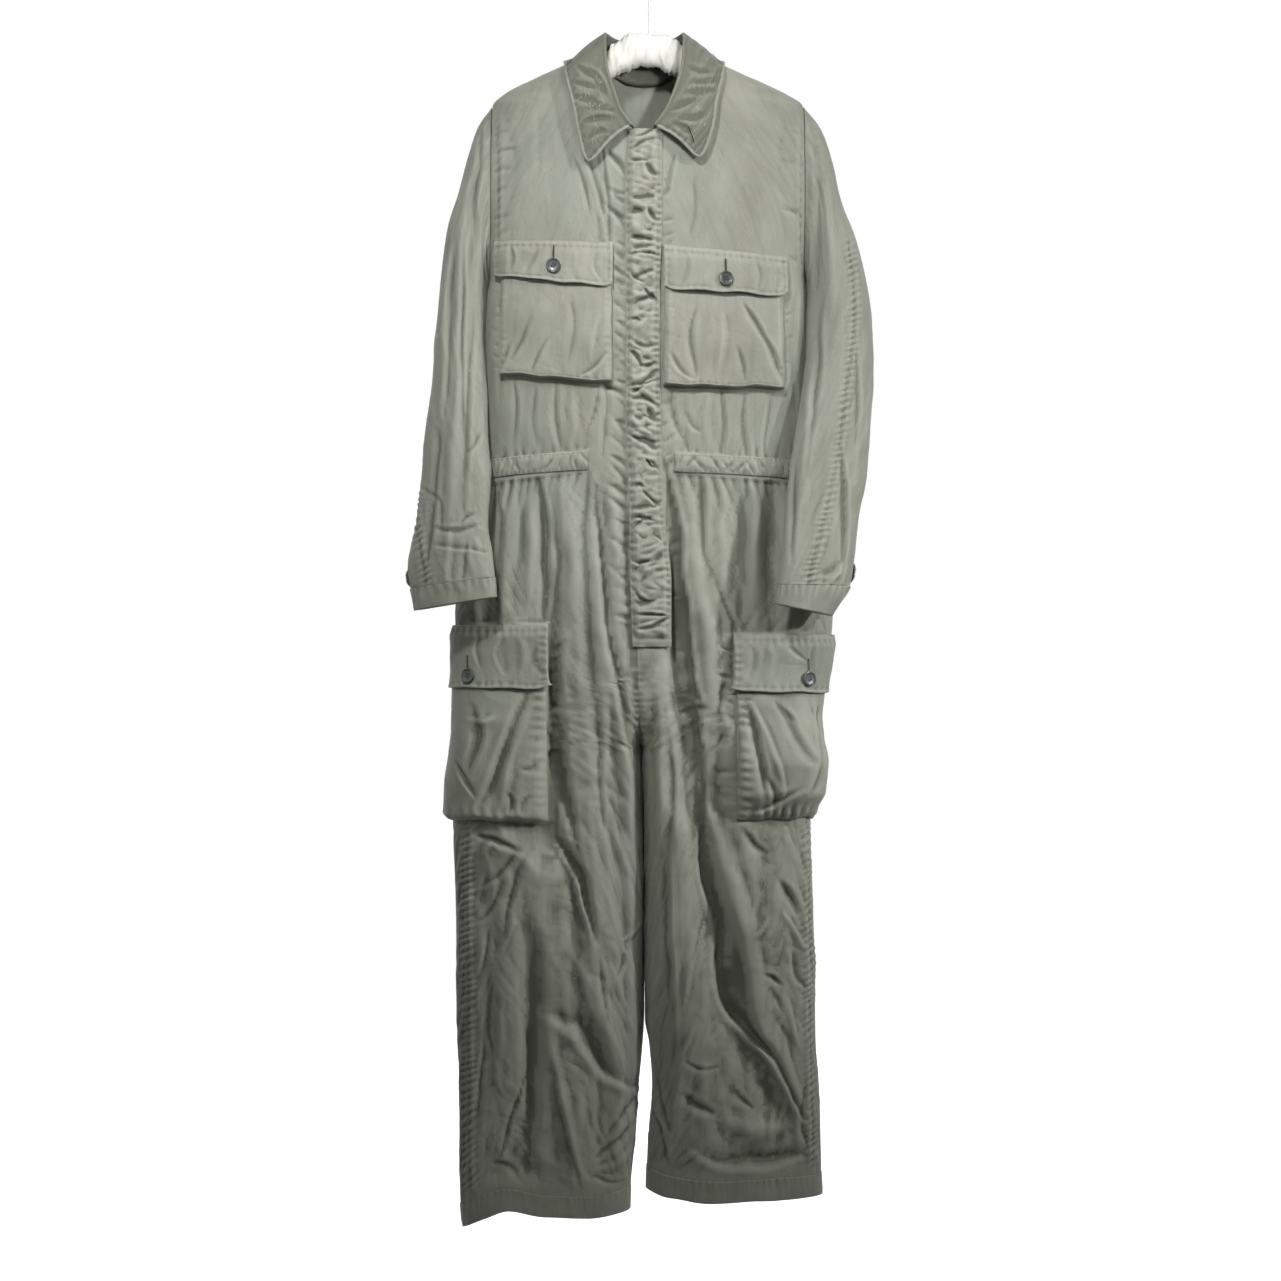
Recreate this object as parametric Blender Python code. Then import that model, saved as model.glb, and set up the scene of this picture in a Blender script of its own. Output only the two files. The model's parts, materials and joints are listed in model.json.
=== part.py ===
"""A long-sleeved work coverall hanging on a padded hanger.

Metres, +Z up, and the front faces -Y. The origin is the point inside the hanger's hook where a rail
carries it. Right and left are the wearer's: the wearer's right side has negative X.
"""

import math

import bpy
import numpy as np
from mathutils import Vector
from mathutils.bvhtree import BVHTree

# ---------------------------------------------------------------- driving sizes
CLOTH = 0.0012  # one layer of cotton sateen with its turnings
DOUBLE = 0.0018  # two layers: collar, flaps, placket, tabs
SEAM = 0.0004  # half of the gap between two pieces at a seam
REST_GAP = 0.0009  # between a panel and what lies on it

SHOULDER_TIP_Z = -0.192
UNDERARM_Z = -0.420
WAIST_Z = -0.655
CROTCH_TOP_Z = -0.915  # where the rise seam starts to turn in between the legs
CROTCH_Z = -1.030  # where the legs part
ARMHOLE_X = {-1: -0.205, 1: 0.200}
ARMHOLE_HALF_DEPTH = 0.034
HEM_LINE_Z = {-1: -1.598, 1: -1.583}  # top stitching of each trouser hem
HEM_HEIGHT = 0.029

# The body and the legs, from the neck down: outer and inner edge of each half, and the depths.
BODY_COLUMNS = ("z", "right_out", "right_in", "left_in", "left_out", "front", "back", "square")
BODY = (
    (-0.109, -0.034, -0.0070, -0.0070, 0.018, 0.030, 0.028, 2.3),
    (-0.120, -0.058, -0.0070, -0.0070, 0.044, 0.031, 0.030, 2.3),
    (-0.137, -0.108, -0.0070, -0.0070, 0.092, 0.035, 0.033, 2.3),
    (-0.154, -0.146, -0.0070, -0.0070, 0.130, 0.039, 0.036, 2.3),
    (-0.176, -0.190, -0.0070, -0.0070, 0.178, 0.044, 0.040, 2.3),
    (-0.192, -0.205, -0.0070, -0.0070, 0.200, 0.047, 0.042, 2.3),
    (-0.250, -0.205, -0.0070, -0.0070, 0.200, 0.054, 0.048, 2.4),
    (-0.350, -0.205, -0.0070, -0.0070, 0.200, 0.062, 0.053, 2.6),
    (-0.420, -0.205, -0.0072, -0.0072, 0.200, 0.064, 0.055, 2.7),
    (-0.500, -0.209, -0.0075, -0.0075, 0.201, 0.063, 0.055, 2.7),
    (-0.600, -0.214, -0.0085, -0.0085, 0.206, 0.058, 0.051, 2.6),
    (-0.655, -0.215, -0.0100, -0.0100, 0.209, 0.056, 0.049, 2.6),
    (-0.750, -0.233, -0.0135, -0.0135, 0.226, 0.060, 0.057, 2.6),
    (-0.852, -0.2535, -0.0165, -0.0165, 0.239, 0.063, 0.065, 2.6),
    (-0.950, -0.2520, -0.0145, -0.0145, 0.226, 0.064, 0.068, 2.6),
    (-1.018, -0.2520, -0.0115, -0.0115, 0.215, 0.063, 0.067, 2.8),
    (-1.112, -0.2560, -0.0084, -0.0078, 0.209, 0.060, 0.062, 3.0),
    (-1.200, -0.2540, -0.0070, -0.0058, 0.212, 0.057, 0.058, 2.8),
    (-1.300, -0.2520, -0.0068, -0.0054, 0.215, 0.053, 0.053, 2.6),
    (-1.380, -0.2515, -0.0073, -0.0048, 0.216, 0.050, 0.050, 2.5),
    (-1.414, -0.2505, -0.0092, -0.0008, 0.217, 0.049, 0.048, 2.4),
    (-1.470, -0.2485, -0.0143, 0.0029, 0.221, 0.046, 0.045, 2.4),
    (-1.530, -0.2485, -0.0180, -0.0010, 0.223, 0.041, 0.041, 2.4),
    (-1.598, -0.2470, -0.0245, -0.0045, 0.224, 0.035, 0.035, 2.4),
    (-1.660, -0.2360, -0.0262, -0.0060, 0.224, 0.031, 0.031, 2.4),
)

# How far the hem hangs below its line, by distance out along the leg (0 inseam, 1 side seam).
HEM_DROOP = {
    -1: ((0.0, 0.000), (0.25, -0.008), (0.5, -0.006), (0.72, 0.002), (0.86, -0.008), (1.0, -0.024)),
    1: ((0.0, 0.012), (0.12, 0.003), (0.4, -0.003), (0.75, 0.001), (1.0, 0.003)),
}
DROOP_FROM_Z = -1.44

# The neckline, on one side of the middle: distance from the middle, and height.
FRONT_NECK = (
    (0.0, -0.2385), (0.0195, -0.2325), (0.0360, -0.2075), (0.0475, -0.1740),
    (0.0535, -0.1465), (0.0560, -0.1310), (0.0595, -0.1236),
)
BACK_NECK = ((0.0, -0.1590), (0.0245, -0.1560), (0.0435, -0.1440), (0.0540, -0.1310), (0.0595, -0.1236))

# Distance of each panel's columns from the middle, at the top, and their share at the underarm,
# where they have spread out evenly.
FRONT_COLUMNS = (0.0004, 0.0195, 0.0360, 0.0475, 0.0535, 0.0560, 0.0595, 0.096, 0.145, None)
BACK_COLUMNS = (0.0004, 0.0245, 0.0435, 0.0540, 0.0595, 0.099, 0.148, None)

# The largest folds of the front. Depth is along the cloth's normal: a trough is negative.
FOLD_COLUMNS = ("side", "width", "depth", "path of (x, z)")
FRONT_FOLDS = (
    (1, 0.020, -0.008, ((0.034, -0.700), (0.047, -0.860), (0.058, -0.990), (0.068, -1.110), (0.090, -1.260))),
    (1, 0.022, -0.008, ((0.090, -1.260), (0.116, -1.360), (0.152, -1.450), (0.182, -1.545))),
    (1, 0.020, 0.005, ((0.062, -0.760), (0.080, -0.900), (0.092, -1.040))),
    (1, 0.022, 0.006, ((0.045, -1.120), (0.055, -1.300), (0.060, -1.430))),
    (-1, 0.022, -0.007, ((-0.118, -0.930), (-0.106, -1.040), (-0.096, -1.150), (-0.082, -1.270))),
    (-1, 0.020, -0.006, ((-0.130, -1.210), (-0.136, -1.340), (-0.122, -1.460), (-0.104, -1.560))),
    (-1, 0.022, 0.006, ((-0.060, -0.760), (-0.066, -0.900), (-0.062, -1.050))),
    (-1, 0.024, 0.006, ((-0.170, -1.200), (-0.175, -1.330), (-0.180, -1.450))),
)
BACK_FOLDS = (
    (1, 0.024, -0.007, ((0.075, -0.700), (0.085, -0.850), (0.080, -1.000))),
    (1, 0.026, -0.007, ((0.120, -1.080), (0.105, -1.250), (0.125, -1.420))),
    (-1, 0.024, -0.007, ((-0.095, -0.710), (-0.100, -0.860), (-0.092, -1.000))),
    (-1, 0.026, -0.007, ((-0.125, -1.100), (-0.140, -1.270), (-0.120, -1.450))),
    (1, 0.026, -0.006, ((0.110, -0.280), (0.100, -0.420), (0.105, -0.560))),
    (-1, 0.026, -0.006, ((-0.120, -0.270), (-0.112, -0.410), (-0.118, -0.560))),
)
FOLD_EDGE = 0.016  # folds die out this near a piece's vertical edges

# Each sleeve, from the armhole down: its outer point, its inner point and half its depth.
SLEEVE_COLUMNS = ("outer x", "y", "z", "inner x", "y", "z", "half depth")
SLEEVES = {
    -1: (
        (-0.2059, 0.000, -0.1920, -0.2059, 0.000, -0.4200, 0.0340),
        (-0.2240, 0.000, -0.2180, -0.2074, -0.001, -0.4212, 0.0370),
        (-0.2370, 0.000, -0.2560, -0.2103, -0.003, -0.4245, 0.0385),
        (-0.2499, -0.001, -0.3052, -0.2131, -0.006, -0.4299, 0.0385),
        (-0.2638, -0.003, -0.3505, -0.2143, -0.011, -0.4396, 0.0380),
        (-0.2721, -0.005, -0.4148, -0.2153, -0.018, -0.4625, 0.0360),
        (-0.2767, -0.009, -0.4802, -0.2151, -0.028, -0.5036, 0.0330),
        (-0.2802, -0.015, -0.5492, -0.2122, -0.042, -0.5645, 0.0300),
        (-0.2895, -0.022, -0.6140, -0.2095, -0.054, -0.6228, 0.0270),
        (-0.2948, -0.029, -0.6770, -0.2043, -0.065, -0.6795, 0.0250),
        (-0.3016, -0.036, -0.7417, -0.2066, -0.075, -0.7358, 0.0235),
        (-0.3108, -0.042, -0.7913, -0.2002, -0.084, -0.7810, 0.0225),
        (-0.3069, -0.047, -0.8210, -0.1974, -0.089, -0.8074, 0.0220),
        (-0.3017, -0.050, -0.8496, -0.1953, -0.092, -0.8327, 0.0220),
    ),
    1: (
        (0.2009, 0.000, -0.1920, 0.2009, 0.000, -0.4200, 0.0340),
        (0.2220, 0.000, -0.2190, 0.2024, -0.001, -0.4212, 0.0370),
        (0.2370, 0.000, -0.2600, 0.2053, -0.003, -0.4245, 0.0385),
        (0.2499, -0.001, -0.3152, 0.2076, -0.006, -0.4309, 0.0385),
        (0.2687, -0.003, -0.3655, 0.2077, -0.011, -0.4436, 0.0380),
        (0.2795, -0.005, -0.4108, 0.2056, -0.019, -0.4676, 0.0365),
        (0.2875, -0.010, -0.4714, 0.2029, -0.030, -0.5117, 0.0340),
        (0.2888, -0.017, -0.5419, 0.1958, -0.046, -0.5699, 0.0300),
        (0.2845, -0.026, -0.6044, 0.1860, -0.060, -0.6302, 0.0270),
        (0.2796, -0.035, -0.6725, 0.1769, -0.073, -0.6879, 0.0240),
        (0.2679, -0.044, -0.7273, 0.1708, -0.085, -0.7441, 0.0225),
        (0.2618, -0.052, -0.7818, 0.1659, -0.094, -0.7930, 0.0215),
        (0.2555, -0.057, -0.8175, 0.1622, -0.098, -0.8173, 0.0210),
        (0.2310, -0.062, -0.8565, 0.1596, -0.101, -0.8420, 0.0210),
    ),
}
CUFF_RINGS = 2  # the last rings of each sleeve are its stitched cuff

# The collar, from the middle of the back round to one front end: seam, roll line and outer edge.
COLLAR_COLUMNS = ("seam x", "y", "z", "roll x", "y", "z", "edge x", "y", "z")
COLLAR = (
    (0.0000, 0.0345, -0.1560, 0.000, 0.0350, -0.1015, 0.000, 0.0520, -0.1790),
    (0.0225, 0.0335, -0.1532, 0.021, 0.0320, -0.1010, 0.038, 0.0520, -0.1760),
    (0.0410, 0.0295, -0.1418, 0.039, 0.0220, -0.0985, 0.076, 0.0480, -0.1680),
    (0.0535, 0.0010, -0.1130, 0.0505, 0.0010, -0.0965, 0.1000, 0.0010, -0.1405),
    (0.0540, -0.0185, -0.1245, 0.0510, -0.0200, -0.1020, 0.1030, -0.0270, -0.1470),
    (0.0522, -0.0320, -0.1420, 0.0512, -0.0380, -0.1190, 0.1025, -0.0450, -0.1585),
    (0.0465, -0.0405, -0.1660, 0.0475, -0.0500, -0.1560, 0.0965, -0.0550, -0.1850),
    (0.0328, -0.0475, -0.2060, 0.0315, -0.0575, -0.2020, 0.0860, -0.0620, -0.2230),
    (0.0215, -0.0500, -0.2215, 0.0210, -0.0615, -0.2190, 0.0770, -0.0650, -0.2530),
    (0.0115, -0.0515, -0.2320, 0.0135, -0.0620, -0.2290, 0.0690, -0.0670, -0.2700),
)
COLLAR_LEAN = -0.0035  # the collar's points hang this far to the right
COLLAR_STATIONS = (0.0, 1.0, 2.0, 2.3, 2.55, 2.8, 3.0, 3.5, 4.0, 4.5, 5.0, 5.5, 6.0, 6.5, 7.0, 8.0, 9.0)
COLLAR_STAND_ROWS = 2
COLLAR_FALL_ROWS = 3
COLLAR_LIFT = 0.0038
COLLAR_ROLL = 0.0019  # half the width of the rounded fold

# The placket, top to bottom: height, right edge and left edge.
PLACKET = (
    (-0.2310, -0.0270, 0.0160),
    (-0.3000, -0.0310, 0.0160),
    (-0.4900, -0.0305, 0.0125),
    (-0.6000, -0.0305, 0.0145),
    (-0.6830, -0.0270, 0.0160),
    (-0.7450, -0.0260, 0.0215),
    (-0.8090, -0.0250, 0.0275),
    (-0.8900, -0.0225, 0.0275),
)

# Chest pockets, in the flat of the front: corners (x, z) of the flap and of the bag, from the top
# corner nearer the middle, round by the side.
CHEST_FLAPS = {
    -1: ((-0.0470, -0.3790), (-0.1990, -0.3730), (-0.1960, -0.4210), (-0.0475, -0.4380)),
    1: ((0.0185, -0.3820), (0.1750, -0.3950), (0.1750, -0.4470), (0.0185, -0.4400)),
}
CHEST_BAGS = {
    -1: ((-0.0485, -0.4020), (-0.1900, -0.3970), (-0.1930, -0.5450), (-0.0475, -0.5580)),
    1: ((0.0195, -0.4060), (0.1705, -0.4170), (0.1730, -0.5640), (0.0165, -0.5610)),
}
CHEST_BAG_DEPTH = (0.0065, 0.0115)  # how far the bag stands off the front, at its mouth and foot
CHEST_BUTTONS = {-1: (-0.1230, -0.4090), 1: (0.0970, -0.4270)}
FLAP_BULGE = 0.003

# Cargo pockets wrap round the side seam: front edge (x) and heights; the back edge is an angle.
CARGO_TOP_Z = {-1: -0.868, 1: -0.880}
CARGO_FLAP_FOOT_Z = {-1: -0.950, 1: -0.955}
CARGO_FOOT_Z = {-1: -1.119, 1: -1.117}
CARGO_FRONT_X = {-1: (-0.1345, -0.1300), 1: (0.1110, 0.1110)}  # at the top and at the foot
CARGO_BACK_ANGLE = 142.0
CARGO_STAND = {  # how far its face stands off the leg: share of the way down, and distance
    -1: ((0.0, 0.0050), (0.3, 0.0070), (0.6, 0.0100), (0.8, 0.0130), (1.0, 0.0130)),
    1: ((0.0, 0.0045), (0.33, 0.0052), (0.5, 0.0120), (0.67, 0.0210), (0.82, 0.0210), (0.93, 0.0120), (1.0, 0.0060)),
}
CARGO_MOUTH = 0.028  # how far the mouth lies below the flap's top
CARGO_FLAP_ROOM = 0.0022
CARGO_BUTTONS = {-1: (-0.2340, -0.9340), 1: (0.2040, -0.9370)}

BODY_MIDDLE_X = -0.0095  # at the waist
CASING_HEIGHT = 0.024
CASINGS = {-1: (-0.0780, -0.6450, -0.6580), 1: (0.0320, -0.6480, -0.6600)}  # inner x, z inner and outer
CASING_LIFT = 0.0050
CASING_GAP = 0.0016
BACK_CASING_GAP = 0.0026

BUTTON_RADIUS = 0.0096
BUTTON_HEIGHT = 0.0028
BUTTON_GAP = 0.0006

# The hanger: a padded arm under the shoulders and a wire hook.
ARM_MIDDLE_X = -0.004
ARM_TOP = (  # distance from its middle, height of its top
    (0.0, -0.1022), (0.020, -0.1032), (0.0346, -0.1075), (0.0484, -0.1188), (0.0565, -0.1252),
    (0.0640, -0.1288), (0.100, -0.1418), (0.135, -0.1585), (0.182, -0.1805),
)
ARM_HALF_LENGTH = 0.182
ARM_HALF_HEIGHT = 0.0228
ARM_HALF_DEPTH = 0.0205
HOOK_WIRE = 0.0016  # radius
HOOK_RADIUS = 0.020  # of the wire's centre line

CLOTH_COLOUR = (0.262, 0.275, 0.228, 1.0)
BUTTON_COLOUR = (0.030, 0.036, 0.030, 1.0)
PAD_COLOUR = (0.86, 0.85, 0.80, 1.0)
WIRE_COLOUR = (0.70, 0.71, 0.73, 1.0)


# ---------------------------------------------------------------- tools
def clear_scene():
    for obj in list(bpy.data.objects):
        bpy.data.objects.remove(obj)


def material(name, colour, roughness, metallic=0.0):
    made = bpy.data.materials.new(name)
    made.use_nodes = True
    shader = made.node_tree.nodes["Principled BSDF"]
    shader.inputs["Base Color"].default_value = colour
    shader.inputs["Roughness"].default_value = roughness
    shader.inputs["Metallic"].default_value = metallic
    return made


def smooth_rows(rows):
    """A function of z that runs smoothly through the rows' other columns, with no overshoot."""
    data = np.array(rows, float)
    data = data[np.argsort(data[:, 0])]
    at, values = data[:, 0], data[:, 1:]
    step = np.diff(at)[:, None]
    slope = np.diff(values, axis=0) / step
    tangent = np.zeros_like(values)
    same_way = slope[:-1] * slope[1:] > 0
    both = np.where(same_way, slope[:-1] + slope[1:], 1.0)
    tangent[1:-1] = np.where(same_way, 2 * slope[:-1] * slope[1:] / both, 0.0)
    tangent[0], tangent[-1] = slope[0], slope[-1]

    def value(z):
        z = min(max(z, at[0]), at[-1])
        i = min(max(int(np.searchsorted(at, z)) - 1, 0), len(at) - 2)
        h = at[i + 1] - at[i]
        t = (z - at[i]) / h
        return (
            (1 + 2 * t) * (1 - t) ** 2 * values[i]
            + t * (1 - t) ** 2 * h * tangent[i]
            + t * t * (3 - 2 * t) * values[i + 1]
            + t * t * (t - 1) * h * tangent[i + 1]
        )

    return value


def ramp(value, start, end):
    """0 at start, 1 at end, smooth between."""
    t = min(max((value - start) / (end - start), 0.0), 1.0)
    return t * t * (3 - 2 * t)


def signed_power(value, power):
    return math.copysign(abs(value) ** power, value)


def sheet(name, outer, inner, look, closed=False):
    """A wall of cloth between two grids of points, as one closed solid."""
    outer, inner = np.array(outer, float), np.array(inner, float)
    rows, columns = outer.shape[:2]
    points = np.concatenate([outer.reshape(-1, 3), inner.reshape(-1, 3)])
    half = rows * columns
    faces = []

    def index(row, column):
        return row * columns + column % columns

    spans = columns if closed else columns - 1
    for row in range(rows - 1):
        for column in range(spans):
            a, b = index(row, column), index(row, column + 1)
            c, d = index(row + 1, column + 1), index(row + 1, column)
            for one, two, three in ((a, b, c), (a, c, d)):  # the same diagonal on both sides
                faces.append((one, two, three))
                faces.append((half + three, half + two, half + one))
    for column in range(spans):
        a, b = index(0, column), index(0, column + 1)
        faces.append((b, a, half + a, half + b))
        a, b = index(rows - 1, column), index(rows - 1, column + 1)
        faces.append((a, b, half + b, half + a))
    if not closed:
        for row in range(rows - 1):
            a, b = index(row, 0), index(row + 1, 0)
            faces.append((a, b, half + b, half + a))
            a, b = index(row, columns - 1), index(row + 1, columns - 1)
            faces.append((b, a, half + a, half + b))
    return solid(name, points, faces, look)


def solid(name, points, faces, look):
    mesh = bpy.data.meshes.new(name)
    mesh.from_pydata([tuple(p) for p in points], [], faces)
    mesh.materials.append(look)
    if signed_volume(mesh) < 0:
        mesh.flip_normals()
    mesh.shade_smooth()
    mesh.set_sharp_from_angle(angle=math.radians(40))
    obj = bpy.data.objects.new(name, mesh)
    bpy.context.scene.collection.objects.link(obj)
    return obj


def signed_volume(mesh):
    mesh.calc_loop_triangles()
    total = 0.0
    for triangle in mesh.loop_triangles:
        a, b, c = (mesh.vertices[i].co for i in triangle.vertices)
        total += a.dot(b.cross(c))
    return total


def grid_normals(grid, closed=False):
    """Unit normals of a grid of points, from its own rows and columns."""
    grid = np.array(grid, float)
    down = np.gradient(grid, axis=0)
    if closed:
        across = np.roll(grid, -1, axis=1) - np.roll(grid, 1, axis=1)
    else:
        across = np.gradient(grid, axis=1)
    normal = np.cross(down, across)
    return normal / np.linalg.norm(normal, axis=2)[:, :, None]


# ---------------------------------------------------------------- the body's own surface
body_row = smooth_rows(BODY)


def half_section(side, z):
    """Centre x, half width, depth front, depth back, squareness and roll of one half at a height.

    roll is 0 where the two halves make one tube, and 1 where each is a leg of its own.
    """
    right_out, right_in, left_in, left_out, front, back, square = body_row(z)
    out, inner = (left_out, left_in) if side > 0 else (right_out, right_in)
    roll = ramp(z, CROTCH_TOP_Z, CROTCH_Z)
    width = abs(out - inner) / (1 + roll)
    return out - side * width, width, front, back, square, roll


def armhole_half_depth(z):
    middle = (SHOULDER_TIP_Z + UNDERARM_Z) / 2
    reach = (SHOULDER_TIP_Z - UNDERARM_Z) / 2
    return ARMHOLE_HALF_DEPTH * math.sqrt(max(0.0, 1 - ((z - middle) / reach) ** 2))


def ring_width(side, z, back):
    """Half width of the ring that passes through the armhole's edge, or of the plain ring."""
    _, width, front_depth, back_depth, square, _ = half_section(side, z)
    if UNDERARM_Z < z < SHOULDER_TIP_Z:
        share = armhole_half_depth(z) / (back_depth if back else front_depth)
        width /= (1 - share**square) ** (1 / square)
    return width


def fold_height(side, x, z, back):
    """How far the folds push the cloth out at a place on one half."""
    total = 0.0
    for fold_side, width, depth, path in BACK_FOLDS if back else FRONT_FOLDS:
        if fold_side != side:
            continue
        along, run, near, nearest = 0.0, 0.0, 1e9, 0.0
        for (x0, z0), (x1, z1) in zip(path[:-1], path[1:]):
            length = math.hypot(x1 - x0, z1 - z0)
            t = ((x - x0) * (x1 - x0) + (z - z0) * (z1 - z0)) / length**2
            t = min(max(t, 0.0), 1.0)
            away = math.hypot(x - x0 - t * (x1 - x0), z - z0 - t * (z1 - z0))
            if away < near:
                near, nearest = away, run + t * length
            run += length
        along = nearest / run
        total += depth * math.exp(-((near / width) ** 2)) * math.sin(math.pi * (0.08 + 0.84 * along)) ** 0.5
    return total


def body_point(side, x, z, back=False, lift=0.0, folded=True):
    """The point of the front or back at (x, z), lifted off the cloth along its normal."""
    centre, width, front_depth, back_depth, square, _ = half_section(side, z)
    width = ring_width(side, z, back)
    depth = back_depth if back else front_depth
    share = min(abs(x - centre) / width, 1.0)
    y = depth * max(0.0, 1 - share**square) ** (1 / square)
    y = max(y, SEAM) * (1 if back else -1)
    normal = body_normal(side, x, y, z, back)
    if folded and UNDERARM_Z > z or folded and back:
        edge = min(share * width, width * (1 - share)) if z > CROTCH_TOP_Z else width * (1 - share)
        lift += fold_height(side, x, z, back) * ramp(edge, 0.0, FOLD_EDGE)
    return np.array([x, y, z]) + normal * lift


def body_normal(side, x, y, z, back):
    """Outward unit normal of the ring surface at a point, from the rings just above and below."""
    slope = []
    step = 0.002
    for level in (z + step, z - step):
        centre, _, front_depth, back_depth, square, _ = half_section(side, level)
        width = ring_width(side, level, back)
        depth = back_depth if back else front_depth
        slope.append((abs(x - centre) / width) ** square + (abs(y) / depth) ** square)
    centre, _, front_depth, back_depth, square, _ = half_section(side, z)
    width = ring_width(side, z, back)
    depth = back_depth if back else front_depth
    gradient = np.array(
        [
            square * signed_power((x - centre) / width, square - 1) / width,
            square * signed_power(y / depth, square - 1) / depth,
            (slope[0] - slope[1]) / (2 * step),
        ]
    )
    return gradient / np.linalg.norm(gradient)


def column_x(side, share, z):
    """The x of a panel's column at a height. share is 0 at the inner edge and 1 at the outer one."""
    level = min(z, SHOULDER_TIP_Z)
    centre, width, _, _, square, roll = half_section(side, level)
    inner = -math.asin(min(roll, 1.0) ** (square / 2))
    angle = inner + (math.pi / 2 - inner) * share
    return centre + side * width * signed_power(math.sin(angle), 2 / square)


def column_share(side, distance):
    """Where a column at this distance from the middle lies, measured at the shoulder tip."""
    if distance is None:
        return 1.0
    _, width, _, _, square, _ = half_section(side, SHOULDER_TIP_Z)
    return math.asin(min(distance / width, 1.0) ** (square / 2)) / (math.pi / 2)


def shoulder_z(side, x):
    """Height of the shoulder ridge above x."""
    low, high = SHOULDER_TIP_Z, BODY[0][0]
    for _ in range(40):
        z = (low + high) / 2
        centre, width, *_ = half_section(side, z)
        if abs(x - centre) > width:
            high = z
        else:
            low = z
    return low


def top_z(side, distance, x, neck):
    """Top edge of a panel's column: the neckline near the middle, and then the shoulder ridge."""
    if distance is not None and distance <= neck[-1][0]:
        return float(np.interp(distance, [n[0] for n in neck], [n[1] for n in neck]))
    return shoulder_z(side, x)


def hem_droop(side, x, z):
    centre, width, *_ = half_section(side, z)
    out = (side * (x - centre) / width + 1) / 2
    table = HEM_DROOP[side]
    fall = float(np.interp(out, [row[0] for row in table], [row[1] for row in table]))
    return fall * ramp(z, DROOP_FROM_Z, HEM_LINE_Z[side])


def panel_grids(side, columns, neck, heights, back):
    """Outer and inner points of a panel whose columns run down from its top edge."""
    starts = []
    for distance in columns:
        share = column_share(side, distance)
        starts.append((share, top_z(side, distance, column_x(side, share, SHOULDER_TIP_Z), neck)))
    even = even_shares(side, columns)
    levels, shares = [], []
    for down in TOP_SHARES:
        levels.append([top + (UNDERARM_Z - top) * down for _, top in starts])
        shares.append([start[0] + (flat - start[0]) * ramp(down, 0.0, 1.0) for start, flat in zip(starts, even)])
    levels += [[z] * len(columns) for z in heights]
    shares += [even] * len(heights)
    return panel_rows(side, shares, levels, back)


def even_shares(side, columns):
    first = column_share(side, columns[0])
    return [first + (1 - first) * i / (len(columns) - 1) for i in range(len(columns))]


def panel_rows(side, shares, levels, back):
    """Outer and inner points of a panel, from each row's shares and heights."""
    outer, inner = [], []
    for share_row, level_row in zip(shares, levels):
        outer_row, inner_row = [], []
        for share, z in zip(share_row, level_row):
            x = column_x(side, share, z)
            point = body_point(side, x, z, back)
            normal = (body_point(side, x, z, back, 0.001) - point) / 0.001
            fall = np.array([0.0, 0.0, hem_droop(side, x, z)])
            outer_row.append(point + fall)
            inner_row.append(point - normal * CLOTH + fall)
        outer.append(outer_row)
        inner.append(inner_row)
    return outer, inner


TOP_SHARES = (0.0, 0.008, 0.028, 0.065, 0.125, 0.22, 0.36, 0.55, 0.78, 1.0)
FRONT_HEIGHTS = [-0.490, -0.560, -0.630, WAIST_Z, -0.680, -0.730, -0.800, -0.870, -0.920, -0.955, -0.985, -1.010]
FRONT_HEIGHTS += [-1.040, -1.110, -1.190, -1.270, -1.345, -1.414, -1.500]


def make_front(side, look):
    name = "front_left" if side > 0 else "front_right"
    heights = FRONT_HEIGHTS + [HEM_LINE_Z[side]]
    outer, inner = panel_grids(side, FRONT_COLUMNS, FRONT_NECK, heights, back=False)
    return sheet(name, outer, inner, look)


def make_back_bodice(look):
    heights = [z for z in FRONT_HEIGHTS if z > WAIST_Z + 0.003] + [WAIST_Z + SEAM]
    right = panel_grids(-1, BACK_COLUMNS, BACK_NECK, heights, back=True)
    left = panel_grids(1, BACK_COLUMNS, BACK_NECK, heights, back=True)
    grids = []
    for right_grid, left_grid in zip(right, left):
        rows = []
        for right_row, left_row in zip(right_grid, left_grid):
            rows.append(right_row[:0:-1] + [(right_row[0] + left_row[0]) / 2] + left_row[1:])
        grids.append(rows)
    return sheet("back_bodice", grids[0], grids[1], look)


BACK_LEG_SHARES = (0.0002, 0.13, 0.27, 0.41, 0.56, 0.71, 0.86, 1.0)


def make_back_leg(side, look):
    name = "back_leg_left" if side > 0 else "back_leg_right"
    heights = [WAIST_Z - SEAM] + [z for z in FRONT_HEIGHTS if z < WAIST_Z] + [HEM_LINE_Z[side]]
    rows = len(heights)
    outer, inner = panel_rows(side, [BACK_LEG_SHARES] * rows, [[z] * len(BACK_LEG_SHARES) for z in heights], True)
    return sheet(name, outer, inner, look)


def make_leg_hem(side, look):
    """The turned-up hem: a closed ring, one layer thicker, below the hem stitching."""
    name = "leg_hem_left" if side > 0 else "leg_hem_right"
    around = [(0.0, False)] + [(share, False) for share in even_shares(side, FRONT_COLUMNS)[1:]]
    around += [(share, True) for share in BACK_LEG_SHARES[-2:0:-1]]
    outer, inner = [], []
    top = HEM_LINE_Z[side] - 2 * SEAM
    for z in (top, top - HEM_HEIGHT / 2, top - HEM_HEIGHT):
        outer_row, inner_row = [], []
        for share, back in around:
            x = column_x(side, share, z)
            point = body_point(side, x, z, back, folded=False)
            if share in (0.0, 1.0):
                point[1] = 0.0
            normal = body_normal(side, x, point[1], z, back)
            fall = np.array([0.0, 0.0, hem_droop(side, x, z)])
            outer_row.append(point + fall)
            inner_row.append(point - normal * DOUBLE + fall)
        outer.append(outer_row)
        inner.append(inner_row)
    return sheet(name, outer, inner, look, closed=True)


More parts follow.
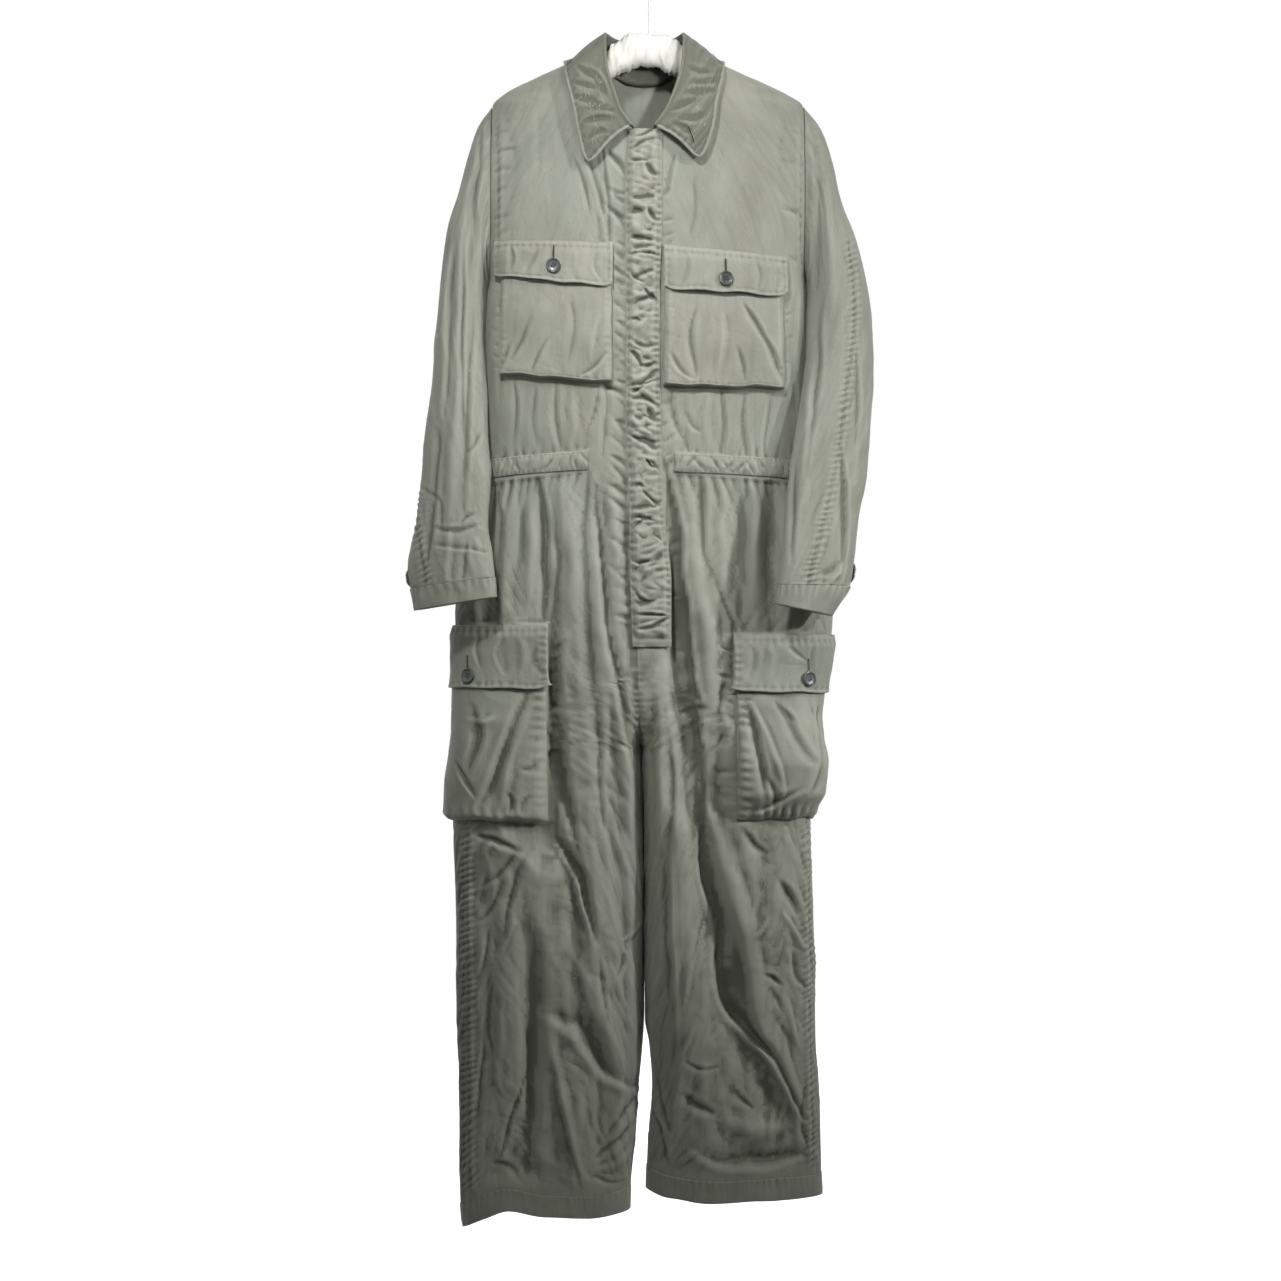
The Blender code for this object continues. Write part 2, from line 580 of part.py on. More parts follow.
# ---------------------------------------------------------------- sleeves
def sleeve_ring(side, row, angle, inset=0.0):
    """A point of a sleeve's section. Angle 0 is its outer edge, 90 degrees its front."""
    table = np.array(SLEEVES[side], float)
    last = len(table) - 1
    low = min(int(row), last - 1)
    t = row - low
    outer = table[low, 0:3] * (1 - t) + table[low + 1, 0:3] * t
    inner = table[low, 3:6] * (1 - t) + table[low + 1, 3:6] * t
    depth = table[low, 6] * (1 - t) + table[low + 1, 6] * t
    centre, reach = (outer + inner) / 2, (outer - inner) / 2
    across = np.cross(reach, [0.0, 1.0, 0.0])
    forward = np.cross(across, reach)
    forward = -side * side * forward / np.linalg.norm(forward)
    if forward[1] > 0:
        forward = -forward
    size = np.linalg.norm(reach)
    way = reach / size
    return centre + way * (size - inset) * math.cos(angle) + forward * (depth - inset) * math.sin(angle)


SEAM_ANGLE = math.radians(1.2)


def make_sleeve(side, under, look):
    """The front or the back half of a sleeve, from the armhole to the cuff stitching."""
    half = "back" if under else "front"
    name = f"sleeve_{half}_left" if side > 0 else f"sleeve_{half}_right"
    steps = 7
    start, end = (math.pi, 2 * math.pi) if under else (0.0, math.pi)
    outer, inner = [], []
    last = len(SLEEVES[side]) - 1 - CUFF_RINGS + 1
    for row in range(last + 1):
        at = row if row < last else last - 0.03
        outer_row, inner_row = [], []
        for k in range(steps + 1):
            angle = start + SEAM_ANGLE + (end - start - 2 * SEAM_ANGLE) * k / steps
            outer_row.append(sleeve_ring(side, at, angle))
            inner_row.append(sleeve_ring(side, at, angle, CLOTH))
        outer.append(outer_row)
        inner.append(inner_row)
    return sheet(name, outer, inner, look)


def make_cuff(side, look):
    name = "cuff_left" if side > 0 else "cuff_right"
    steps = 16
    outer, inner = [], []
    last = len(SLEEVES[side]) - 1
    for at in (last - CUFF_RINGS + 1 + 0.03, last - 0.5, last):
        outer.append([sleeve_ring(side, at, 2 * math.pi * k / steps) for k in range(steps)])
        inner.append([sleeve_ring(side, at, 2 * math.pi * k / steps, DOUBLE) for k in range(steps)])
    return sheet(name, outer, inner, look, closed=True)


def make_cuff_tab(side, look):
    """The pointed tab that closes the cuff: from the back of the sleeve end round its outer edge."""
    name = "cuff_tab_left" if side > 0 else "cuff_tab_right"
    last = len(SLEEVES[side]) - 1
    step = (math.pi - 2 * SEAM_ANGLE) / 7
    angles = [math.pi + SEAM_ANGLE + step * k for k in range(3, 8)] + [2 * math.pi + step * 0.45]
    outer, inner = [], []
    for row in range(3):
        outer_row, inner_row = [], []
        for k, angle in enumerate(angles):
            point_share = 0.8 if k == len(angles) - 1 else 0.0
            across = (row / 2 - 0.5) * (1 - point_share)
            at = last - 1.48 + across * 0.86
            inner_row.append(sleeve_ring(side, at, angle, -TAB_GAP))
            outer_row.append(sleeve_ring(side, at, angle, -TAB_GAP - DOUBLE))
        outer.append(outer_row)
        inner.append(inner_row)
    return sheet(name, outer, inner, look)


TAB_GAP = 0.0012


# ---------------------------------------------------------------- pieces that lie on the front
class Cover:
    """The faceted pieces already made, so that what lies on them keeps its gap."""

    def __init__(self, objects):
        points, faces = [], []
        for obj in objects:
            start = len(points)
            points += [v.co.copy() for v in obj.data.vertices]
            faces += [tuple(start + i for i in p.vertices) for p in obj.data.polygons]
        self.tree = BVHTree.FromPolygons(points, faces)

    def front(self, x, z, lift):
        """The point in front of the cloth at (x, z), lifted off it."""
        for aside in (0.0, 0.0012, -0.0012, 0.003, -0.003):  # a seam's gap is stepped over
            place, normal, _, _ = self.tree.ray_cast(Vector((x + aside, -1.0, z)), Vector((0.0, 1.0, 0.0)))
            if place is not None:
                break
        place = Vector((x, place.y, z))
        normal = Vector((normal.x * 0.5, normal.y, 0.0)).normalized()
        return np.array(place + normal * lift)

    def seat(self, x, z, gap):
        """Where a button's flat back rests at (x, z), and which way it faces."""
        r = BUTTON_RADIUS
        spots = [(x, z)] + [(x + r * math.cos(a), z + r * math.sin(a)) for a in np.arange(8) * math.pi / 4]
        points = np.array([self.front(px, pz, 0.0) for px, pz in spots])
        centre = points[0]
        across = points[1] - points[5]
        up = points[3] - points[7]
        normal = np.cross(across, up)
        normal *= -math.copysign(1.0, normal[1]) / np.linalg.norm(normal)
        rise = max(float((point - centre) @ normal) for point in points)
        return centre + normal * (rise + gap), normal


def patch_grid(corners, rows, columns):
    """Points (x, z) between four corners: two at the top from the middle out, two at the foot."""
    top_in, top_out, foot_out, foot_in = (np.array(c, float) for c in corners)
    grid = []
    for r in rows:
        left = top_in + (foot_in - top_in) * r
        right = top_out + (foot_out - top_out) * r
        grid.append([left + (right - left) * c for c in columns])
    return grid


def make_flap(name, cover, corners, look, lift, bulge):
    grid = patch_grid(corners, (0.0, 0.3, 0.65, 0.92, 1.0), (0.0, 0.04, 0.2, 0.4, 0.58, 0.72, 0.84, 0.92, 0.965, 1.0))
    outer, inner = [], []
    for i, row in enumerate(grid):
        out = lift[min(i, len(lift) - 1)]
        outer_row, inner_row = [], []
        for j, (x, z) in enumerate(row):
            if i == len(grid) - 1 and j in (0, len(row) - 1):
                z += 0.002  # the rounded corners
            extra = bulge * math.sin(math.pi * j / (len(row) - 1)) * i / (len(grid) - 1)
            inner_row.append(cover.front(x, z, out + extra))
            outer_row.append(cover.front(x, z, out + extra + DOUBLE))
        outer.append(outer_row)
        inner.append(inner_row)
    return sheet(name, outer, inner, look)


def make_bag(name, cover, corners, depth, look):
    """A pocket bag: a face that stands off the front, with its edges turned back down to it."""
    wall = 0.004
    across = (0.0, wall / 0.15, 0.2, 0.4, 0.58, 0.72, 0.86, 1 - wall / 0.15, 1.0)
    down = (0.0, 0.25, 0.5, 0.78, 1 - wall / 0.15, 1.0)
    grid = patch_grid(corners, down, across)
    mouth, foot = depth
    outer, inner = [], []
    for i, row in enumerate(grid):
        outer_row, inner_row = [], []
        for j, (x, z) in enumerate(row):
            stand = mouth + (foot - mouth) * down[i]
            edge = j in (0, len(row) - 1) or i == len(grid) - 1
            stand = REST_GAP + CLOTH if edge else stand
            shrink = CLOTH if j in (0, len(row) - 1) else 0.0
            inward = shrink if j == 0 else -shrink
            inward *= 1 if corners[1][0] > corners[0][0] else -1
            raise_foot = CLOTH if i == len(grid) - 1 else 0.0
            low = REST_GAP if edge else stand - CLOTH
            outer_row.append(cover.front(x, z, stand))
            inner_row.append(cover.front(x + inward, z + raise_foot, low))
        outer.append(outer_row)
        inner.append(inner_row)
    return sheet(name, outer, inner, look)


def make_placket(cover, look):
    rows = smooth_rows(PLACKET)
    steps = 22
    outer, inner = [], []
    for i in range(steps + 1):
        z = PLACKET[0][0] + (PLACKET[-1][0] - PLACKET[0][0]) * i / steps
        right, left = rows(z)
        outer_row, inner_row = [], []
        for share in (0.0, 0.35, 0.7, 1.0):
            x = right + (left - right) * share
            inner_row.append(cover.front(x, z - 0.0065, REST_GAP))
            outer_row.append(cover.front(x, z - 0.0065, REST_GAP + DOUBLE))
        outer.append(outer_row)
        inner.append(inner_row)
    return sheet("placket", outer, inner, look)


def make_front_casing(side, look):
    """The gathered drawcord channel at the waist, from near the placket to the side seam."""
    name = "waist_casing_left" if side > 0 else "waist_casing_right"
    start_x, inner_z, outer_z = CASINGS[side]
    start = (math.asin((side * (start_x - BODY_MIDDLE_X) / half_section(side, WAIST_Z)[1]) ** 1.3)) / (math.pi / 2)
    steps = 7
    outer, inner = [], []
    for row in range(4):
        drop = -CASING_HEIGHT * row / 3
        lift = CASING_LIFT if row in (1, 2) else CASING_GAP + CLOTH
        outer_row, inner_row = [], []
        for k in range(steps + 1):
            share = k / steps
            z = inner_z + (outer_z - inner_z) * share + drop
            x = column_x(side, start + (0.97 - start) * share, z)
            low = body_point(side, x, z, lift=CASING_GAP)
            high = body_point(side, x, z, lift=lift)
            inner_row.append(low)
            outer_row.append(high)
        outer.append(outer_row)
        inner.append(inner_row)
    return sheet(name, outer, inner, look)


def make_back_casing(look):
    """The same channel across the back."""
    shares = (0.93, 0.82, 0.66, 0.46, 0.28, 0.12)
    outer, inner = [], []
    for row in range(4):
        z = WAIST_Z + 0.012 - CASING_HEIGHT * row / 3
        lift = CASING_LIFT if row in (1, 2) else BACK_CASING_GAP + CLOTH
        outer_row, inner_row = [], []
        for side, values in ((-1, shares), (1, shares[::-1])):
            for share in values:
                x = column_x(side, share, z)
                inner_row.append(body_point(side, x, z, True, BACK_CASING_GAP, folded=False))
                outer_row.append(body_point(side, x, z, True, lift, folded=False))
        outer.append(outer_row)
        inner.append(inner_row)
    return sheet("waist_casing_back", outer, inner, look)


# ---------------------------------------------------------------- cargo pockets
def side_point(side, angle, z, lift):
    """A point off the half's ring, by its angle: 90 degrees is the side seam, more is the back."""
    centre, width, front_depth, back_depth, square, _ = half_section(side, z)
    back = angle > math.pi / 2
    x = centre + side * width * signed_power(math.sin(angle), 2 / square)
    y = (back_depth if back else -front_depth) * abs(math.cos(angle)) ** (2 / square)
    normal = body_normal(side, x, y if abs(y) > 1e-6 else 1e-6, z, back)
    return np.array([x, y, z]) + normal * lift


def angle_of_x(side, x, z):
    centre, width, _, _, square, _ = half_section(side, z)
    share = side * (x - centre) / width
    return math.asin(signed_power(share, square / 2))


def cargo_angles(side, z, steps, extra=0.0):
    top, foot = CARGO_FRONT_X[side]
    t = (z - CARGO_TOP_Z[side]) / (CARGO_FOOT_Z[side] - CARGO_TOP_Z[side])
    front = angle_of_x(side, top + (foot - top) * t - side * extra, z)
    end = math.radians(CARGO_BACK_ANGLE)
    return [front + (end - front) * k / steps for k in range(steps + 1)]


def make_cargo_bag(side, look):
    """The bellows pocket: its face stands well off the leg, and its edges turn back to it."""
    name = "cargo_pocket_left" if side > 0 else "cargo_pocket_right"
    top, foot = CARGO_TOP_Z[side] - CARGO_MOUTH, CARGO_FOOT_Z[side]
    rows = (0.0, 0.18, 0.34, 0.5, 0.67, 0.82, 0.93, 0.98, 1.0)
    steps = 9
    sewn = FOLD_ROOM + CLOTH
    outer, inner = [], []
    for i, share in enumerate(rows):
        z = top + (foot - top) * share
        angles = cargo_angles(side, z, steps)
        last = i == len(rows) - 1
        outer_row, inner_row = [], []
        for k, angle in enumerate(angles):
            edge = k in (0, steps) or last
            stand = cargo_stand(side, z, k / steps)
            high = sewn if edge else stand
            low = FOLD_ROOM if edge else stand - CLOTH
            tuck = (angles[1] - angles[0]) * 0.10 * (1 if k == 0 else -1 if k == steps else 0)
            outer_row.append(side_point(side, angle, z, high))
            inner_row.append(side_point(side, angle + tuck, z + (CLOTH if last else 0.0), low))
        # the wall at each edge rises almost straight off the leg
        for row, less in ((outer_row, 0.0), (inner_row, CLOTH)):
            front_rise, back_rise = (cargo_stand(side, z, end) - less for end in (0.0, 1.0))
            row.insert(1, side_point(side, angles[0] + 0.10 * (angles[1] - angles[0]), z, sewn if last else front_rise))
            row.insert(-1, side_point(side, angles[-1] - 0.10 * (angles[1] - angles[0]), z, sewn if last else back_rise))
        if last:
            inner_row[1] = side_point(side, angles[0] + 0.12 * (angles[1] - angles[0]), z + CLOTH, FOLD_ROOM)
            inner_row[-2] = side_point(side, angles[-1] - 0.12 * (angles[1] - angles[0]), z + CLOTH, FOLD_ROOM)
        outer.append(outer_row)
        inner.append(inner_row)
    return sheet(name, outer, inner, look)


FOLD_ROOM = 0.0022  # the folds of the leg need this much under the pocket's sewn edge


def cargo_stand(side, z, share):
    """How far the pocket's face stands off the leg. share is 0 at its front edge and 1 at its back."""
    top = CARGO_TOP_Z[side] - CARGO_MOUTH
    down = (z - top) / (CARGO_FOOT_Z[side] - top)
    table = CARGO_STAND[side]
    stand = float(np.interp(down, [row[0] for row in table], [row[1] for row in table]))
    full = 0.80 + 0.65 * math.sin(math.pi * min(1.0, share / 0.62)) * ramp(down, 0.0, 0.6)
    return max(stand * full, 0.0042)


def make_cargo_flap(side, look):
    name = "cargo_flap_left" if side > 0 else "cargo_flap_right"
    top, foot = CARGO_TOP_Z[side], CARGO_FLAP_FOOT_Z[side]
    steps = 10
    outer, inner = [], []
    for share in (0.0, 0.3, 0.6, 0.92, 1.0):
        z = top + (foot - top) * share
        outer_row, inner_row = [], []
        for k, angle in enumerate(cargo_angles(side, z, steps, extra=0.004)):
            lift = cargo_stand(side, z, k / steps) + CARGO_FLAP_ROOM if share else 0.0026
            level = z + (0.003 if k in (0, steps) and share == 1.0 else 0.0)
            inner_row.append(side_point(side, angle, level, lift))
            outer_row.append(side_point(side, angle, level, lift + DOUBLE))
        outer.append(outer_row)
        inner.append(inner_row)
    return sheet(name, outer, inner, look)


# ---------------------------------------------------------------- collar
def clear_of_body(side, point, gap):
    """Move a point out along the body's normal until it is at least this far off the body."""
    point = np.array(point, float)
    for _ in range(3):
        x, y, z = point
        level = min(z, BODY[0][0] - 0.001)
        centre, width, front_depth, back_depth, square, _ = half_section(side, level)
        depth = back_depth if y > 0 else front_depth
        size = ((abs(x - centre) / width) ** square + (abs(y) / depth) ** square) ** (1 / square)
        steep = np.array([(x - centre) / width**2, y / depth**2, 0.0]) / max(size, 0.2)
        step = 0.002
        above, below = half_section(side, level + step), half_section(side, level - step)
        grown = [
            ((abs(x - h[0]) / h[1]) ** h[4] + (abs(y) / (h[3] if y > 0 else h[2])) ** h[4]) ** (1 / h[4])
            for h in (above, below)
        ]
        steep[2] = (grown[0] - grown[1]) / (2 * step)
        away = (size - 1) / np.linalg.norm(steep)
        if z < BODY[0][0] and away < gap:
            point = point + steep / np.linalg.norm(steep) * (gap - away)
    return point


def collar_station(row, side):
    """The cross-section of the collar at one station: up the stand, over the roll, down the fall."""
    seam_x, seam_y, seam_z, roll_x, roll_y, roll_z, edge_x, edge_y, edge_z = row
    middle = BODY[0][2]
    seam = np.array([middle + side * seam_x, seam_y, seam_z])
    lean = COLLAR_LEAN * ramp(roll_z, -0.160, -0.230)
    roll = np.array([middle + side * roll_x + lean, roll_y, roll_z])
    edge = np.array([middle + side * edge_x + lean, edge_y, edge_z])
    away = edge - roll
    over = away * np.array([1.0, 1.0, ramp(roll_z, -0.150, -0.210)])
    over = over / np.linalg.norm(over) * COLLAR_ROLL
    points = [seam + (roll - over - seam) * k / COLLAR_STAND_ROWS for k in range(COLLAR_STAND_ROWS)]
    points += [roll - over, roll + over]
    outward = np.array([side * 0.55, 1.0 if edge_y > 0.004 else -1.0, 0.6])
    for k in range(1, COLLAR_FALL_ROWS + 1):
        share = k / COLLAR_FALL_ROWS
        lift = 0.002 * math.sin(math.pi * share)
        points.append(clear_of_body(side, roll + away * share + outward * lift, COLLAR_LIFT))
    return points


def collar_row(at):
    """The collar's table at a place between two stations."""
    rows = np.array(COLLAR, float)
    i = min(int(at), len(rows) - 2)
    t = at - i
    before = rows[i - 1] if i else rows[1] * np.array([-1, 1, 1, -1, 1, 1, -1, 1, 1])
    after = rows[i + 2] if i + 2 < len(rows) else 2 * rows[-1] - rows[-2]
    p0, p1, p2, p3 = before, rows[i], rows[i + 1], after
    return 0.5 * (2 * p1 + (p2 - p0) * t + (2 * p0 - 5 * p1 + 4 * p2 - p3) * t * t + (3 * (p1 - p2) + p3 - p0) * t**3)


def make_collar(look):
    stations = [collar_station(collar_row(at), -1) for at in COLLAR_STATIONS[::-1]]
    stations += [collar_station(collar_row(at), 1) for at in COLLAR_STATIONS[1:]]
    grid = np.array(stations)
    crest = COLLAR_STAND_ROWS + 1  # the first point past the roll
    outward = np.concatenate([grid_normals(grid[:, :crest]), grid_normals(grid[:, crest:])], axis=1)
    if outward[len(grid) // 2, -1, 1] < 0:
        outward = -outward
    up_stand = grid[:, crest - 1] - grid[:, crest - 2]
    up_fall = grid[:, crest] - grid[:, crest + 1]
    out_of_fold = sum(way / np.linalg.norm(way, axis=1)[:, None] for way in (up_stand, up_fall))
    out_of_fold /= np.linalg.norm(out_of_fold, axis=1)[:, None]
    lifted = outward[:, crest - 1 : crest + 1] + 0.9 * out_of_fold[:, None, :]
    outward[:, crest - 1 : crest + 1] = lifted / np.linalg.norm(lifted, axis=2)[:, :, None]
    return sheet("collar", grid + outward * DOUBLE / 2, grid - outward * DOUBLE / 2, look)


# ---------------------------------------------------------------- buttons
def make_button(name, centre, normal, look):
    """A four-hole workwear button: a dished disc with a rim, turned about its own axis."""
    normal = Vector(normal).normalized()
    turn = normal.to_track_quat("Z", "Y")
    r, h = BUTTON_RADIUS, BUTTON_HEIGHT
    profile = ((r * 0.80, 0.0), (r, h * 0.35), (r, h * 0.75), (r * 0.90, h), (r * 0.70, h * 0.9), (r * 0.58, h * 0.6))
    segments = 20
    points, faces = [], []
    for radius, height in profile:
        for k in range(segments):
            a = 2 * math.pi * k / segments
            points.append(Vector((radius * math.cos(a), radius * math.sin(a), height)))
    for ring in range(len(profile) - 1):
        for k in range(segments):
            a, b = ring * segments + k, ring * segments + (k + 1) % segments
            faces.append((a, b, b + segments, a + segments))
    faces.append(tuple(range(segments - 1, -1, -1)))
    faces.append(tuple((len(profile) - 1) * segments + k for k in range(segments)))
    points = [turn @ p + Vector(centre) for p in points]
    return solid(name, points, faces, look)


# ---------------------------------------------------------------- hanger
arm_height = smooth_rows([(-away, z) for away, z in ARM_TOP])


def arm_top(x):
    return float(arm_height(-abs(x - ARM_MIDDLE_X))[0])


def make_hanger_pad(look):
    """The padded arm: a rounded tube that follows the shoulders and is closed at both ends."""
    steps, around = 22, 12
    points, faces = [], []
    for i in range(steps + 1):
        x = ARM_MIDDLE_X + ARM_HALF_LENGTH * math.sin(math.pi / 2 * (2 * i / steps - 1))
        slope = (arm_top(x + 0.001) - arm_top(x - 0.001)) / 0.002
        up = np.array([-slope, 0.0, 1.0]) / math.hypot(1.0, slope)
        size = max(0.12, math.sqrt(max(0.0, 1 - (abs(x - ARM_MIDDLE_X) / ARM_HALF_LENGTH) ** 10)))
        centre = np.array([x, 0.0, arm_top(x)]) - up * ARM_HALF_HEIGHT
        for k in range(around):
            a = 2 * math.pi * k / around
            points.append(
                centre + up * ARM_HALF_HEIGHT * size * math.cos(a)
                + np.array([0.0, 1.0, 0.0]) * ARM_HALF_DEPTH * size * math.sin(a)
            )
    for i in range(steps):
        for k in range(around):
            a, b = i * around + k, i * around + (k + 1) % around
            faces.append((a, b, b + around, a + around))
    faces.append(tuple(range(around - 1, -1, -1)))
    faces.append(tuple(steps * around + k for k in range(around)))
    return solid("hanger_pad", points, faces, look)


def hook_line():
    """Centre line of the wire: up out of the pad, then round over the rail to a short tip."""
    foot = ARM_TOP[0][1] + 0.0006
    centre_z = HOOK_WIRE - HOOK_RADIUS
    points = [(0.0, foot), (0.0, (foot + centre_z) / 2), (0.0, centre_z - 0.029), (0.0035, centre_z - 0.0225)]
    for k in range(HOOK_STEPS + 1):
        a = math.radians(-62 + 262 * k / HOOK_STEPS)
        points.append((HOOK_RADIUS * math.cos(a), centre_z + HOOK_RADIUS * math.sin(a)))
    return np.array(points)


HOOK_STEPS = 18


def make_hook(look):
    """The wire: a round tube along its centre line, closed at both ends."""
    line = hook_line()
    around = 10
    points, faces = [], []
    for i, (x, z) in enumerate(line):
        way = line[min(i + 1, len(line) - 1)] - line[max(i - 1, 0)]
        way /= np.linalg.norm(way)
        for k in range(around):
            a = 2 * math.pi * k / around
            aside = HOOK_WIRE * math.cos(a)
            points.append((x - way[1] * aside, HOOK_WIRE * math.sin(a), z + way[0] * aside))
    for i in range(len(line) - 1):
        for k in range(around):
            a, b = i * around + k, i * around + (k + 1) % around
            faces.append((a, b, b + around, a + around))
    faces.append(tuple(range(around - 1, -1, -1)))
    faces.append(tuple((len(line) - 1) * around + k for k in range(around)))
    return solid("hanger_hook", points, faces, look)


# ---------------------------------------------------------------- the whole part
def main():
    clear_scene()
    cloth = material("cloth", CLOTH_COLOUR, 0.72)
    button = material("button", BUTTON_COLOUR, 0.32)
    pad = material("hanger_cover", PAD_COLOUR, 0.85)
    wire = material("hook_wire", WIRE_COLOUR, 0.28, 1.0)

    fronts = {side: make_front(side, cloth) for side in (-1, 1)}
    make_back_bodice(cloth)
    for side in (-1, 1):
        make_back_leg(side, cloth)
        make_leg_hem(side, cloth)
        make_sleeve(side, False, cloth)
        make_sleeve(side, True, cloth)
        make_cuff(side, cloth)
        make_cuff_tab(side, cloth)
    cover = Cover(fronts.values())
    placket = make_placket(cover, cloth)
    make_collar(cloth)
    make_back_casing(cloth)
    for side in (-1, 1):
        end = "left" if side > 0 else "right"
        make_front_casing(side, cloth)
        make_bag(f"chest_pocket_{end}", cover, CHEST_BAGS[side], CHEST_BAG_DEPTH, cloth)
        flap = make_chest_flap(end, side, fronts[side], cloth)
        make_cargo_bag(side, cloth)
        cargo_flap = make_cargo_flap(side, cloth)
        make_button(f"chest_button_{end}", *Cover([flap]).seat(*CHEST_BUTTONS[side], BUTTON_GAP), button)
        make_button(f"cargo_button_{end}", *Cover([cargo_flap]).seat(*CARGO_BUTTONS[side], BUTTON_GAP), button)
    make_hanger_pad(pad)
    make_hook(wire)


def make_chest_flap(end, side, front, look):
    """The flap stands off the front by more than the bag under it."""
    lift = (0.0015, CHEST_BAG_DEPTH[0] + 0.0022, CHEST_BAG_DEPTH[0] + 0.0030, 0.0105, 0.0105)
    return make_flap(f"chest_flap_{end}", Cover([front]), CHEST_FLAPS[side], look, lift, FLAP_BULGE)


main()
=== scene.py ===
"""The dressed scene of a coverall on a padded hanger.

Metres, +Z up, the front faces -Y. Right and left are the wearer's: the right side has negative X.
Crease tables are in millimetres. Every piece is built on the same sections as its CAD solid.
"""

import json
import math

import bmesh
import bpy
import numpy as np
from mathutils import Matrix, Vector

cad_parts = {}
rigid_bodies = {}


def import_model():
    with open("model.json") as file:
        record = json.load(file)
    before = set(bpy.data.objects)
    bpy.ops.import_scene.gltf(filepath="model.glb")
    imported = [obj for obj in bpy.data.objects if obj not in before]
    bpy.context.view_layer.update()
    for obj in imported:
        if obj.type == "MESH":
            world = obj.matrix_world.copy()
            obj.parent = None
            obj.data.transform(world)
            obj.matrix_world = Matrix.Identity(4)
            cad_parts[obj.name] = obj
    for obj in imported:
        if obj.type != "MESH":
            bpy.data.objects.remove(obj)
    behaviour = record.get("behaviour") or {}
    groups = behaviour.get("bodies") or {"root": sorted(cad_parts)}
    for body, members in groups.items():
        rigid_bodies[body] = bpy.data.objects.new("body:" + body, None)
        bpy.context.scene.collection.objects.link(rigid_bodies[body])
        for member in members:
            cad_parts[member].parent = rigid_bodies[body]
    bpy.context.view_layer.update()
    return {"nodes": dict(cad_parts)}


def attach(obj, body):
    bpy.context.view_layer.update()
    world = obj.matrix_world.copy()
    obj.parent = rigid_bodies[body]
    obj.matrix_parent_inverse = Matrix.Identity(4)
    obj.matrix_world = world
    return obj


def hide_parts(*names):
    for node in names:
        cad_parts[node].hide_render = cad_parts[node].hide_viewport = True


for default in list(bpy.data.objects):
    bpy.data.objects.remove(default)
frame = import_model()

# ---------------------------------------------------------------- sizes, as in the part's source
REST_GAP = 0.0009
SHOULDER_TIP_Z = -0.192
UNDERARM_Z = -0.420
WAIST_Z = -0.655
CROTCH_TOP_Z = -0.915
CROTCH_Z = -1.030
ARMHOLE_HALF_DEPTH = 0.034
HEM_LINE_Z = {-1: -1.598, 1: -1.583}
HEM_HEIGHT = 0.029

# z, right out, right in, left in, left out, front depth, back depth, squareness
BODY = (
    (-0.109, -0.034, -0.0070, -0.0070, 0.018, 0.030, 0.028, 2.3),
    (-0.120, -0.058, -0.0070, -0.0070, 0.044, 0.031, 0.030, 2.3),
    (-0.137, -0.108, -0.0070, -0.0070, 0.092, 0.035, 0.033, 2.3),
    (-0.154, -0.146, -0.0070, -0.0070, 0.130, 0.039, 0.036, 2.3),
    (-0.176, -0.190, -0.0070, -0.0070, 0.178, 0.044, 0.040, 2.3),
    (-0.192, -0.205, -0.0070, -0.0070, 0.200, 0.047, 0.042, 2.3),
    (-0.250, -0.205, -0.0070, -0.0070, 0.200, 0.054, 0.048, 2.4),
    (-0.350, -0.205, -0.0070, -0.0070, 0.200, 0.062, 0.053, 2.6),
    (-0.420, -0.209, -0.0072, -0.0072, 0.2035, 0.064, 0.055, 2.7),
    (-0.445, -0.2135, -0.0073, -0.0073, 0.2055, 0.064, 0.055, 2.7),
    (-0.500, -0.217, -0.0075, -0.0075, 0.2065, 0.063, 0.055, 2.7),
    (-0.600, -0.219, -0.0085, -0.0085, 0.2070, 0.058, 0.051, 2.6),
    (-0.655, -0.2175, -0.0100, -0.0100, 0.209, 0.056, 0.049, 2.6),
    (-0.750, -0.233, -0.0135, -0.0135, 0.226, 0.060, 0.057, 2.6),
    (-0.852, -0.2535, -0.0165, -0.0165, 0.239, 0.063, 0.065, 2.6),
    (-0.950, -0.2520, -0.0145, -0.0145, 0.226, 0.064, 0.068, 2.6),
    (-1.018, -0.2520, -0.0115, -0.0115, 0.215, 0.063, 0.067, 2.8),
    (-1.112, -0.2560, -0.0080, -0.0076, 0.209, 0.060, 0.062, 3.0),
    (-1.200, -0.2540, -0.0070, -0.0066, 0.212, 0.057, 0.058, 2.8),
    (-1.300, -0.2520, -0.0068, -0.0064, 0.215, 0.053, 0.053, 2.6),
    (-1.380, -0.2515, -0.0073, -0.0064, 0.216, 0.050, 0.050, 2.5),
    (-1.414, -0.2505, -0.0092, -0.0008, 0.217, 0.049, 0.048, 2.4),
    (-1.470, -0.2485, -0.0143, 0.0029, 0.221, 0.046, 0.045, 2.4),
    (-1.530, -0.2485, -0.0180, -0.0010, 0.223, 0.041, 0.041, 2.4),
    (-1.598, -0.2470, -0.0245, -0.0045, 0.224, 0.035, 0.035, 2.4),
    (-1.660, -0.2360, -0.0262, -0.0060, 0.224, 0.031, 0.031, 2.4),
)
MIDDLE_X = -0.0070

# share out along the leg, fall of the hem
HEM_DROOP = {
    -1: ((0.0, 0.000), (0.25, -0.008), (0.5, -0.006), (0.72, 0.002), (0.86, -0.008), (1.0, -0.024)),
    1: ((0.0, 0.012), (0.12, 0.003), (0.4, -0.003), (0.75, 0.001), (1.0, 0.003)),
}
DROOP_FROM_Z = -1.44

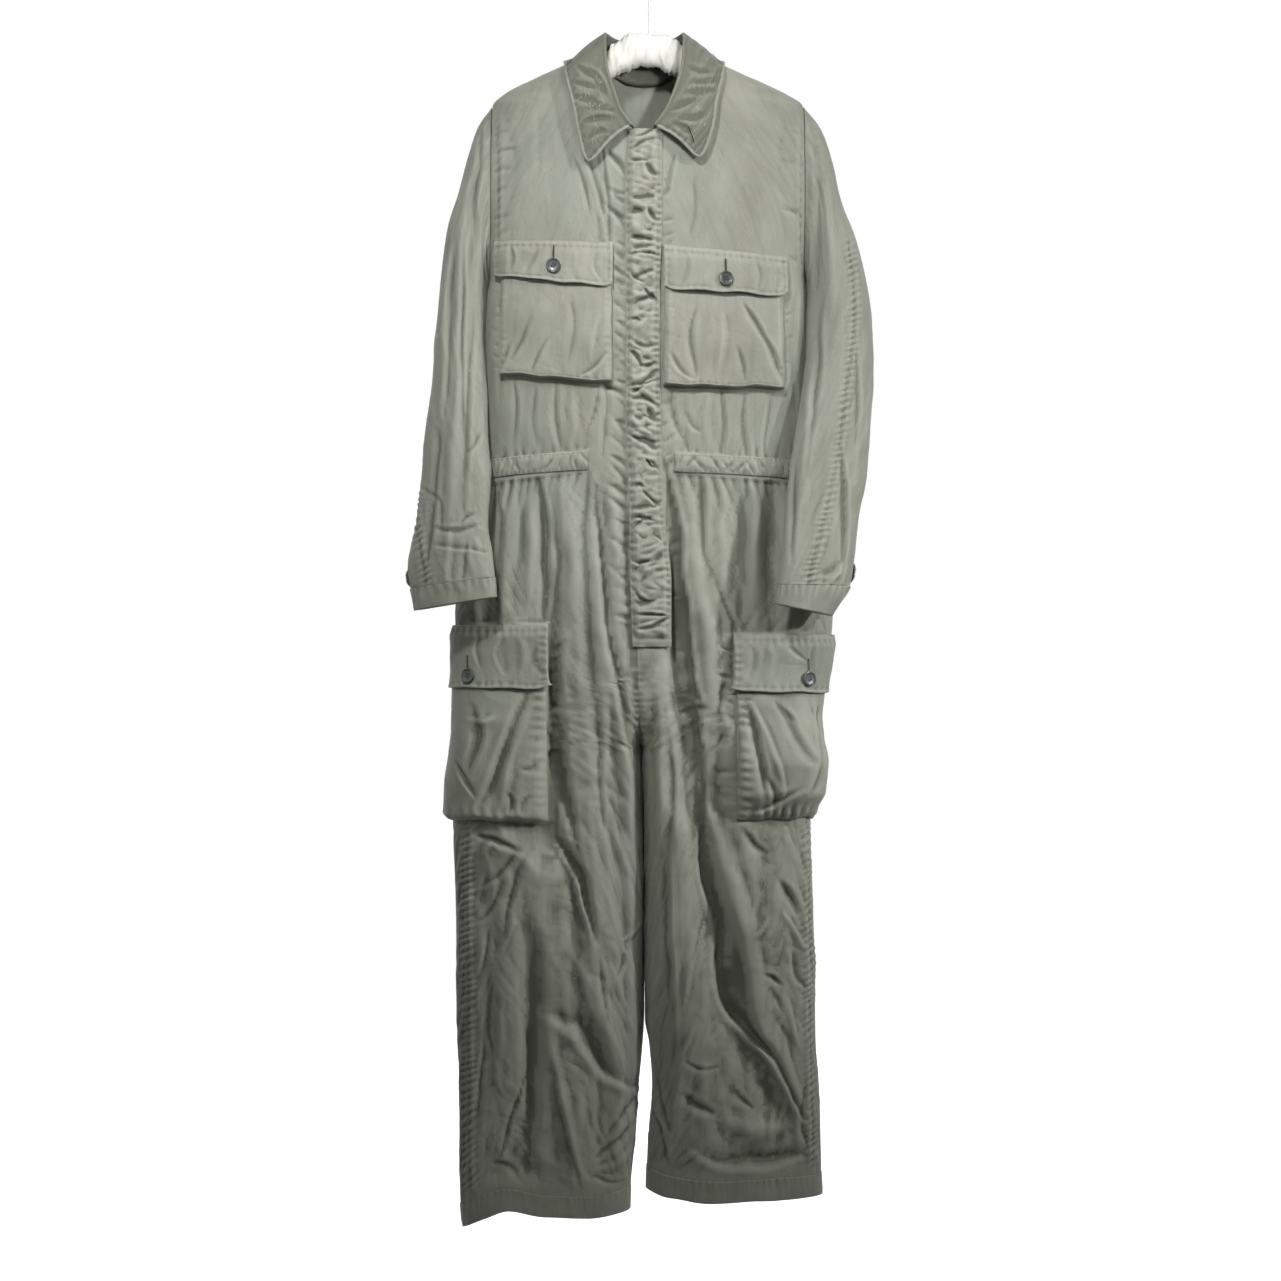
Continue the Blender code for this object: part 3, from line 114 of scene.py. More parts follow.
# distance from the middle, height
FRONT_NECK = (
    (0.0, -0.2385), (0.0195, -0.2325), (0.0360, -0.2075), (0.0475, -0.1740),
    (0.0535, -0.1465), (0.0560, -0.1310), (0.0595, -0.1236),
)
BACK_NECK = ((0.0, -0.1590), (0.0245, -0.1560), (0.0435, -0.1440), (0.0540, -0.1310), (0.0595, -0.1236))
FRONT_COLUMNS = (0.0, 0.0195, 0.0360, 0.0475, 0.0535, 0.0560, 0.0595, 0.096, 0.145, None)
BACK_COLUMNS = (0.0, 0.0245, 0.0435, 0.0540, 0.0595, 0.099, 0.148, None)

# The largest folds, as the solids have them: side, width, depth, path of (x, z) in millimetres
FRONT_FOLDS = (
    (1, 20, -8, ((34, -700), (47, -860), (58, -990), (68, -1110), (90, -1260))),
    (1, 22, -8, ((90, -1260), (116, -1360), (152, -1450), (182, -1545))),
    (1, 20, 5, ((62, -760), (80, -900), (92, -1040))),
    (1, 22, 6, ((45, -1120), (55, -1300), (60, -1430))),
    (-1, 22, -7, ((-118, -930), (-106, -1040), (-96, -1150), (-82, -1270))),
    (-1, 20, -6, ((-130, -1210), (-136, -1340), (-122, -1460), (-104, -1560))),
    (-1, 22, 6, ((-60, -760), (-66, -900), (-62, -1050))),
    (-1, 24, 6, ((-170, -1200), (-175, -1330), (-180, -1450))),
)
BACK_FOLDS = (
    (1, 24, -7, ((75, -700), (85, -850), (80, -1000))),
    (1, 26, -7, ((120, -1080), (105, -1250), (125, -1420))),
    (-1, 24, -7, ((-95, -710), (-100, -860), (-92, -1000))),
    (-1, 26, -7, ((-125, -1100), (-140, -1270), (-120, -1450))),
    (1, 26, -6, ((110, -280), (100, -420), (105, -560))),
    (-1, 26, -6, ((-120, -270), (-112, -410), (-118, -560))),
)

# outer x, y, z, inner x, y, z, half depth
SLEEVES = {
    -1: (
        (-0.2059, 0.000, -0.1920, -0.2059, 0.000, -0.4200, 0.0340),
        (-0.2240, 0.000, -0.2180, -0.2074, -0.001, -0.4212, 0.0370),
        (-0.2370, 0.000, -0.2560, -0.2080, -0.003, -0.4245, 0.0385),
        (-0.2499, -0.001, -0.3052, -0.2092, -0.006, -0.4299, 0.0385),
        (-0.2638, -0.003, -0.3505, -0.2102, -0.011, -0.4396, 0.0380),
        (-0.2721, -0.005, -0.4148, -0.2115, -0.018, -0.4625, 0.0360),
        (-0.2767, -0.009, -0.4802, -0.2140, -0.028, -0.5036, 0.0330),
        (-0.2802, -0.015, -0.5492, -0.2122, -0.042, -0.5645, 0.0300),
        (-0.2895, -0.022, -0.6140, -0.2095, -0.054, -0.6228, 0.0270),
        (-0.2948, -0.029, -0.6770, -0.2043, -0.065, -0.6795, 0.0250),
        (-0.3016, -0.036, -0.7417, -0.2066, -0.075, -0.7358, 0.0235),
        (-0.3108, -0.042, -0.7913, -0.2002, -0.084, -0.7810, 0.0225),
        (-0.3069, -0.047, -0.8210, -0.1974, -0.089, -0.8074, 0.0220),
        (-0.3017, -0.050, -0.8496, -0.1953, -0.092, -0.8327, 0.0220),
    ),
    1: (
        (0.2009, 0.000, -0.1920, 0.2009, 0.000, -0.4200, 0.0340),
        (0.2220, 0.000, -0.2190, 0.2024, -0.001, -0.4212, 0.0370),
        (0.2370, 0.000, -0.2600, 0.2032, -0.003, -0.4245, 0.0385),
        (0.2499, -0.001, -0.3152, 0.2040, -0.006, -0.4309, 0.0385),
        (0.2687, -0.003, -0.3655, 0.2042, -0.011, -0.4436, 0.0380),
        (0.2795, -0.005, -0.4108, 0.2032, -0.019, -0.4676, 0.0365),
        (0.2875, -0.010, -0.4714, 0.2029, -0.030, -0.5117, 0.0340),
        (0.2888, -0.017, -0.5419, 0.1958, -0.046, -0.5699, 0.0300),
        (0.2845, -0.026, -0.6044, 0.1860, -0.060, -0.6302, 0.0270),
        (0.2796, -0.035, -0.6725, 0.1769, -0.073, -0.6879, 0.0240),
        (0.2679, -0.044, -0.7273, 0.1708, -0.085, -0.7441, 0.0225),
        (0.2618, -0.052, -0.7818, 0.1659, -0.094, -0.7930, 0.0215),
        (0.2555, -0.057, -0.8175, 0.1622, -0.098, -0.8173, 0.0210),
        (0.2310, -0.062, -0.8565, 0.1596, -0.101, -0.8420, 0.0210),
    ),
}
CUFF_ROW = 12  # the stitching above each cuff lies on this row

# seam x, y, z, roll x, y, z, edge x, y, z, from the middle of the back to a front end
COLLAR = (
    (0.0000, 0.0345, -0.1560, 0.000, 0.0350, -0.1015, 0.000, 0.0520, -0.1790),
    (0.0225, 0.0335, -0.1532, 0.021, 0.0320, -0.1010, 0.038, 0.0520, -0.1760),
    (0.0410, 0.0295, -0.1418, 0.039, 0.0220, -0.0985, 0.076, 0.0480, -0.1680),
    (0.0535, 0.0010, -0.1130, 0.0505, 0.0010, -0.0965, 0.1000, 0.0010, -0.1405),
    (0.0540, -0.0185, -0.1245, 0.0510, -0.0200, -0.1020, 0.1030, -0.0270, -0.1470),
    (0.0522, -0.0320, -0.1420, 0.0512, -0.0380, -0.1190, 0.1025, -0.0450, -0.1585),
    (0.0465, -0.0405, -0.1660, 0.0475, -0.0500, -0.1560, 0.0965, -0.0550, -0.1850),
    (0.0328, -0.0475, -0.2060, 0.0315, -0.0575, -0.2020, 0.0860, -0.0620, -0.2230),
    (0.0215, -0.0500, -0.2215, 0.0210, -0.0615, -0.2190, 0.0770, -0.0650, -0.2530),
    (0.0115, -0.0515, -0.2320, 0.0135, -0.0620, -0.2290, 0.0690, -0.0670, -0.2700),
)
# sideways shift of the roll and of the edge at each front end
COLLAR_LEAN = {-1: (-0.0035, -0.0035), 1: (0.0000, 0.0080)}
COLLAR_LIFT = 0.0038
COLLAR_ROLL = 0.0019

# z, right edge, left edge
PLACKET = (
    (-0.2310, -0.0270, 0.0160),
    (-0.3000, -0.0310, 0.0160),
    (-0.4900, -0.0305, 0.0125),
    (-0.6000, -0.0305, 0.0145),
    (-0.6830, -0.0270, 0.0160),
    (-0.7450, -0.0260, 0.0215),
    (-0.8090, -0.0250, 0.0275),
    (-0.8900, -0.0225, 0.0275),
)

CHEST_FLAPS = {
    -1: ((-0.0470, -0.3790), (-0.1990, -0.3730), (-0.1960, -0.4210), (-0.0475, -0.4380)),
    1: ((0.0185, -0.3820), (0.1750, -0.3950), (0.1750, -0.4470), (0.0185, -0.4400)),
}
CHEST_BAGS = {
    -1: ((-0.0485, -0.4020), (-0.1900, -0.3970), (-0.1930, -0.5450), (-0.0475, -0.5580)),
    1: ((0.0195, -0.4060), (0.1705, -0.4170), (0.1730, -0.5640), (0.0165, -0.5610)),
}
CHEST_BAG_DEPTH = (0.0065, 0.0115)
CHEST_BUTTONS = {-1: (-0.1230, -0.4090), 1: (0.0970, -0.4270)}

CARGO_TOP_Z = {-1: -0.868, 1: -0.880}
CARGO_FLAP_FOOT_Z = {-1: -0.950, 1: -0.955}
CARGO_FOOT_Z = {-1: -1.119, 1: -1.117}
CARGO_FRONT_X = {-1: (-0.1345, -0.1300), 1: (0.1110, 0.1110)}
CARGO_BACK_ANGLE = math.radians(142.0)
CARGO_STAND = {
    -1: ((0.0, 0.0050), (0.3, 0.0070), (0.6, 0.0100), (0.8, 0.0130), (1.0, 0.0130)),
    1: (
        (0.0, 0.0045), (0.33, 0.0052), (0.5, 0.0120), (0.67, 0.0210), (0.82, 0.0210), (0.93, 0.0120),
        (1.0, 0.0060),
    ),
}
CARGO_MOUTH = 0.028
CARGO_FLAP_ROOM = 0.0022
CARGO_BUTTONS = {-1: (-0.2340, -0.9340), 1: (0.2040, -0.9370)}

CASING_HEIGHT = 0.024
CASINGS = {-1: (-0.0780, -0.6450, -0.6580), 1: (0.0320, -0.6480, -0.6600)}
BUTTON_RADIUS = 0.0096
SIDES = (-1, 1)
END = {-1: "right", 1: "left"}



# ---------------------------------------------------------------- number tools
def smooth_rows(rows):
    """A function of a table's first column that runs smoothly through the others."""
    data = np.array(rows, float)
    data = data[np.argsort(data[:, 0])]
    at, values = data[:, 0], data[:, 1:]
    slope = np.diff(values, axis=0) / np.diff(at)[:, None]
    tangent = np.zeros_like(values)
    same_way = slope[:-1] * slope[1:] > 0
    both = np.where(same_way, slope[:-1] + slope[1:], 1.0)
    tangent[1:-1] = np.where(same_way, 2 * slope[:-1] * slope[1:] / both, 0.0)
    tangent[0], tangent[-1] = slope[0], slope[-1]

    def value(place):
        place = np.clip(np.asarray(place, float), at[0], at[-1])
        i = np.clip(np.searchsorted(at, place) - 1, 0, len(at) - 2)
        h = (at[i + 1] - at[i])[..., None]
        t = (place - at[i])[..., None] / h
        ends = (1 + 2 * t) * (1 - t) ** 2 * values[i] + t * t * (3 - 2 * t) * values[i + 1]
        return ends + t * (1 - t) ** 2 * h * tangent[i] + t * t * (t - 1) * h * tangent[i + 1]

    return value


def ramp(value, start, end):
    """0 at start, 1 at end, smooth between."""
    t = np.clip((np.asarray(value, float) - start) / (end - start), 0.0, 1.0)
    return t * t * (3 - 2 * t)


def bell(value, width, middle=0.0, exponent=2):
    """1 at the middle, dying away on both sides."""
    return np.exp(-(((value - middle) / width) ** exponent))


def rounded(distance, reach, exponent):
    """0 at an edge and 1 from the reach on, in a round curve."""
    return 1 - (1 - np.clip(distance / reach, 0, 1)) ** exponent


def power(value, exponent):
    return np.sign(value) * np.abs(value) ** exponent


def unit(vectors):
    return vectors / np.maximum(np.linalg.norm(vectors, axis=-1, keepdims=True), 1e-12)


def catmull(a, b, c, d, t):
    """A point between b and c on the smooth curve through a, b, c and d."""
    return 0.5 * (2 * b + (c - a) * t + (2 * a - 5 * b + 4 * c - d) * t**2 + (3 * (b - c) + d - a) * t**3)


def noise(u, v, seed):
    """Smooth gradient noise, about -1 to 1, with features one unit wide."""
    u, v = np.broadcast_arrays(np.asarray(u, float), np.asarray(v, float))
    i, j = np.floor(u).astype(np.int64), np.floor(v).astype(np.int64)
    a, b = u - i, v - j

    def corner(di, dj):
        h = ((i + di) * 374761393 + (j + dj) * 668265263 + seed * 974634777) & 0x7FFFFFFF
        h = ((h ^ (h >> 13)) * 1274126177) & 0x7FFFFFFF
        angle = ((h ^ (h >> 16)) & 0xFFFF) * (2 * math.pi / 65536)
        return np.cos(angle) * (a - di) + np.sin(angle) * (b - dj)

    fade_a, fade_b = (t**3 * (t * (t * 6 - 15) + 10) for t in (a, b))
    low, high = (corner(0, k) * (1 - fade_a) + corner(1, k) * fade_a for k in (0, 1))
    return 1.5 * (low * (1 - fade_b) + high * fade_b)


def wander(along, seed):
    return noise(along, 0.37, seed)


def ripples(run, wave, seed, patch=0.03, scatter=0.5):
    """Waves along a seam, whose spacing wanders from patch to patch."""
    return np.cos(2 * math.pi * (run / wave + scatter * wander(run / patch, seed)))


def grid_normals(grid, closed=False):
    down = np.gradient(grid, axis=0)
    across = np.roll(grid, -1, axis=1) - np.roll(grid, 1, axis=1) if closed else np.gradient(grid, axis=1)
    return unit(np.cross(down, across))


def normals_towards(grid, hint, closed=False):
    """A grid's normals, on the side that the hint says: one direction, or one for each point."""
    normals = grid_normals(grid, closed)
    return -normals if (normals * hint).sum() < 0 else normals


def raised(grid, normals, height):
    return grid + normals * np.broadcast_to(height, grid.shape[:-1])[..., None]


def arc_lengths(grid):
    """How far each point of a grid lies along its row and down its column."""
    across = np.linalg.norm(np.diff(grid, axis=1), axis=2)
    down = np.linalg.norm(np.diff(grid, axis=0), axis=2)
    u = np.concatenate([np.zeros((grid.shape[0], 1)), across.cumsum(1)], axis=1)
    v = np.concatenate([np.zeros((1, grid.shape[1])), down.cumsum(0)], axis=0)
    return u, v


def grid_shares(rows, columns, down=(0.0, 1.0), across=(0.0, 1.0)):
    """Values that run down a grid's rows and across its columns, from 0 to 1 unless told."""
    return np.meshgrid(np.linspace(*down, rows), np.linspace(*across, columns), indexing="ij")


def flat_quads(index, closed):
    """Four corners for each face of a grid of point numbers."""
    nearer = np.roll(index, -1, axis=1) if closed else index[:, 1:]
    index = index if closed else index[:, :-1]
    return np.stack([index[:-1], index[1:], nearer[1:], nearer[:-1]], -1).reshape(-1, 4)


def turned(faces):
    """The same faces, seen from the other side."""
    return faces[:, [0, 3, 2, 1]]


# ---------------------------------------------------------------- the body's surface
body_row = smooth_rows(BODY)


def half(side, z):
    """Centre x, half width, front and back depth, squareness and roll of one half at a height."""
    right_out, right_in, left_in, left_out, front, back, square = np.moveaxis(body_row(z), -1, 0)
    out, inner = (left_out, left_in) if side > 0 else (right_out, right_in)
    roll = ramp(z, CROTCH_TOP_Z, CROTCH_Z)
    width = np.abs(out - inner) / (1 + roll)
    return out - side * width, width, front, back, square, roll


def ring_width(side, z, back):
    """The half width of the ring that passes through the armhole's edge."""
    _, width, front, deep, square, _ = half(side, z)
    middle, reach = (SHOULDER_TIP_Z + UNDERARM_Z) / 2, (SHOULDER_TIP_Z - UNDERARM_Z) / 2
    opening = ARMHOLE_HALF_DEPTH * np.sqrt(np.maximum(0.0, 1 - ((z - middle) / reach) ** 2))
    share = opening / (deep if back else front)
    return width / (1 - share**square) ** (1 / square)


def plain_cloth(side, x, z, back):
    """The cloth's place before any fold."""
    centre, _, front, deep, square, _ = half(side, z)
    share = np.minimum(np.abs(x - centre) / ring_width(side, z, back), 1.0)
    y = (deep if back else front) * np.maximum(0.0, 1 - share**square) ** (1 / square)
    return np.stack([x, y if back else -y, z], axis=-1)


def plain_normal(side, point, back):
    x, y, z = np.moveaxis(point, -1, 0)
    step = 0.002
    sizes = []
    for level in (z + step, z - step):
        centre, _, front, deep, square, _ = half(side, level)
        across = np.abs(x - centre) / ring_width(side, level, back)
        sizes.append(across**square + (np.abs(y) / (deep if back else front)) ** square)
    centre, _, front, deep, square, _ = half(side, z)
    width, depth = ring_width(side, z, back), deep if back else front
    gradient = [
        square * power((x - centre) / width, square - 1) / width,
        square * power(y / depth, square - 1) / depth,
        (sizes[0] - sizes[1]) / (2 * step),
    ]
    return unit(np.stack(gradient, axis=-1))


def column_x(side, share, z):
    """x of a column: share is 0 at a panel's inner edge and 1 at its outer one."""
    centre, width, _, _, square, roll = half(side, np.minimum(z, SHOULDER_TIP_Z))
    inner = -np.arcsin(roll ** (square / 2))
    return centre + side * width * power(np.sin(inner + (math.pi / 2 - inner) * share), 2 / square)


def panel_levels(side, columns, neck, count, top_rows, heights):
    """Shares and heights of a panel's points: its columns run down from the neck and shoulder."""
    across = np.linspace(0, 1, count)
    centre, width, _, _, square, _ = half(side, SHOULDER_TIP_Z)
    distances = np.array([width if d is None else d for d in columns])
    shares = np.arcsin(np.minimum(distances / width, 1.0) ** (square / 2)) / (math.pi / 2)
    start = smooth_rows(list(enumerate(shares)))(across * (len(columns) - 1))[..., 0]
    distance = width * np.sin(start * math.pi / 2) ** (2 / square)
    ridge_z = np.linspace(BODY[0][0], SHOULDER_TIP_Z, 400)
    ridge_centre, ridge_width, *_ = half(side, ridge_z)
    ridge_out = side * (ridge_centre - centre) + ridge_width
    at_neck = np.interp(distance, [n[0] for n in neck], [n[1] for n in neck])
    on_ridge = np.interp(distance, ridge_out, ridge_z)
    top = np.where(distance <= neck[-1][0], at_neck, on_ridge)
    down = downward(top_rows)[:, None]
    levels = np.concatenate([top + (UNDERARM_Z - top) * down, np.repeat(heights[:, None], count, axis=1)])
    shares = start + (across - start) * ramp(down, 0.0, 1.0)
    return np.concatenate([shares, np.repeat(across[None], len(heights), axis=0)]), levels


def downward(rows, bend=0.09):
    """Shares down from a rounded top edge: close together where the cloth turns over it."""
    u = np.linspace(0, 1, rows)
    return u**2.3 / (u**1.3 + bend) * (1 + bend)


def hem_droop(side, x, z):
    centre, width, *_ = half(side, z)
    out = (side * (x - centre) / width + 1) / 2
    fall = smooth_rows(HEM_DROOP[side])(out)[..., 0]
    return fall * ramp(z, DROOP_FROM_Z, HEM_LINE_Z[side])


# ---------------------------------------------------------------- creases, gathers and puckers
def smooth_line(path):
    """An even, curved line in metres through a path of (x, z) in millimetres."""
    p = np.array(path, float) / 1000
    q = np.concatenate([[2 * p[0] - p[1]], p, [2 * p[-1] - p[-2]]])
    pieces = []
    for i in range(len(p) - 1):
        count = max(3, int(np.linalg.norm(p[i + 1] - p[i]) / 0.008))
        pieces.append(catmull(*q[i : i + 4], np.linspace(0, 1, count, endpoint=False)[:, None]))
    return np.concatenate(pieces + [p[-1:]])


def near_line(x, z, line, reach):
    """The points near a line: index, signed distance (+ is to the viewer's right of a line that
    runs down), share along it, and length along it."""
    flat_x, flat_z = x.ravel(), z.ravel()
    low, high = line.min(0) - reach, line.max(0) + reach
    inside = (flat_x > low[0]) & (flat_x < high[0]) & (flat_z > low[1]) & (flat_z < high[1])
    index = np.nonzero(inside)[0]
    start, way = line[:-1], np.diff(line, axis=0)
    length = np.hypot(*way.T)
    from_x, from_z = flat_x[index, None] - start[:, 0], flat_z[index, None] - start[:, 1]
    t = np.clip((from_x * way[:, 0] + from_z * way[:, 1]) / length**2, 0, 1)
    off_x, off_z = from_x - t * way[:, 0], from_z - t * way[:, 1]
    away = np.hypot(off_x, off_z)
    k = away.argmin(axis=1)
    pick = np.arange(len(index)), k
    sign = np.sign(way[k, 0] * off_z[pick] - way[k, 1] * off_x[pick])
    run = np.concatenate([[0], length.cumsum()])[k] + t[pick] * length[k]
    keep = away[pick] < reach
    return index[keep], (away[pick] * sign)[keep], (run / length.sum())[keep], run[keep]


def add_creases(height, x, z, table, seed, gain=1.0):
    """Troughs (depth below 0) and ridges, from rows of width, depth, lean and path in millimetres.
    lean, -1 to 1, says which flank is the steep one; the cloth heaps up a little on that side."""
    for k, (width, depth, lean, path) in enumerate(table):
        own_seed, width, depth = seed + 11 * k, width / 1000, depth * gain / 1000
        index, off, along, run = near_line(x, z, smooth_line(path), 3.6 * width)
        taper = np.sin(math.pi * (0.03 + 0.94 * along))
        off = off + 0.35 * width * wander(run / 0.05, own_seed + 3)
        spread = width * (0.62 + 0.38 * taper) * (1 + 0.25 * wander(run / 0.07, own_seed + 1))
        t = off / spread
        t = np.where(t * lean > 0, t / (1 - 0.62 * abs(lean)), t)
        deep = depth * taper**0.7 * (1 + 0.35 * wander(run / 0.055, own_seed + 2))
        if lean:
            heaped = 0.42 * abs(lean) * bell(t, 1.0, math.copysign(1.9, lean))
        else:
            heaped = 0.16 * (bell(t, 1.0, 1.9) + bell(t, 1.0, -1.9))
        height.ravel()[index] += deep * (bell(t, 1.0) - heaped)


def planes(x, z, table, rounding=0.0022):
    """A fold surface of flat planes that meet in soft edges, from rows of (x, height) in mm."""
    values = smooth_rows(table)(np.clip(z * 1000, table[-1][0], table[0][0])) / 1000
    places, heights = values[..., 0::2], values[..., 1::2]
    slopes = np.diff(heights) / np.maximum(np.diff(places), 0.0015)
    flat = np.zeros(slopes.shape[:-1] + (1,))
    turns = np.diff(np.concatenate([flat, slopes, flat], axis=-1))
    off = x[..., None] - places
    return heights[..., 0] + (turns * (off + np.sqrt(off**2 + rounding**2)) / 2).sum(-1)


def gathers(u, away, wave, depth, reach, seed):
    """Little pleats that run out from a gathered seam: u is along it, away is from it, in metres."""
    rng = np.random.default_rng(seed)
    height = np.zeros(np.shape(u))
    near = away < 5 * reach
    if not near.any():
        return height
    along, off = u[near], np.maximum(away[near], 0)
    at, last = float(along.min()), float(along.max())
    total = np.zeros(len(along))
    while at < last:
        narrow, long = wave * rng.uniform(0.24, 0.4), reach * rng.uniform(0.35, 1.9)
        deep = depth * rng.uniform(0.5, 1.25)
        slant = rng.uniform(-0.22, 0.22)
        spread = narrow * (1 + off / 0.05)
        total -= deep * bell(along - slant * off, spread, at) * np.exp(-((off / long) ** 1.3))
        at += wave * rng.uniform(0.65, 1.4)
    height[near] = total
    return height


def add_rope(height, x, z, path, seed, wave, swell, reach, ridge, fell):
    """A puckered, felled seam: a line, a low ridge on the fell side, and puckers across it."""
    wave, swell, reach, ridge = (size / 1000 for size in (wave, swell, reach, ridge))
    index, off, along, run = near_line(x, z, smooth_line(path), 3 * reach)
    ends = ramp(along, 0, 0.03) * ramp(along, 1, 0.97)
    phase = run / wave + 0.5 * wander(run / 0.035, seed) + 0.35 * off / reach
    uneven = 0.8 + 0.5 * wander(run / 0.04, seed + 1)
    puckers = swell * np.cos(2 * math.pi * phase) * bell(off, reach) * uneven
    side_ridge = ridge * bell(off, 0.0034, fell * 0.0035)
    groove = 0.9 * ridge * bell(off, 0.0019, -fell * 0.0008)
    height.ravel()[index] += (puckers + side_ridge - groove) * ends


def short_creases(edge, first, last, spacing, length, slope, width, depth, seed):
    """Creases that run out from an edge: edge(z) is its x in millimetres, and the rest is too."""
    rng = np.random.default_rng(seed)
    z, table = first, []
    while z > last:
        x, reach = float(np.ravel(edge(z))[0]), length * rng.uniform(0.55, 1.5)
        rise = abs(reach) * slope * rng.uniform(0.3, 1.5)
        bend = abs(reach) * rng.uniform(-0.12, 0.12)
        path = ((x, z), (x + 0.5 * reach, z + 0.5 * rise + bend), (x + reach, z + rise))
        wide, deep = width * rng.uniform(0.7, 1.3), -depth * rng.uniform(0.5, 1.3)
        table.append((wide, deep, rng.uniform(-0.8, 0.8), path))
        z -= spacing * rng.uniform(0.6, 1.5)
    return table


def drape(u, v, seed, across, along, depth):
    """Long soft folds that hang down, wandering and uneven."""
    warp = 0.012 * noise(u / 0.10, v / 0.22, seed + 5)
    folds = noise((u + warp) / across, v / along + 3.1, seed)
    return depth * (folds + 0.35 * noise((u - warp) / (across * 0.45), v / (along * 0.5), seed + 1))


def crumple(u, v, seed, size, depth):
    """Faint sharp creases in all directions, with soft unevenness between them."""
    warp = 0.35 * noise(u / size * 0.6, v / size * 0.6, seed + 9)
    lines = np.zeros_like(u)
    for k, (a, b) in enumerate(((1.0, 0.45), (0.55, 1.0), (1.5, 1.2))):
        field = np.abs(noise(u / size * a + warp + 0.7 * v / size, v / size * b - warp, seed + k))
        lines -= bell(field, 0.09) * ramp(noise(u / size * 0.5, v / size * 0.4, seed + 20 + k), -0.1, 0.5)
    return depth * lines + 0.8 * depth * noise(u / size * 1.3, v / size, seed + 30)


def facets(u, v, seed, size, depth):
    """Small flat facets that meet in sharp folds, as cloth keeps them from being worn and folded."""
    warp = 0.35 * size * noise(u / size * 0.7, v / size * 0.5, seed + 7)
    total = np.zeros(np.broadcast(u, v).shape)
    for k, (turn, stretch, share) in enumerate(((0.20, 2.6, 1.0), (-0.45, 2.1, -0.9), (1.15, 1.7, 0.55))):
        a = (u + warp) * math.cos(turn) + v * math.sin(turn)
        b = v * math.cos(turn) - u * math.sin(turn)
        field = noise(a / size, b / (size * stretch), seed + k)
        patchy = 0.55 + 0.75 * noise(u / size * 0.33, v / size * 0.21, seed + 40 + k)
        total += share * patchy * (0.30 - np.sqrt(field**2 + 0.005))
    return depth * total


def creased_cloth(u, v, seed, fine, coarse, depth):
    return crumple(u, v, seed + 2, fine, 0.0003) + facets(u, v, seed + 60, coarse, depth)


def inside_patch(x, z, corners, margin=0.006):
    """1 within a patch of four corners, 0 outside it, smooth over the margin."""
    corners = np.array(corners, float)
    sides = list(zip(corners, np.roll(corners, -1, axis=0)))
    turn = sum(a[0] * b[1] - b[0] * a[1] for a, b in sides)
    outside = np.full(x.shape, -1.0)
    for a, b in sides:
        way = (b - a) / np.linalg.norm(b - a)
        off = ((x - a[0]) * way[1] - (z - a[1]) * way[0]) * math.copysign(1, turn)
        outside = np.maximum(outside, off)
    return 1 - ramp(outside, -0.25 * margin, margin)


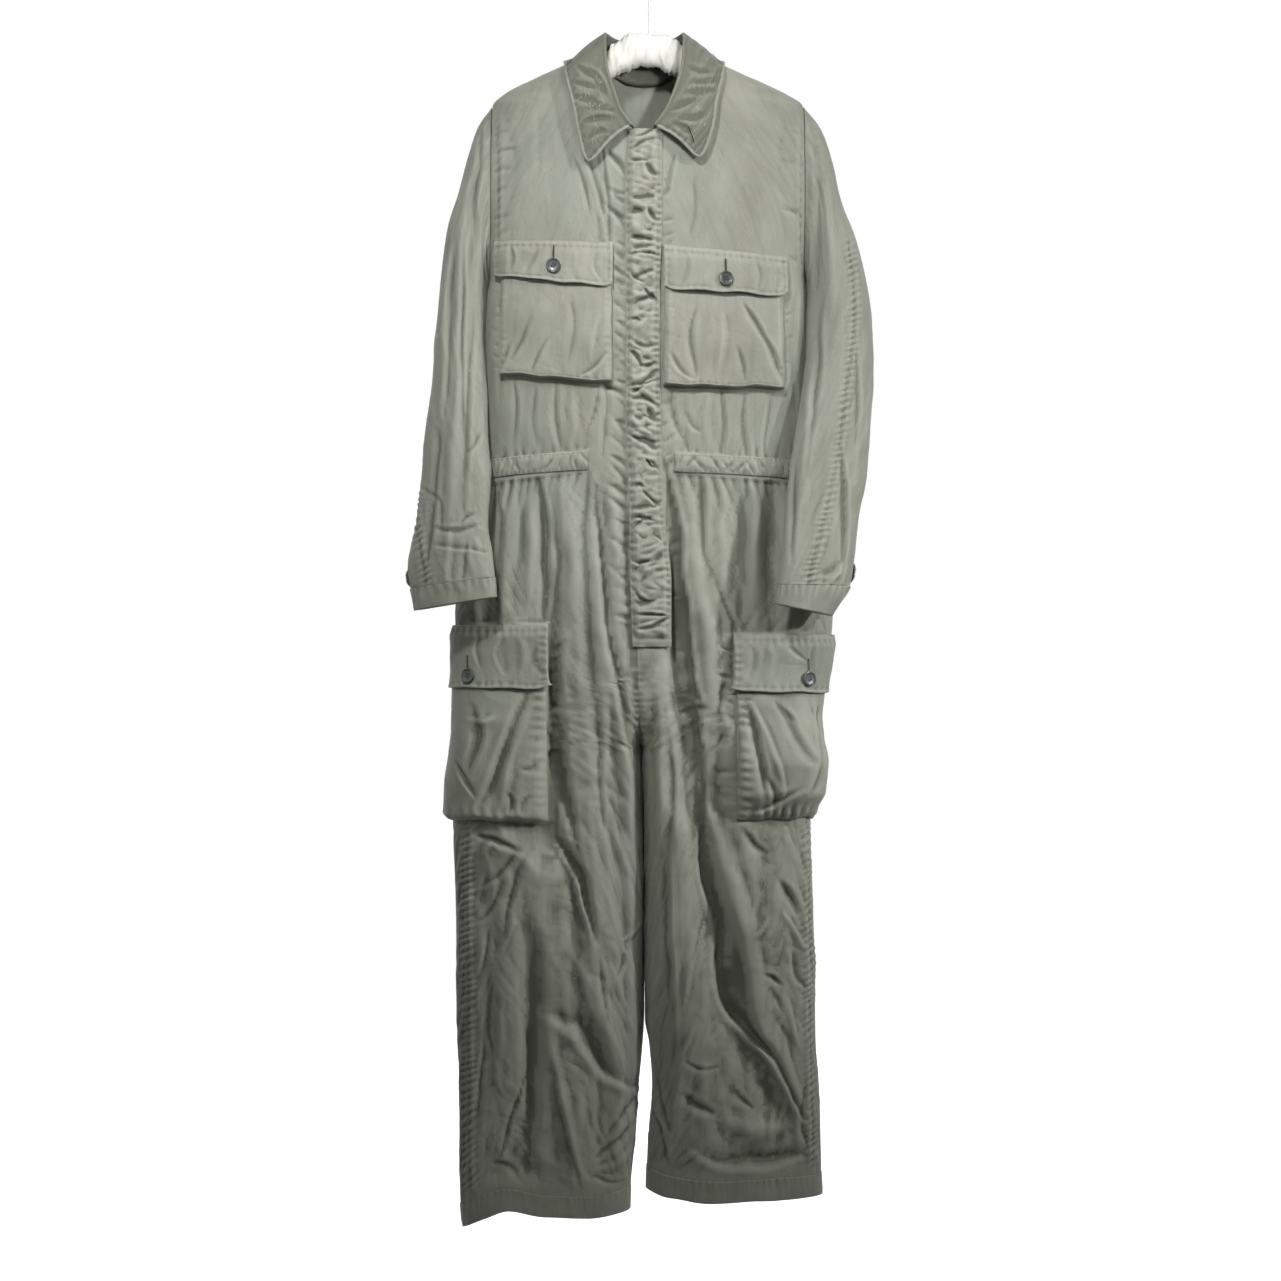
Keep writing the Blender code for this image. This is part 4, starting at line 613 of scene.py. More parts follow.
# ---------------------------------------------------------------- crease tables, in millimetres
# width, depth, lean, path of (x, z) from the top down. Right half, then left half.
FRONT_CREASES = {
    -1: (
        # shoulder, chest and below the chest pocket
        (7, -1.6, 0.3, ((-185, -205), (-176, -262), (-180, -330))),
        (6, -1.3, -0.4, ((-150, -190), (-140, -235), (-146, -300))),
        (9, -1.6, 0.0, ((-98, -178), (-92, -250), (-101, -350))),
        (6, 1.2, 0.0, ((-124, -215), (-118, -280), (-126, -345))),
        (6, -1.5, 0.5, ((-66, -262), (-60, -310), (-66, -362))),
        (4, -3.0, -0.6, ((-82, -268), (-66, -310), (-53, -372))),
        (4, -3.4, 0.6, ((-62, -240), (-53, -320), (-51, -420), (-54, -510))),
        (4, -2.6, -0.5, ((-60, -520), (-56, -580), (-60, -650))),
        (5, 2.4, 0.0, ((-57, -300), (-56, -400), (-58, -500))),
        (3.5, -2.4, 0.5, ((-96, -268), (-84, -300), (-76, -345))),
        (5, -2.0, 0.5, ((-174, -548), (-172, -590), (-176, -636))),
        (5, -2.4, 0.6, ((-119, -556), (-121, -600), (-117, -640))),
        (4, -2.2, -0.6, ((-66, -566), (-72, -594), (-80, -618))),
        (5, -1.6, 0.4, ((-146, -560), (-150, -604), (-145, -640))),
        (7, 1.6, 0.0, ((-98, -566), (-97, -610), (-99, -640))),
        (5, -1.8, -0.4, ((-198, -440), (-188, -500), (-196, -590))),
        # hip: from the casing down to the cargo pocket
        (8, -4.6, 0.75, ((-143, -676), (-136, -720), (-133, -790), (-138, -862))),
        (13, -4.4, 0.1, ((-122, -690), (-119, -760), (-118, -850), (-120, -925))),
        (12, 3.2, 0.1, ((-98, -680), (-95, -760), (-92, -860), (-86, -950), (-76, -1060))),
        (6, -5.2, 0.8, ((-69, -690), (-64, -750), (-54, -850), (-42, -920), (-29, -982))),
        (9, 2.6, 0.0, ((-48, -700), (-42, -770), (-34, -860))),
        (6, -2.4, 0.3, ((-198, -700), (-193, -760), (-200, -850))),
        (8, -2.6, -0.3, ((-172, -690), (-168, -750), (-174, -855))),
        (7, 1.9, 0.0, ((-156, -700), (-152, -780), (-158, -850))),
        (5, -2.0, 0.4, ((-83, -800), (-78, -880), (-70, -960))),
        # inner thigh, below the placket
        (10, -5.4, -0.5, ((-124, -930), (-122, -985), (-119, -1045), (-101, -1115), (-88, -1168))),
        (7, -2.8, 0.4, ((-52, -930), (-48, -1010), (-40, -1080), (-30, -1150))),
        (8, 2.2, 0.0, ((-36, -1010), (-30, -1090), (-30, -1160))),
        (5, -1.7, 0.6, ((-66, -990), (-64, -1060), (-58, -1130))),
        # knee and below
        (8, -6.5, -0.85, ((-119, -1140), (-104, -1166), (-89, -1194), (-79, -1232), (-72, -1272))),
        (15, -5.0, 0.6, ((-146, -1258), (-144, -1330), (-146, -1416), (-151, -1484), (-154, -1545))),
        (7, 3.6, -0.6, ((-133, -1380), (-121, -1434), (-109, -1486), (-96, -1540), (-85, -1590))),
        (15, -7.0, -0.75, ((-128, -1366), (-110, -1381), (-90, -1383), (-74, -1412), (-56, -1440),
         (-20, -1462))),
        (9, 2.8, 0.0, ((-112, -1404), (-88, -1404), (-64, -1446))),
        (3.5, -3.2, 0.7, ((-160, -1452), (-170, -1480), (-180, -1506), (-193, -1556))),
        (3.5, 1.9, 0.6, ((-172, -1246), (-184, -1270), (-197, -1300))),
        (5, -2.6, 0.5, ((-150, -1150), (-166, -1180), (-180, -1225), (-186, -1270))),
        (6, -3.2, 0.5, ((-222, -1138), (-196, -1146), (-168, -1158))),
        (5, 2.4, 0.4, ((-216, -1166), (-203, -1148), (-190, -1160))),
        (5, -2.8, -0.5, ((-220, -1205), (-196, -1190), (-172, -1160))),
        (5, -2.2, 0.4, ((-222, -1250), (-205, -1232), (-190, -1200))),
        (4, -1.8, 0.5, ((-226, -1330), (-214, -1300), (-208, -1262))),
        (4, 1.6, 0.4, ((-128, -1280), (-120, -1300), (-112, -1318))),
        (3.5, -1.7, 0.5, ((-64, -1285), (-60, -1340), (-52, -1385))),
        (3.5, 1.5, 0.4, ((-10, -1250), (-22, -1268), (-34, -1276))),
        (3.5, -1.8, 0.4, ((-32, -1292), (-36, -1310), (-42, -1322))),
        (6, -3.2, 0.3, ((-16, -1480), (-36, -1500), (-56, -1528))),
        (6, -2.6, -0.4, ((-20, -1512), (-44, -1534), (-70, -1552))),
        (5, 2.0, 0.0, ((-22, -1546), (-44, -1562), (-72, -1566))),
        (4, -2.0, 0.5, ((-72, -1572), (-50, -1584), (-28, -1586))),
        (5, -2.4, 0.4, ((-205, -1560), (-180, -1572), (-165, -1590))),
        (4, -1.8, -0.4, ((-214, -1400), (-220, -1450), (-224, -1500))),
        (4, -1.6, 0.4, ((-204, -1330), (-210, -1380), (-206, -1420))),
        (5, 1.6, 0.0, ((-190, -1340), (-194, -1400), (-200, -1470))),
    ),
    1: (
        # chest
        (7, -1.6, -0.3, ((176, -205), (168, -262), (174, -340))),
        (9, -1.6, 0.0, ((96, -190), (88, -270), (96, -365))),
        (5, -2.4, 0.5, ((34, -262), (24, -292), (20, -318))),
        (6, 1.2, 0.0, ((128, -215), (122, -280), (130, -360))),
        (6, -1.6, 0.4, ((56, -286), (58, -330), (52, -372))),
        # below the chest pocket
        (5, -3.2, 0.6, ((28, -568), (31, -600), (40, -628))),
        (4, -2.0, -0.5, ((46, -596), (54, -612), (66, -620))),
        (5, -2.2, 0.5, ((92, -568), (95, -606), (92, -644))),
        (4, -2.0, -0.5, ((156, -572), (152, -610), (146, -648))),
        (5, 1.6, 0.0, ((74, -570), (72, -606), (76, -642))),
        (5, -1.8, 0.4, ((122, -572), (120, -610), (124, -648))),
        (5, -1.8, 0.4, ((190, -440), (184, -510), (190, -600))),
        # hip
        (7, -7.0, 0.85, ((18, -656), (28, -698), (37, -742), (40, -790), (49, -858), (54, -914),
         (60, -980), (66, -1062), (70, -1148))),
        (9, 3.6, 0.0, ((50, -746), (58, -800), (70, -870), (76, -940))),
        (11, -3.4, 0.0, ((24, -760), (30, -850), (36, -950), (42, -1060))),
        (6, -2.8, 0.5, ((69, -690), (66, -730), (70, -770))),
        (10, -3.0, -0.3, ((124, -690), (119, -740), (121, -812))),
        (8, 2.4, 0.0, ((98, -690), (94, -750), (98, -830))),
        (8, 2.0, 0.0, ((142, -695), (138, -760), (143, -850))),
        (10, -3.6, 0.3, ((164, -690), (160, -750), (164, -850))),
        (5, -3.4, 0.6, ((92, -826), (101, -852), (110, -880), (108, -944))),
        (6, -2.6, 0.4, ((192, -690), (188, -750), (196, -850))),
        # thigh, beside the cargo pocket
        (4, -2.6, 0.5, ((100, -940), (90, -965), (82, -998))),
        (4, -2.4, -0.5, ((104, -1000), (90, -1016), (78, -1030))),
        (4, -2.6, 0.5, ((80, -1070), (94, -1086), (106, -1096))),
        (5, 2.2, 0.0, ((90, -970), (98, -996), (104, -1020))),
        (4, -2.0, 0.4, ((102, -1052), (88, -1060), (80, -1050))),
        (7, 2.6, 0.0, ((10, -930), (14, -1010), (16, -1080), (16, -1160))),
        (5, -2.2, 0.6, ((24, -1000), (28, -1080), (28, -1160))),
        # knee and below
        (8, -7.5, -0.8, ((69, -1130), (70, -1180), (86, -1234), (91, -1304), (98, -1352), (132, -1394),
         (164, -1430), (200, -1508))),
        (18, -4.0, 0.0, ((106, -1250), (112, -1310), (122, -1372))),
        (4, 1.7, 0.3, ((30, -1150), (33, -1240), (36, -1340), (38, -1430))),
        (5, -2.2, -0.4, ((20, -1180), (22, -1260), (26, -1350))),
        (3.5, 2.0, 0.5, ((60, -1288), (52, -1322), (44, -1362))),
        (3.5, 2.2, 0.5, ((58, -1386), (48, -1408), (36, -1432))),
        (3.5, -1.6, 0.5, ((72, -1240), (60, -1290), (52, -1330))),
        (3, 1.5, 0.4, ((152, -1246), (142, -1262), (130, -1270))),
        (5, -2.4, 0.5, ((120, -1130), (134, -1152), (150, -1160))),
        (6, -3.2, 0.4, ((168, -1196), (186, -1222), (196, -1244))),
        (5, 2.6, 0.3, ((172, -1240), (188, -1262), (200, -1290))),
        (4, -2.8, 0.5, ((148, -1316), (158, -1320), (170, -1330))),
        (4, -2.2, 0.5, ((158, -1336), (166, -1352), (172, -1368))),
        (4, 2.0, 0.3, ((176, -1346), (182, -1380), (190, -1410))),
        (4, -2.0, -0.4, ((166, -1380), (178, -1400), (184, -1430))),
        (5, -2.4, 0.4, ((204, -1340), (190, -1320), (184, -1290))),
        (7, -4.2, 0.4, ((44, -1474), (60, -1486), (82, -1496))),
        (13, -7.0, -0.75, ((66, -1548), (100, -1556), (140, -1560), (196, -1552))),
        (12, 3.6, 0.0, ((92, -1508), (130, -1520), (178, -1520))),
        (4, 2.6, 0.5, ((60, -1544), (46, -1556), (30, -1572))),
        (5, -3.0, -0.5, ((8, -1456), (14, -1490), (26, -1526))),
        (5, -2.8, 0.4, ((2, -1500), (16, -1540), (24, -1572))),
        (4, -2.0, 0.5, ((110, -1462), (120, -1480), (136, -1492))),
        (4, -2.0, 0.4, ((206, -1450), (196, -1500), (204, -1550))),
        (4, -1.8, 0.4, ((48, -1430), (66, -1440), (88, -1436))),
    ),
}

# The broad planes of each front: rows of z and then (x, height) along the row, from the waist down.
FRONT_PLANES = {
    -1: (
        (-690, -236, 0, -200, -1, -190, 0, -142, -2.5, -113, 1.5, -82, -1.5, -68, -0.5, -64, -2.5,
         -48, 0, -30, -0.5, -14, 0),
        (-760, -236, 0, -202, -3, -190, 1, -138, -6, -111, 3.5, -82, -3, -66, -1, -61, -4.5, -42, 0.5,
         -30, -1.5, -16, 0),
        (-830, -240, 0, -206, -4, -190, 1, -136, -7.5, -111, 2.5, -83, -4, -62, -0.5, -57, -4.5,
         -40, 0.5, -28, -2, -18, 0),
        (-900, -245, 0, -215, -2, -195, 0, -134, -6, -112, 1.5, -83, -4.5, -53, 1, -48, -4, -34, 0.5,
         -24, -1, -15, 0),
        (-960, -245, 0, -220, 0, -200, 0, -127, -6, -108, 1, -72, -4, -44, 1.5, -38, -3.5, -28, 0.5,
         -21, -1, -14, 0),
        (-1020, -246, 0, -220, 0, -200, 0, -127, -8, -103, 2.5, -66, -3, -34, 4, -28, 1, -23, 0.5,
         -18, 0, -13, 0),
        (-1080, -246, 0, -220, 0, -200, 0, -124, -9, -99, 3.5, -56, -2, -27, 3.5, -22, 1, -18, 0,
         -14, 0, -11, 0),
        (-1140, -248, 0, -220, 1, -190, 1.5, -120, -7, -93, 4.5, -48, -3, -28, 1, -23, 0, -18, 0,
         -14, 0, -10, 0),
        (-1200, -250, 0, -160, -1.5, -134, 1.5, -98, -5, -77, 3.5, -34, -2.5, -26, 0, -22, 0, -18, 0,
         -14, 0, -10, 0),
        (-1260, -250, 0, -152, -3.5, -134, 2, -93, -5, -73, 3.5, -30, -3, -24, 0, -20, 0, -17, 0,
         -13, 0, -9, 0),
        (-1320, -250, 0, -149, -5, -134, 2.5, -91, -3, -75, 1, -30, -3, -24, 0, -20, 0, -17, 0, -13, 0,
         -9, 0),
        (-1380, -250, 0, -150, -6.5, -137, 2.5, -88, -3, -52, 2, -30, -1.5, -25, 0, -21, 0, -17, 0,
         -13, 0, -9, 0),
        (-1440, -250, 0, -150, -6.5, -128, 3.5, -68, -4.5, -34, 1.5, -30, 0, -27, 0, -24, 0, -21, 0,
         -18, 0, -15, 0),
        (-1500, -248, 0, -153, -6.5, -116, 4.5, -62, -4.5, -38, 1.5, -33, 0, -30, 0, -27, 0, -24, 0,
         -21, 0, -18, 0),
        (-1560, -248, 0, -163, -6, -96, 4.5, -62, -2, -42, 0, -38, 0, -35, 0, -32, 0, -29, 0, -26, 0, -23, 0),
        (-1600, -248, 0, -163, -3, -96, 2.5, -62, -1, -42, 0, -38, 0, -35, 0, -32, 0, -29, 0, -26, 0, -23, 0),
    ),
    1: (
        (-690, -12, 0, 16, 0, 22, -3, 27, -3, 33, 1.5, 66, -2, 74, 0, 116, -3, 136, 1, 152, -3, 178, 0.5),
        (-760, -12, 0, 18, -1, 24, -6, 33, -5, 39, 2, 66, -3, 78, -1, 118, -5, 134, 0.5, 154, -5, 178, 1),
        (-830, -12, 0, 22, -1, 28, -7, 38, -5, 44, 3, 90, -3, 97, -2, 116, -5, 134, -1, 152, -5, 174, 0),
        (-900, -12, 0, 24, -1, 32, -6, 49, -4, 55, 3, 92, -3, 104, -1, 118, -3, 140, 0, 156, -1, 180, 0),
        (-960, -12, 0, 26, 1, 34, -4.5, 53, -4, 59, 2.5, 90, -3.5, 104, -1, 118, 0, 140, 0, 156, 0, 180, 0),
        (-1020, -10, 0, 22, 2.5, 44, -4.5, 57, -4, 64, 2, 88, -3, 104, 0, 118, 0, 140, 0, 156, 0, 180, 0),
        (-1080, -8, 0, 20, 3, 46, -4.5, 60, -4, 67, 1.5, 84, -2.5, 104, 1, 118, 0, 140, 0, 156, 0, 180, 0),
        (-1140, -6, 0, 38, 3.5, 60, -4.5, 66, -4, 84, 4, 104, -1, 114, 0, 126, 0, 140, 0, 156, 0, 180, 0),
        (-1200, -4, 0, 32, 3, 70, -5.5, 76, -5, 102, 5.5, 124, 0, 132, 0.5, 140, 0, 150, 0, 160, 0, 180, 0),
        (-1260, -4, 0, 36, 3, 80, -6, 86, -5.5, 120, 6, 140, 0, 150, 0.5, 158, 0, 166, 0, 172, 0, 185, 0),
        (-1320, -2, 0, 34, 2.5, 88, -6, 93, -5.5, 130, 6, 150, 0, 158, 0.5, 165, 0, 172, 0, 180, 0, 190, 0),
        (-1380, 0, 0, 40, 2, 104, -6, 109, -5.5, 142, 6, 165, 0, 172, 0.5, 178, 0, 184, 0, 189, 0, 194, 0),
        (-1440, 2, 0, 40, 1.5, 128, -5.5, 133, -5, 172, 5, 188, 0, 192, 0, 195, 0, 198, 0, 201, 0, 204, 0),
        (-1500, 4, 0, 40, 1, 163, -3.5, 168, -3, 192, 3, 203, 0, 206, 0, 208, 0, 210, 0, 212, 0, 214, 0),
        (-1560, 4, 0, 40, 0.5, 165, -1, 170, -1, 192, 1, 203, 0, 206, 0, 208, 0, 210, 0, 212, 0, 214, 0),
        (-1600, 4, 0, 40, 0, 165, 0, 170, 0, 192, 0, 203, 0, 206, 0, 208, 0, 210, 0, 212, 0, 214, 0),
    ),
}

# The hidden side has the same kinds of folds. Wearer's right, then left.
BACK_CREASES = {
    -1: (
        (8, -3.0, 0.3, ((-186, -215), (-172, -270), (-176, -350))),
        (10, -2.6, -0.2, ((-84, -190), (-78, -270), (-86, -360))),
        (6, -2.4, 0.5, ((-190, -400), (-160, -440), (-120, -462))),
        (8, 2.4, 0.0, ((-150, -300), (-146, -380), (-152, -460))),
        (7, -3.0, -0.4, ((-60, -430), (-66, -520), (-60, -630))),
        (6, -2.6, 0.4, ((-160, -500), (-156, -570), (-160, -635))),
        (6, -2.2, 0.5, ((-30, -300), (-36, -380), (-32, -460))),
        (10, -4.4, 0.5, ((-58, -690), (-50, -780), (-40, -880), (-26, -960))),
        (8, -3.4, -0.5, ((-150, -690), (-146, -780), (-150, -870))),
        (9, 3.0, 0.0, ((-120, -700), (-118, -800), (-122, -900))),
        (9, -4.6, 0.6, ((-40, -1010), (-60, -1090), (-66, -1180), (-60, -1270))),
        (7, -3.4, -0.6, ((-160, -1140), (-172, -1220), (-168, -1300))),
        (7, -4.4, 0.7, ((-210, -1330), (-170, -1352), (-130, -1346), (-90, -1372))),
        (8, 3.0, 0.0, ((-200, -1366), (-160, -1388), (-120, -1384))),
        (5, -2.6, 0.5, ((-60, -1360), (-50, -1420), (-56, -1480))),
        (6, -3.0, 0.4, ((-30, -1470), (-60, -1510), (-90, -1524))),
        (6, -3.0, -0.4, ((-190, -1480), (-200, -1530), (-196, -1580))),
        (5, 2.2, 0.3, ((-120, -1500), (-132, -1550), (-130, -1590))),
    ),
    1: (
        (8, -2.8, -0.3, ((176, -215), (166, -280), (172, -360))),
        (9, -2.4, 0.2, ((70, -195), (64, -280), (70, -380))),
        (6, -2.6, 0.5, ((184, -410), (150, -452), (112, -470))),
        (8, 2.2, 0.0, ((140, -310), (136, -390), (142, -470))),
        (7, -2.8, 0.4, ((44, -440), (50, -530), (46, -630))),
        (6, -2.4, -0.4, ((150, -510), (146, -580), (150, -635))),
        (10, -4.2, -0.5, ((48, -690), (40, -790), (30, -880), (14, -960))),
        (8, -3.2, 0.5, ((132, -690), (130, -790), (134, -880))),
        (9, 2.8, 0.0, ((104, -700), (102, -800), (108, -900))),
        (9, -4.4, -0.6, ((30, -1010), (46, -1100), (52, -1190), (46, -1280))),
        (7, -3.4, 0.6, ((150, -1140), (158, -1230), (154, -1310))),
        (7, -4.2, -0.7, ((186, -1310), (148, -1338), (108, -1336), (70, -1362))),
        (8, 2.8, 0.0, ((180, -1350), (140, -1372), (100, -1374))),
        (5, -2.6, -0.5, ((40, -1350), (30, -1410), (38, -1470))),
        (6, -2.8, 0.4, ((20, -1480), (50, -1516), (84, -1528))),
        (6, -2.8, 0.4, ((170, -1470), (182, -1520), (178, -1570))),
        (5, 2.0, -0.3, ((104, -1500), (114, -1540), (110, -1580))),
    ),
}

# The felled seam that shows down each leg, and the rise seam
LEG_SEAMS = {
    -1: ((-233, -1124), (-236, -1200), (-235, -1320), (-235, -1450), (-233, -1560), (-232, -1600)),
    1: ((202, -1120), (205, -1200), (206, -1320), (208, -1450), (210, -1560), (211, -1590)),
}

# Sleeves, on their front half: width, depth, lean, path of (x, z)
SLEEVE_CREASES = {
    -1: (
        (7, -3.0, 0.5, ((-218, -205), (-224, -280), (-228, -360), (-224, -430))),
        (6, -5.5, 0.6, ((-250, -318), (-262, -360), (-269, -420), (-272, -490))),
        (4, -2.6, 0.6, ((-239, -360), (-240, -440), (-240, -520), (-238, -620))),
        (4, -1.7, -0.6, ((-278, -764), (-258, -768), (-232, -770), (-204, -776))),
        (3.5, -1.4, 0.5, ((-296, -690), (-280, -700), (-267, -712), (-264, -745))),
        (3.5, -2.0, -0.5, ((-240, -742), (-234, -732), (-222, -727))),
        (8, 2.4, 0.0, ((-236, -290), (-240, -380), (-244, -470))),
        (6, -2.6, -0.5, ((-252, -330), (-256, -420), (-258, -520), (-262, -600))),
        (6, -2.8, 0.5, ((-226, -470), (-232, -560), (-236, -650), (-238, -730))),
        (7, 2.2, 0.0, ((-244, -560), (-250, -650), (-254, -730))),
        (5, -2.4, 0.5, ((-270, -620), (-276, -690), (-282, -760), (-284, -800))),
        (5, -2.0, 0.6, ((-278, -742), (-250, -748), (-216, -740))),
        (4, 1.6, 0.0, ((-254, -742), (-256, -780), (-258, -815))),
        (4, -1.8, 0.5, ((-232, -760), (-234, -790), (-240, -822))),
        (4, -1.6, 0.5, ((-214, -620), (-224, -640), (-240, -650))),
    ),
    1: (
        (7, -2.8, -0.5, ((212, -210), (216, -290), (216, -360), (214, -430))),
        (8, 2.4, 0.0, ((230, -290), (232, -380), (232, -470))),
        (6, -2.6, 0.5, ((222, -440), (216, -520), (206, -610), (196, -690))),
        (5, -4.2, 0.7, ((243, -640), (249, -700), (248, -770), (246, -800))),
        (7, 2.0, 0.0, ((206, -560), (198, -650), (190, -730))),
        (5, -2.0, 0.5, ((184, -660), (182, -730), (178, -790))),
        (5, -2.4, 0.6, ((244, -788), (230, -800), (214, -804))),
        (4, 2.0, 0.4, ((244, -800), (232, -812), (222, -836))),
        (4, -1.6, 0.5, ((262, -480), (268, -560), (264, -640))),
    ),
}
SLEEVE_SEAMS = {
    -1: ((-296, -690), (-299, -737), (-291, -780), (-284, -820), (-281, -846)),
    1: (
        (257, -361), (264, -446), (260, -510), (250, -577), (243, -638), (229, -701), (217, -755),
         (205, -794),
        (199, -828), (198, -848),
    ),
}


# ---------------------------------------------------------------- materials
class Look:
    """A small helper that builds a node material on a Principled shader."""

    def __init__(self, name, metallic=0.0):
        self.material = bpy.data.materials.new(name)
        self.material.use_nodes = True
        self.tree = self.material.node_tree
        self.shader = self.tree.nodes["Principled BSDF"]
        self.shader.inputs["Metallic"].default_value = metallic

    def put(self, socket, value):
        """Link a node's output to a socket, or set the socket's value."""
        if isinstance(value, bpy.types.NodeSocket):
            self.tree.links.new(value, socket)
        else:
            socket.default_value = value

    def node(self, kind, **inputs):
        made = self.tree.nodes.new(kind)
        for name, value in inputs.items():
            self.put(made.inputs[name.replace("_", " ")], value)
        return made

    def attribute(self, name, output):
        made = self.node("ShaderNodeAttribute")
        made.attribute_name = name
        return made.outputs[output]

    def noise(self, place, scale, detail=3.0, roughness=0.55):
        """Noise of one scale, or of a scale for each axis."""
        if isinstance(scale, tuple):
            place, scale = self.node("ShaderNodeMapping", Vector=place, Scale=scale).outputs["Vector"], 1.0
        made = self.node("ShaderNodeTexNoise", Vector=place, Scale=scale, Detail=detail, Roughness=roughness)
        return made.outputs["Fac"]

    def span(self, value, low, high, out_low=0.0, out_high=1.0):
        made = self.node("ShaderNodeMapRange", From_Min=low, From_Max=high, To_Min=out_low, To_Max=out_high)
        made.interpolation_type = "SMOOTHSTEP"
        self.put(made.inputs["Value"], value)
        return made.outputs["Result"]

    def math(self, kind, a, b=0.0):
        made = self.node("ShaderNodeMath")
        made.operation = kind
        self.put(made.inputs[0], a)
        self.put(made.inputs[1], b)
        return made.outputs["Value"]

    def mix(self, share, a, b):
        made = self.node("ShaderNodeMix")
        made.data_type = "RGBA"
        sockets = {socket.identifier: socket for socket in made.inputs}
        for name, value in (("Factor_Float", share), ("A_Color", a), ("B_Color", b)):
            self.put(sockets[name], value)
        return next(socket for socket in made.outputs if socket.identifier == "Result_Color")

    def bump(self, height, strength, distance, under=None):
        made = self.node("ShaderNodeBump", Height=height, Strength=strength, Distance=distance)
        if under is not None:
            self.put(made.inputs["Normal"], under)
        return made.outputs["Normal"]

    def finish(self, **inputs):
        for name, value in inputs.items():
            self.put(self.shader.inputs[name.replace("_", " ")], value)
        return self.material


def linear(red, green, blue):
    """A colour given as sRGB, 0 to 255."""
    values = [c / 255 for c in (red, green, blue)]
    return tuple(c / 12.92 if c <= 0.04045 else ((c + 0.055) / 1.055) ** 2.4 for c in values) + (1.0,)


def sateen(name, base, fade_and_highlight, dark, cool):
    """Garment-dyed cotton sateen: a fine diagonal weave and soft sheen. Its colour is paler on the
    ridges and seam edges, as fading and as painted highlight, and darker in the folds, as painted shade."""
    look = Look(name)
    place, worn = look.attribute("weave", "Vector"), look.attribute("worn", "Fac")
    blotch = look.noise(place, 11.0, 3.0, 0.6)
    cast = look.noise(place, (5.0, 3.0, 1.0), 3.0, 0.6)
    streak = look.noise(place, (90.0, 9.0, 1.0), 4.0, 0.65)
    strands = look.noise(place, (1500.0, 160.0, 1.0), 2.0, 0.6)
    colour = base
    for field, low, high, most, over in (
        (blotch, 0.30, 0.72, 0.55, fade_and_highlight),
        (cast, 0.40, 0.66, 0.32, cool),
        (streak, 0.42, 0.74, 0.22, dark),
        (strands, 0.3, 0.75, 0.16, fade_and_highlight),
        # ridges turn paler, as fading and as painted highlight; hollows turn darker, as painted shade
        (worn, 0.05, 1.2, 0.80, fade_and_highlight),
        (worn, -0.05, -1.2, 0.92, dark),
    ):
        colour = look.mix(look.span(field, low, high, 0.0, most), colour, over)
    # thin pale lines on fine crinkles, partly rubbed wear and partly painted highlight
    rub_and_highlight = look.noise(place, (52.0, 17.0, 1.0), 4.0, 0.55)
    line = look.span(look.math("ABSOLUTE", look.math("SUBTRACT", rub_and_highlight, 0.5)), 0.0, 0.012, 1.0, 0.0)
    patch = look.span(look.noise(place, (9.0, 5.0, 1.0), 2.0), 0.46, 0.62, 0.0, 0.55)
    colour = look.mix(look.math("MULTIPLY", line, patch), colour, fade_and_highlight)
    ribs = {"Scale": 430.0, "Distortion": 1.2, "Detail": 2.0, "Detail_Scale": 2.0}
    twill = look.node("ShaderNodeTexWave", Vector=place, **ribs)
    twill.bands_direction = "DIAGONAL"
    relief = look.bump(twill.outputs["Fac"], 0.22, 0.00025)
    relief = look.bump(look.noise(place, (300.0, 2600.0, 1.0), 3.0), 0.25, 0.0003, relief)
    relief = look.bump(look.noise(place, (150.0, 110.0, 1.0), 5.0, 0.6), 0.20, 0.0016, relief)
    roughness = look.span(look.noise(place, 60.0), 0.3, 0.7, 0.42, 0.56)
    return look.finish(
        Base_Color=colour, Normal=relief, Roughness=roughness,
        Sheen_Weight=0.10, Sheen_Roughness=0.35, Specular_IOR_Level=0.22,
    )


def clouded(name, first, second, cloud, share, grains, roughness, metallic=0.0, **more):
    """Two colours that cloud into each other under fine relief.

    cloud is a noise's scale and detail, share the values between which one colour turns into the
    other. grains are the relief's noises: scale, detail, strength and depth. roughness is one
    value, or the span that it takes over the last grain."""
    look = Look(name, metallic)
    place = look.node("ShaderNodeTexCoord").outputs["Object"]
    relief = None
    for scale, detail, strength, depth in grains:
        grain = look.noise(place, scale, detail)
        relief = look.bump(grain, strength, depth, relief)
    if isinstance(roughness, tuple):
        roughness = look.span(grain, 0.3, 0.7, *roughness)
    colour = look.mix(look.span(look.noise(place, *cloud), *share), linear(*first), linear(*second))
    return look.finish(Base_Color=colour, Normal=relief, Roughness=roughness, **more)


def thread(name, colour, pale):
    scale = (2600.0, 900.0, 2600.0)
    grains = ((scale, 2.0, 0.4, 0.0003),)
    sheen = {"Sheen_Weight": 0.2, "Specular_IOR_Level": 0.35}
    return clouded(name, colour, pale, (scale, 2.0), (0.35, 0.65), grains, 0.62, **sheen)


def button_look():
    grains = (((900.0, 300.0, 2600.0), 3.0, 0.12, 0.0002),)
    coat = {"Coat_Weight": 0.25, "Coat_Roughness": 0.18}
    cloud = (260.0, 4.0, 0.6)
    dark, pale = (44, 50, 46), (74, 80, 74)
    return clouded("button_resin", dark, pale, cloud, (0.4, 0.7), grains, (0.24, 0.46), **coat)


def pad_look():
    warp, weft = (2200.0, 700.0, 700.0), (600.0, 2200.0, 2600.0)
    grains = ((warp, 3.0, 0.25, 0.0004), (weft, 2.0, 0.25, 0.0004))
    sheen = {"Sheen_Weight": 0.3, "Sheen_Roughness": 0.5, "Specular_IOR_Level": 0.3}
    white, shaded = (240, 239, 232), (226, 224, 213)
    return clouded("hanger_cover", white, shaded, (22.0, 3.0), (0.35, 0.75), grains, 0.78, **sheen)


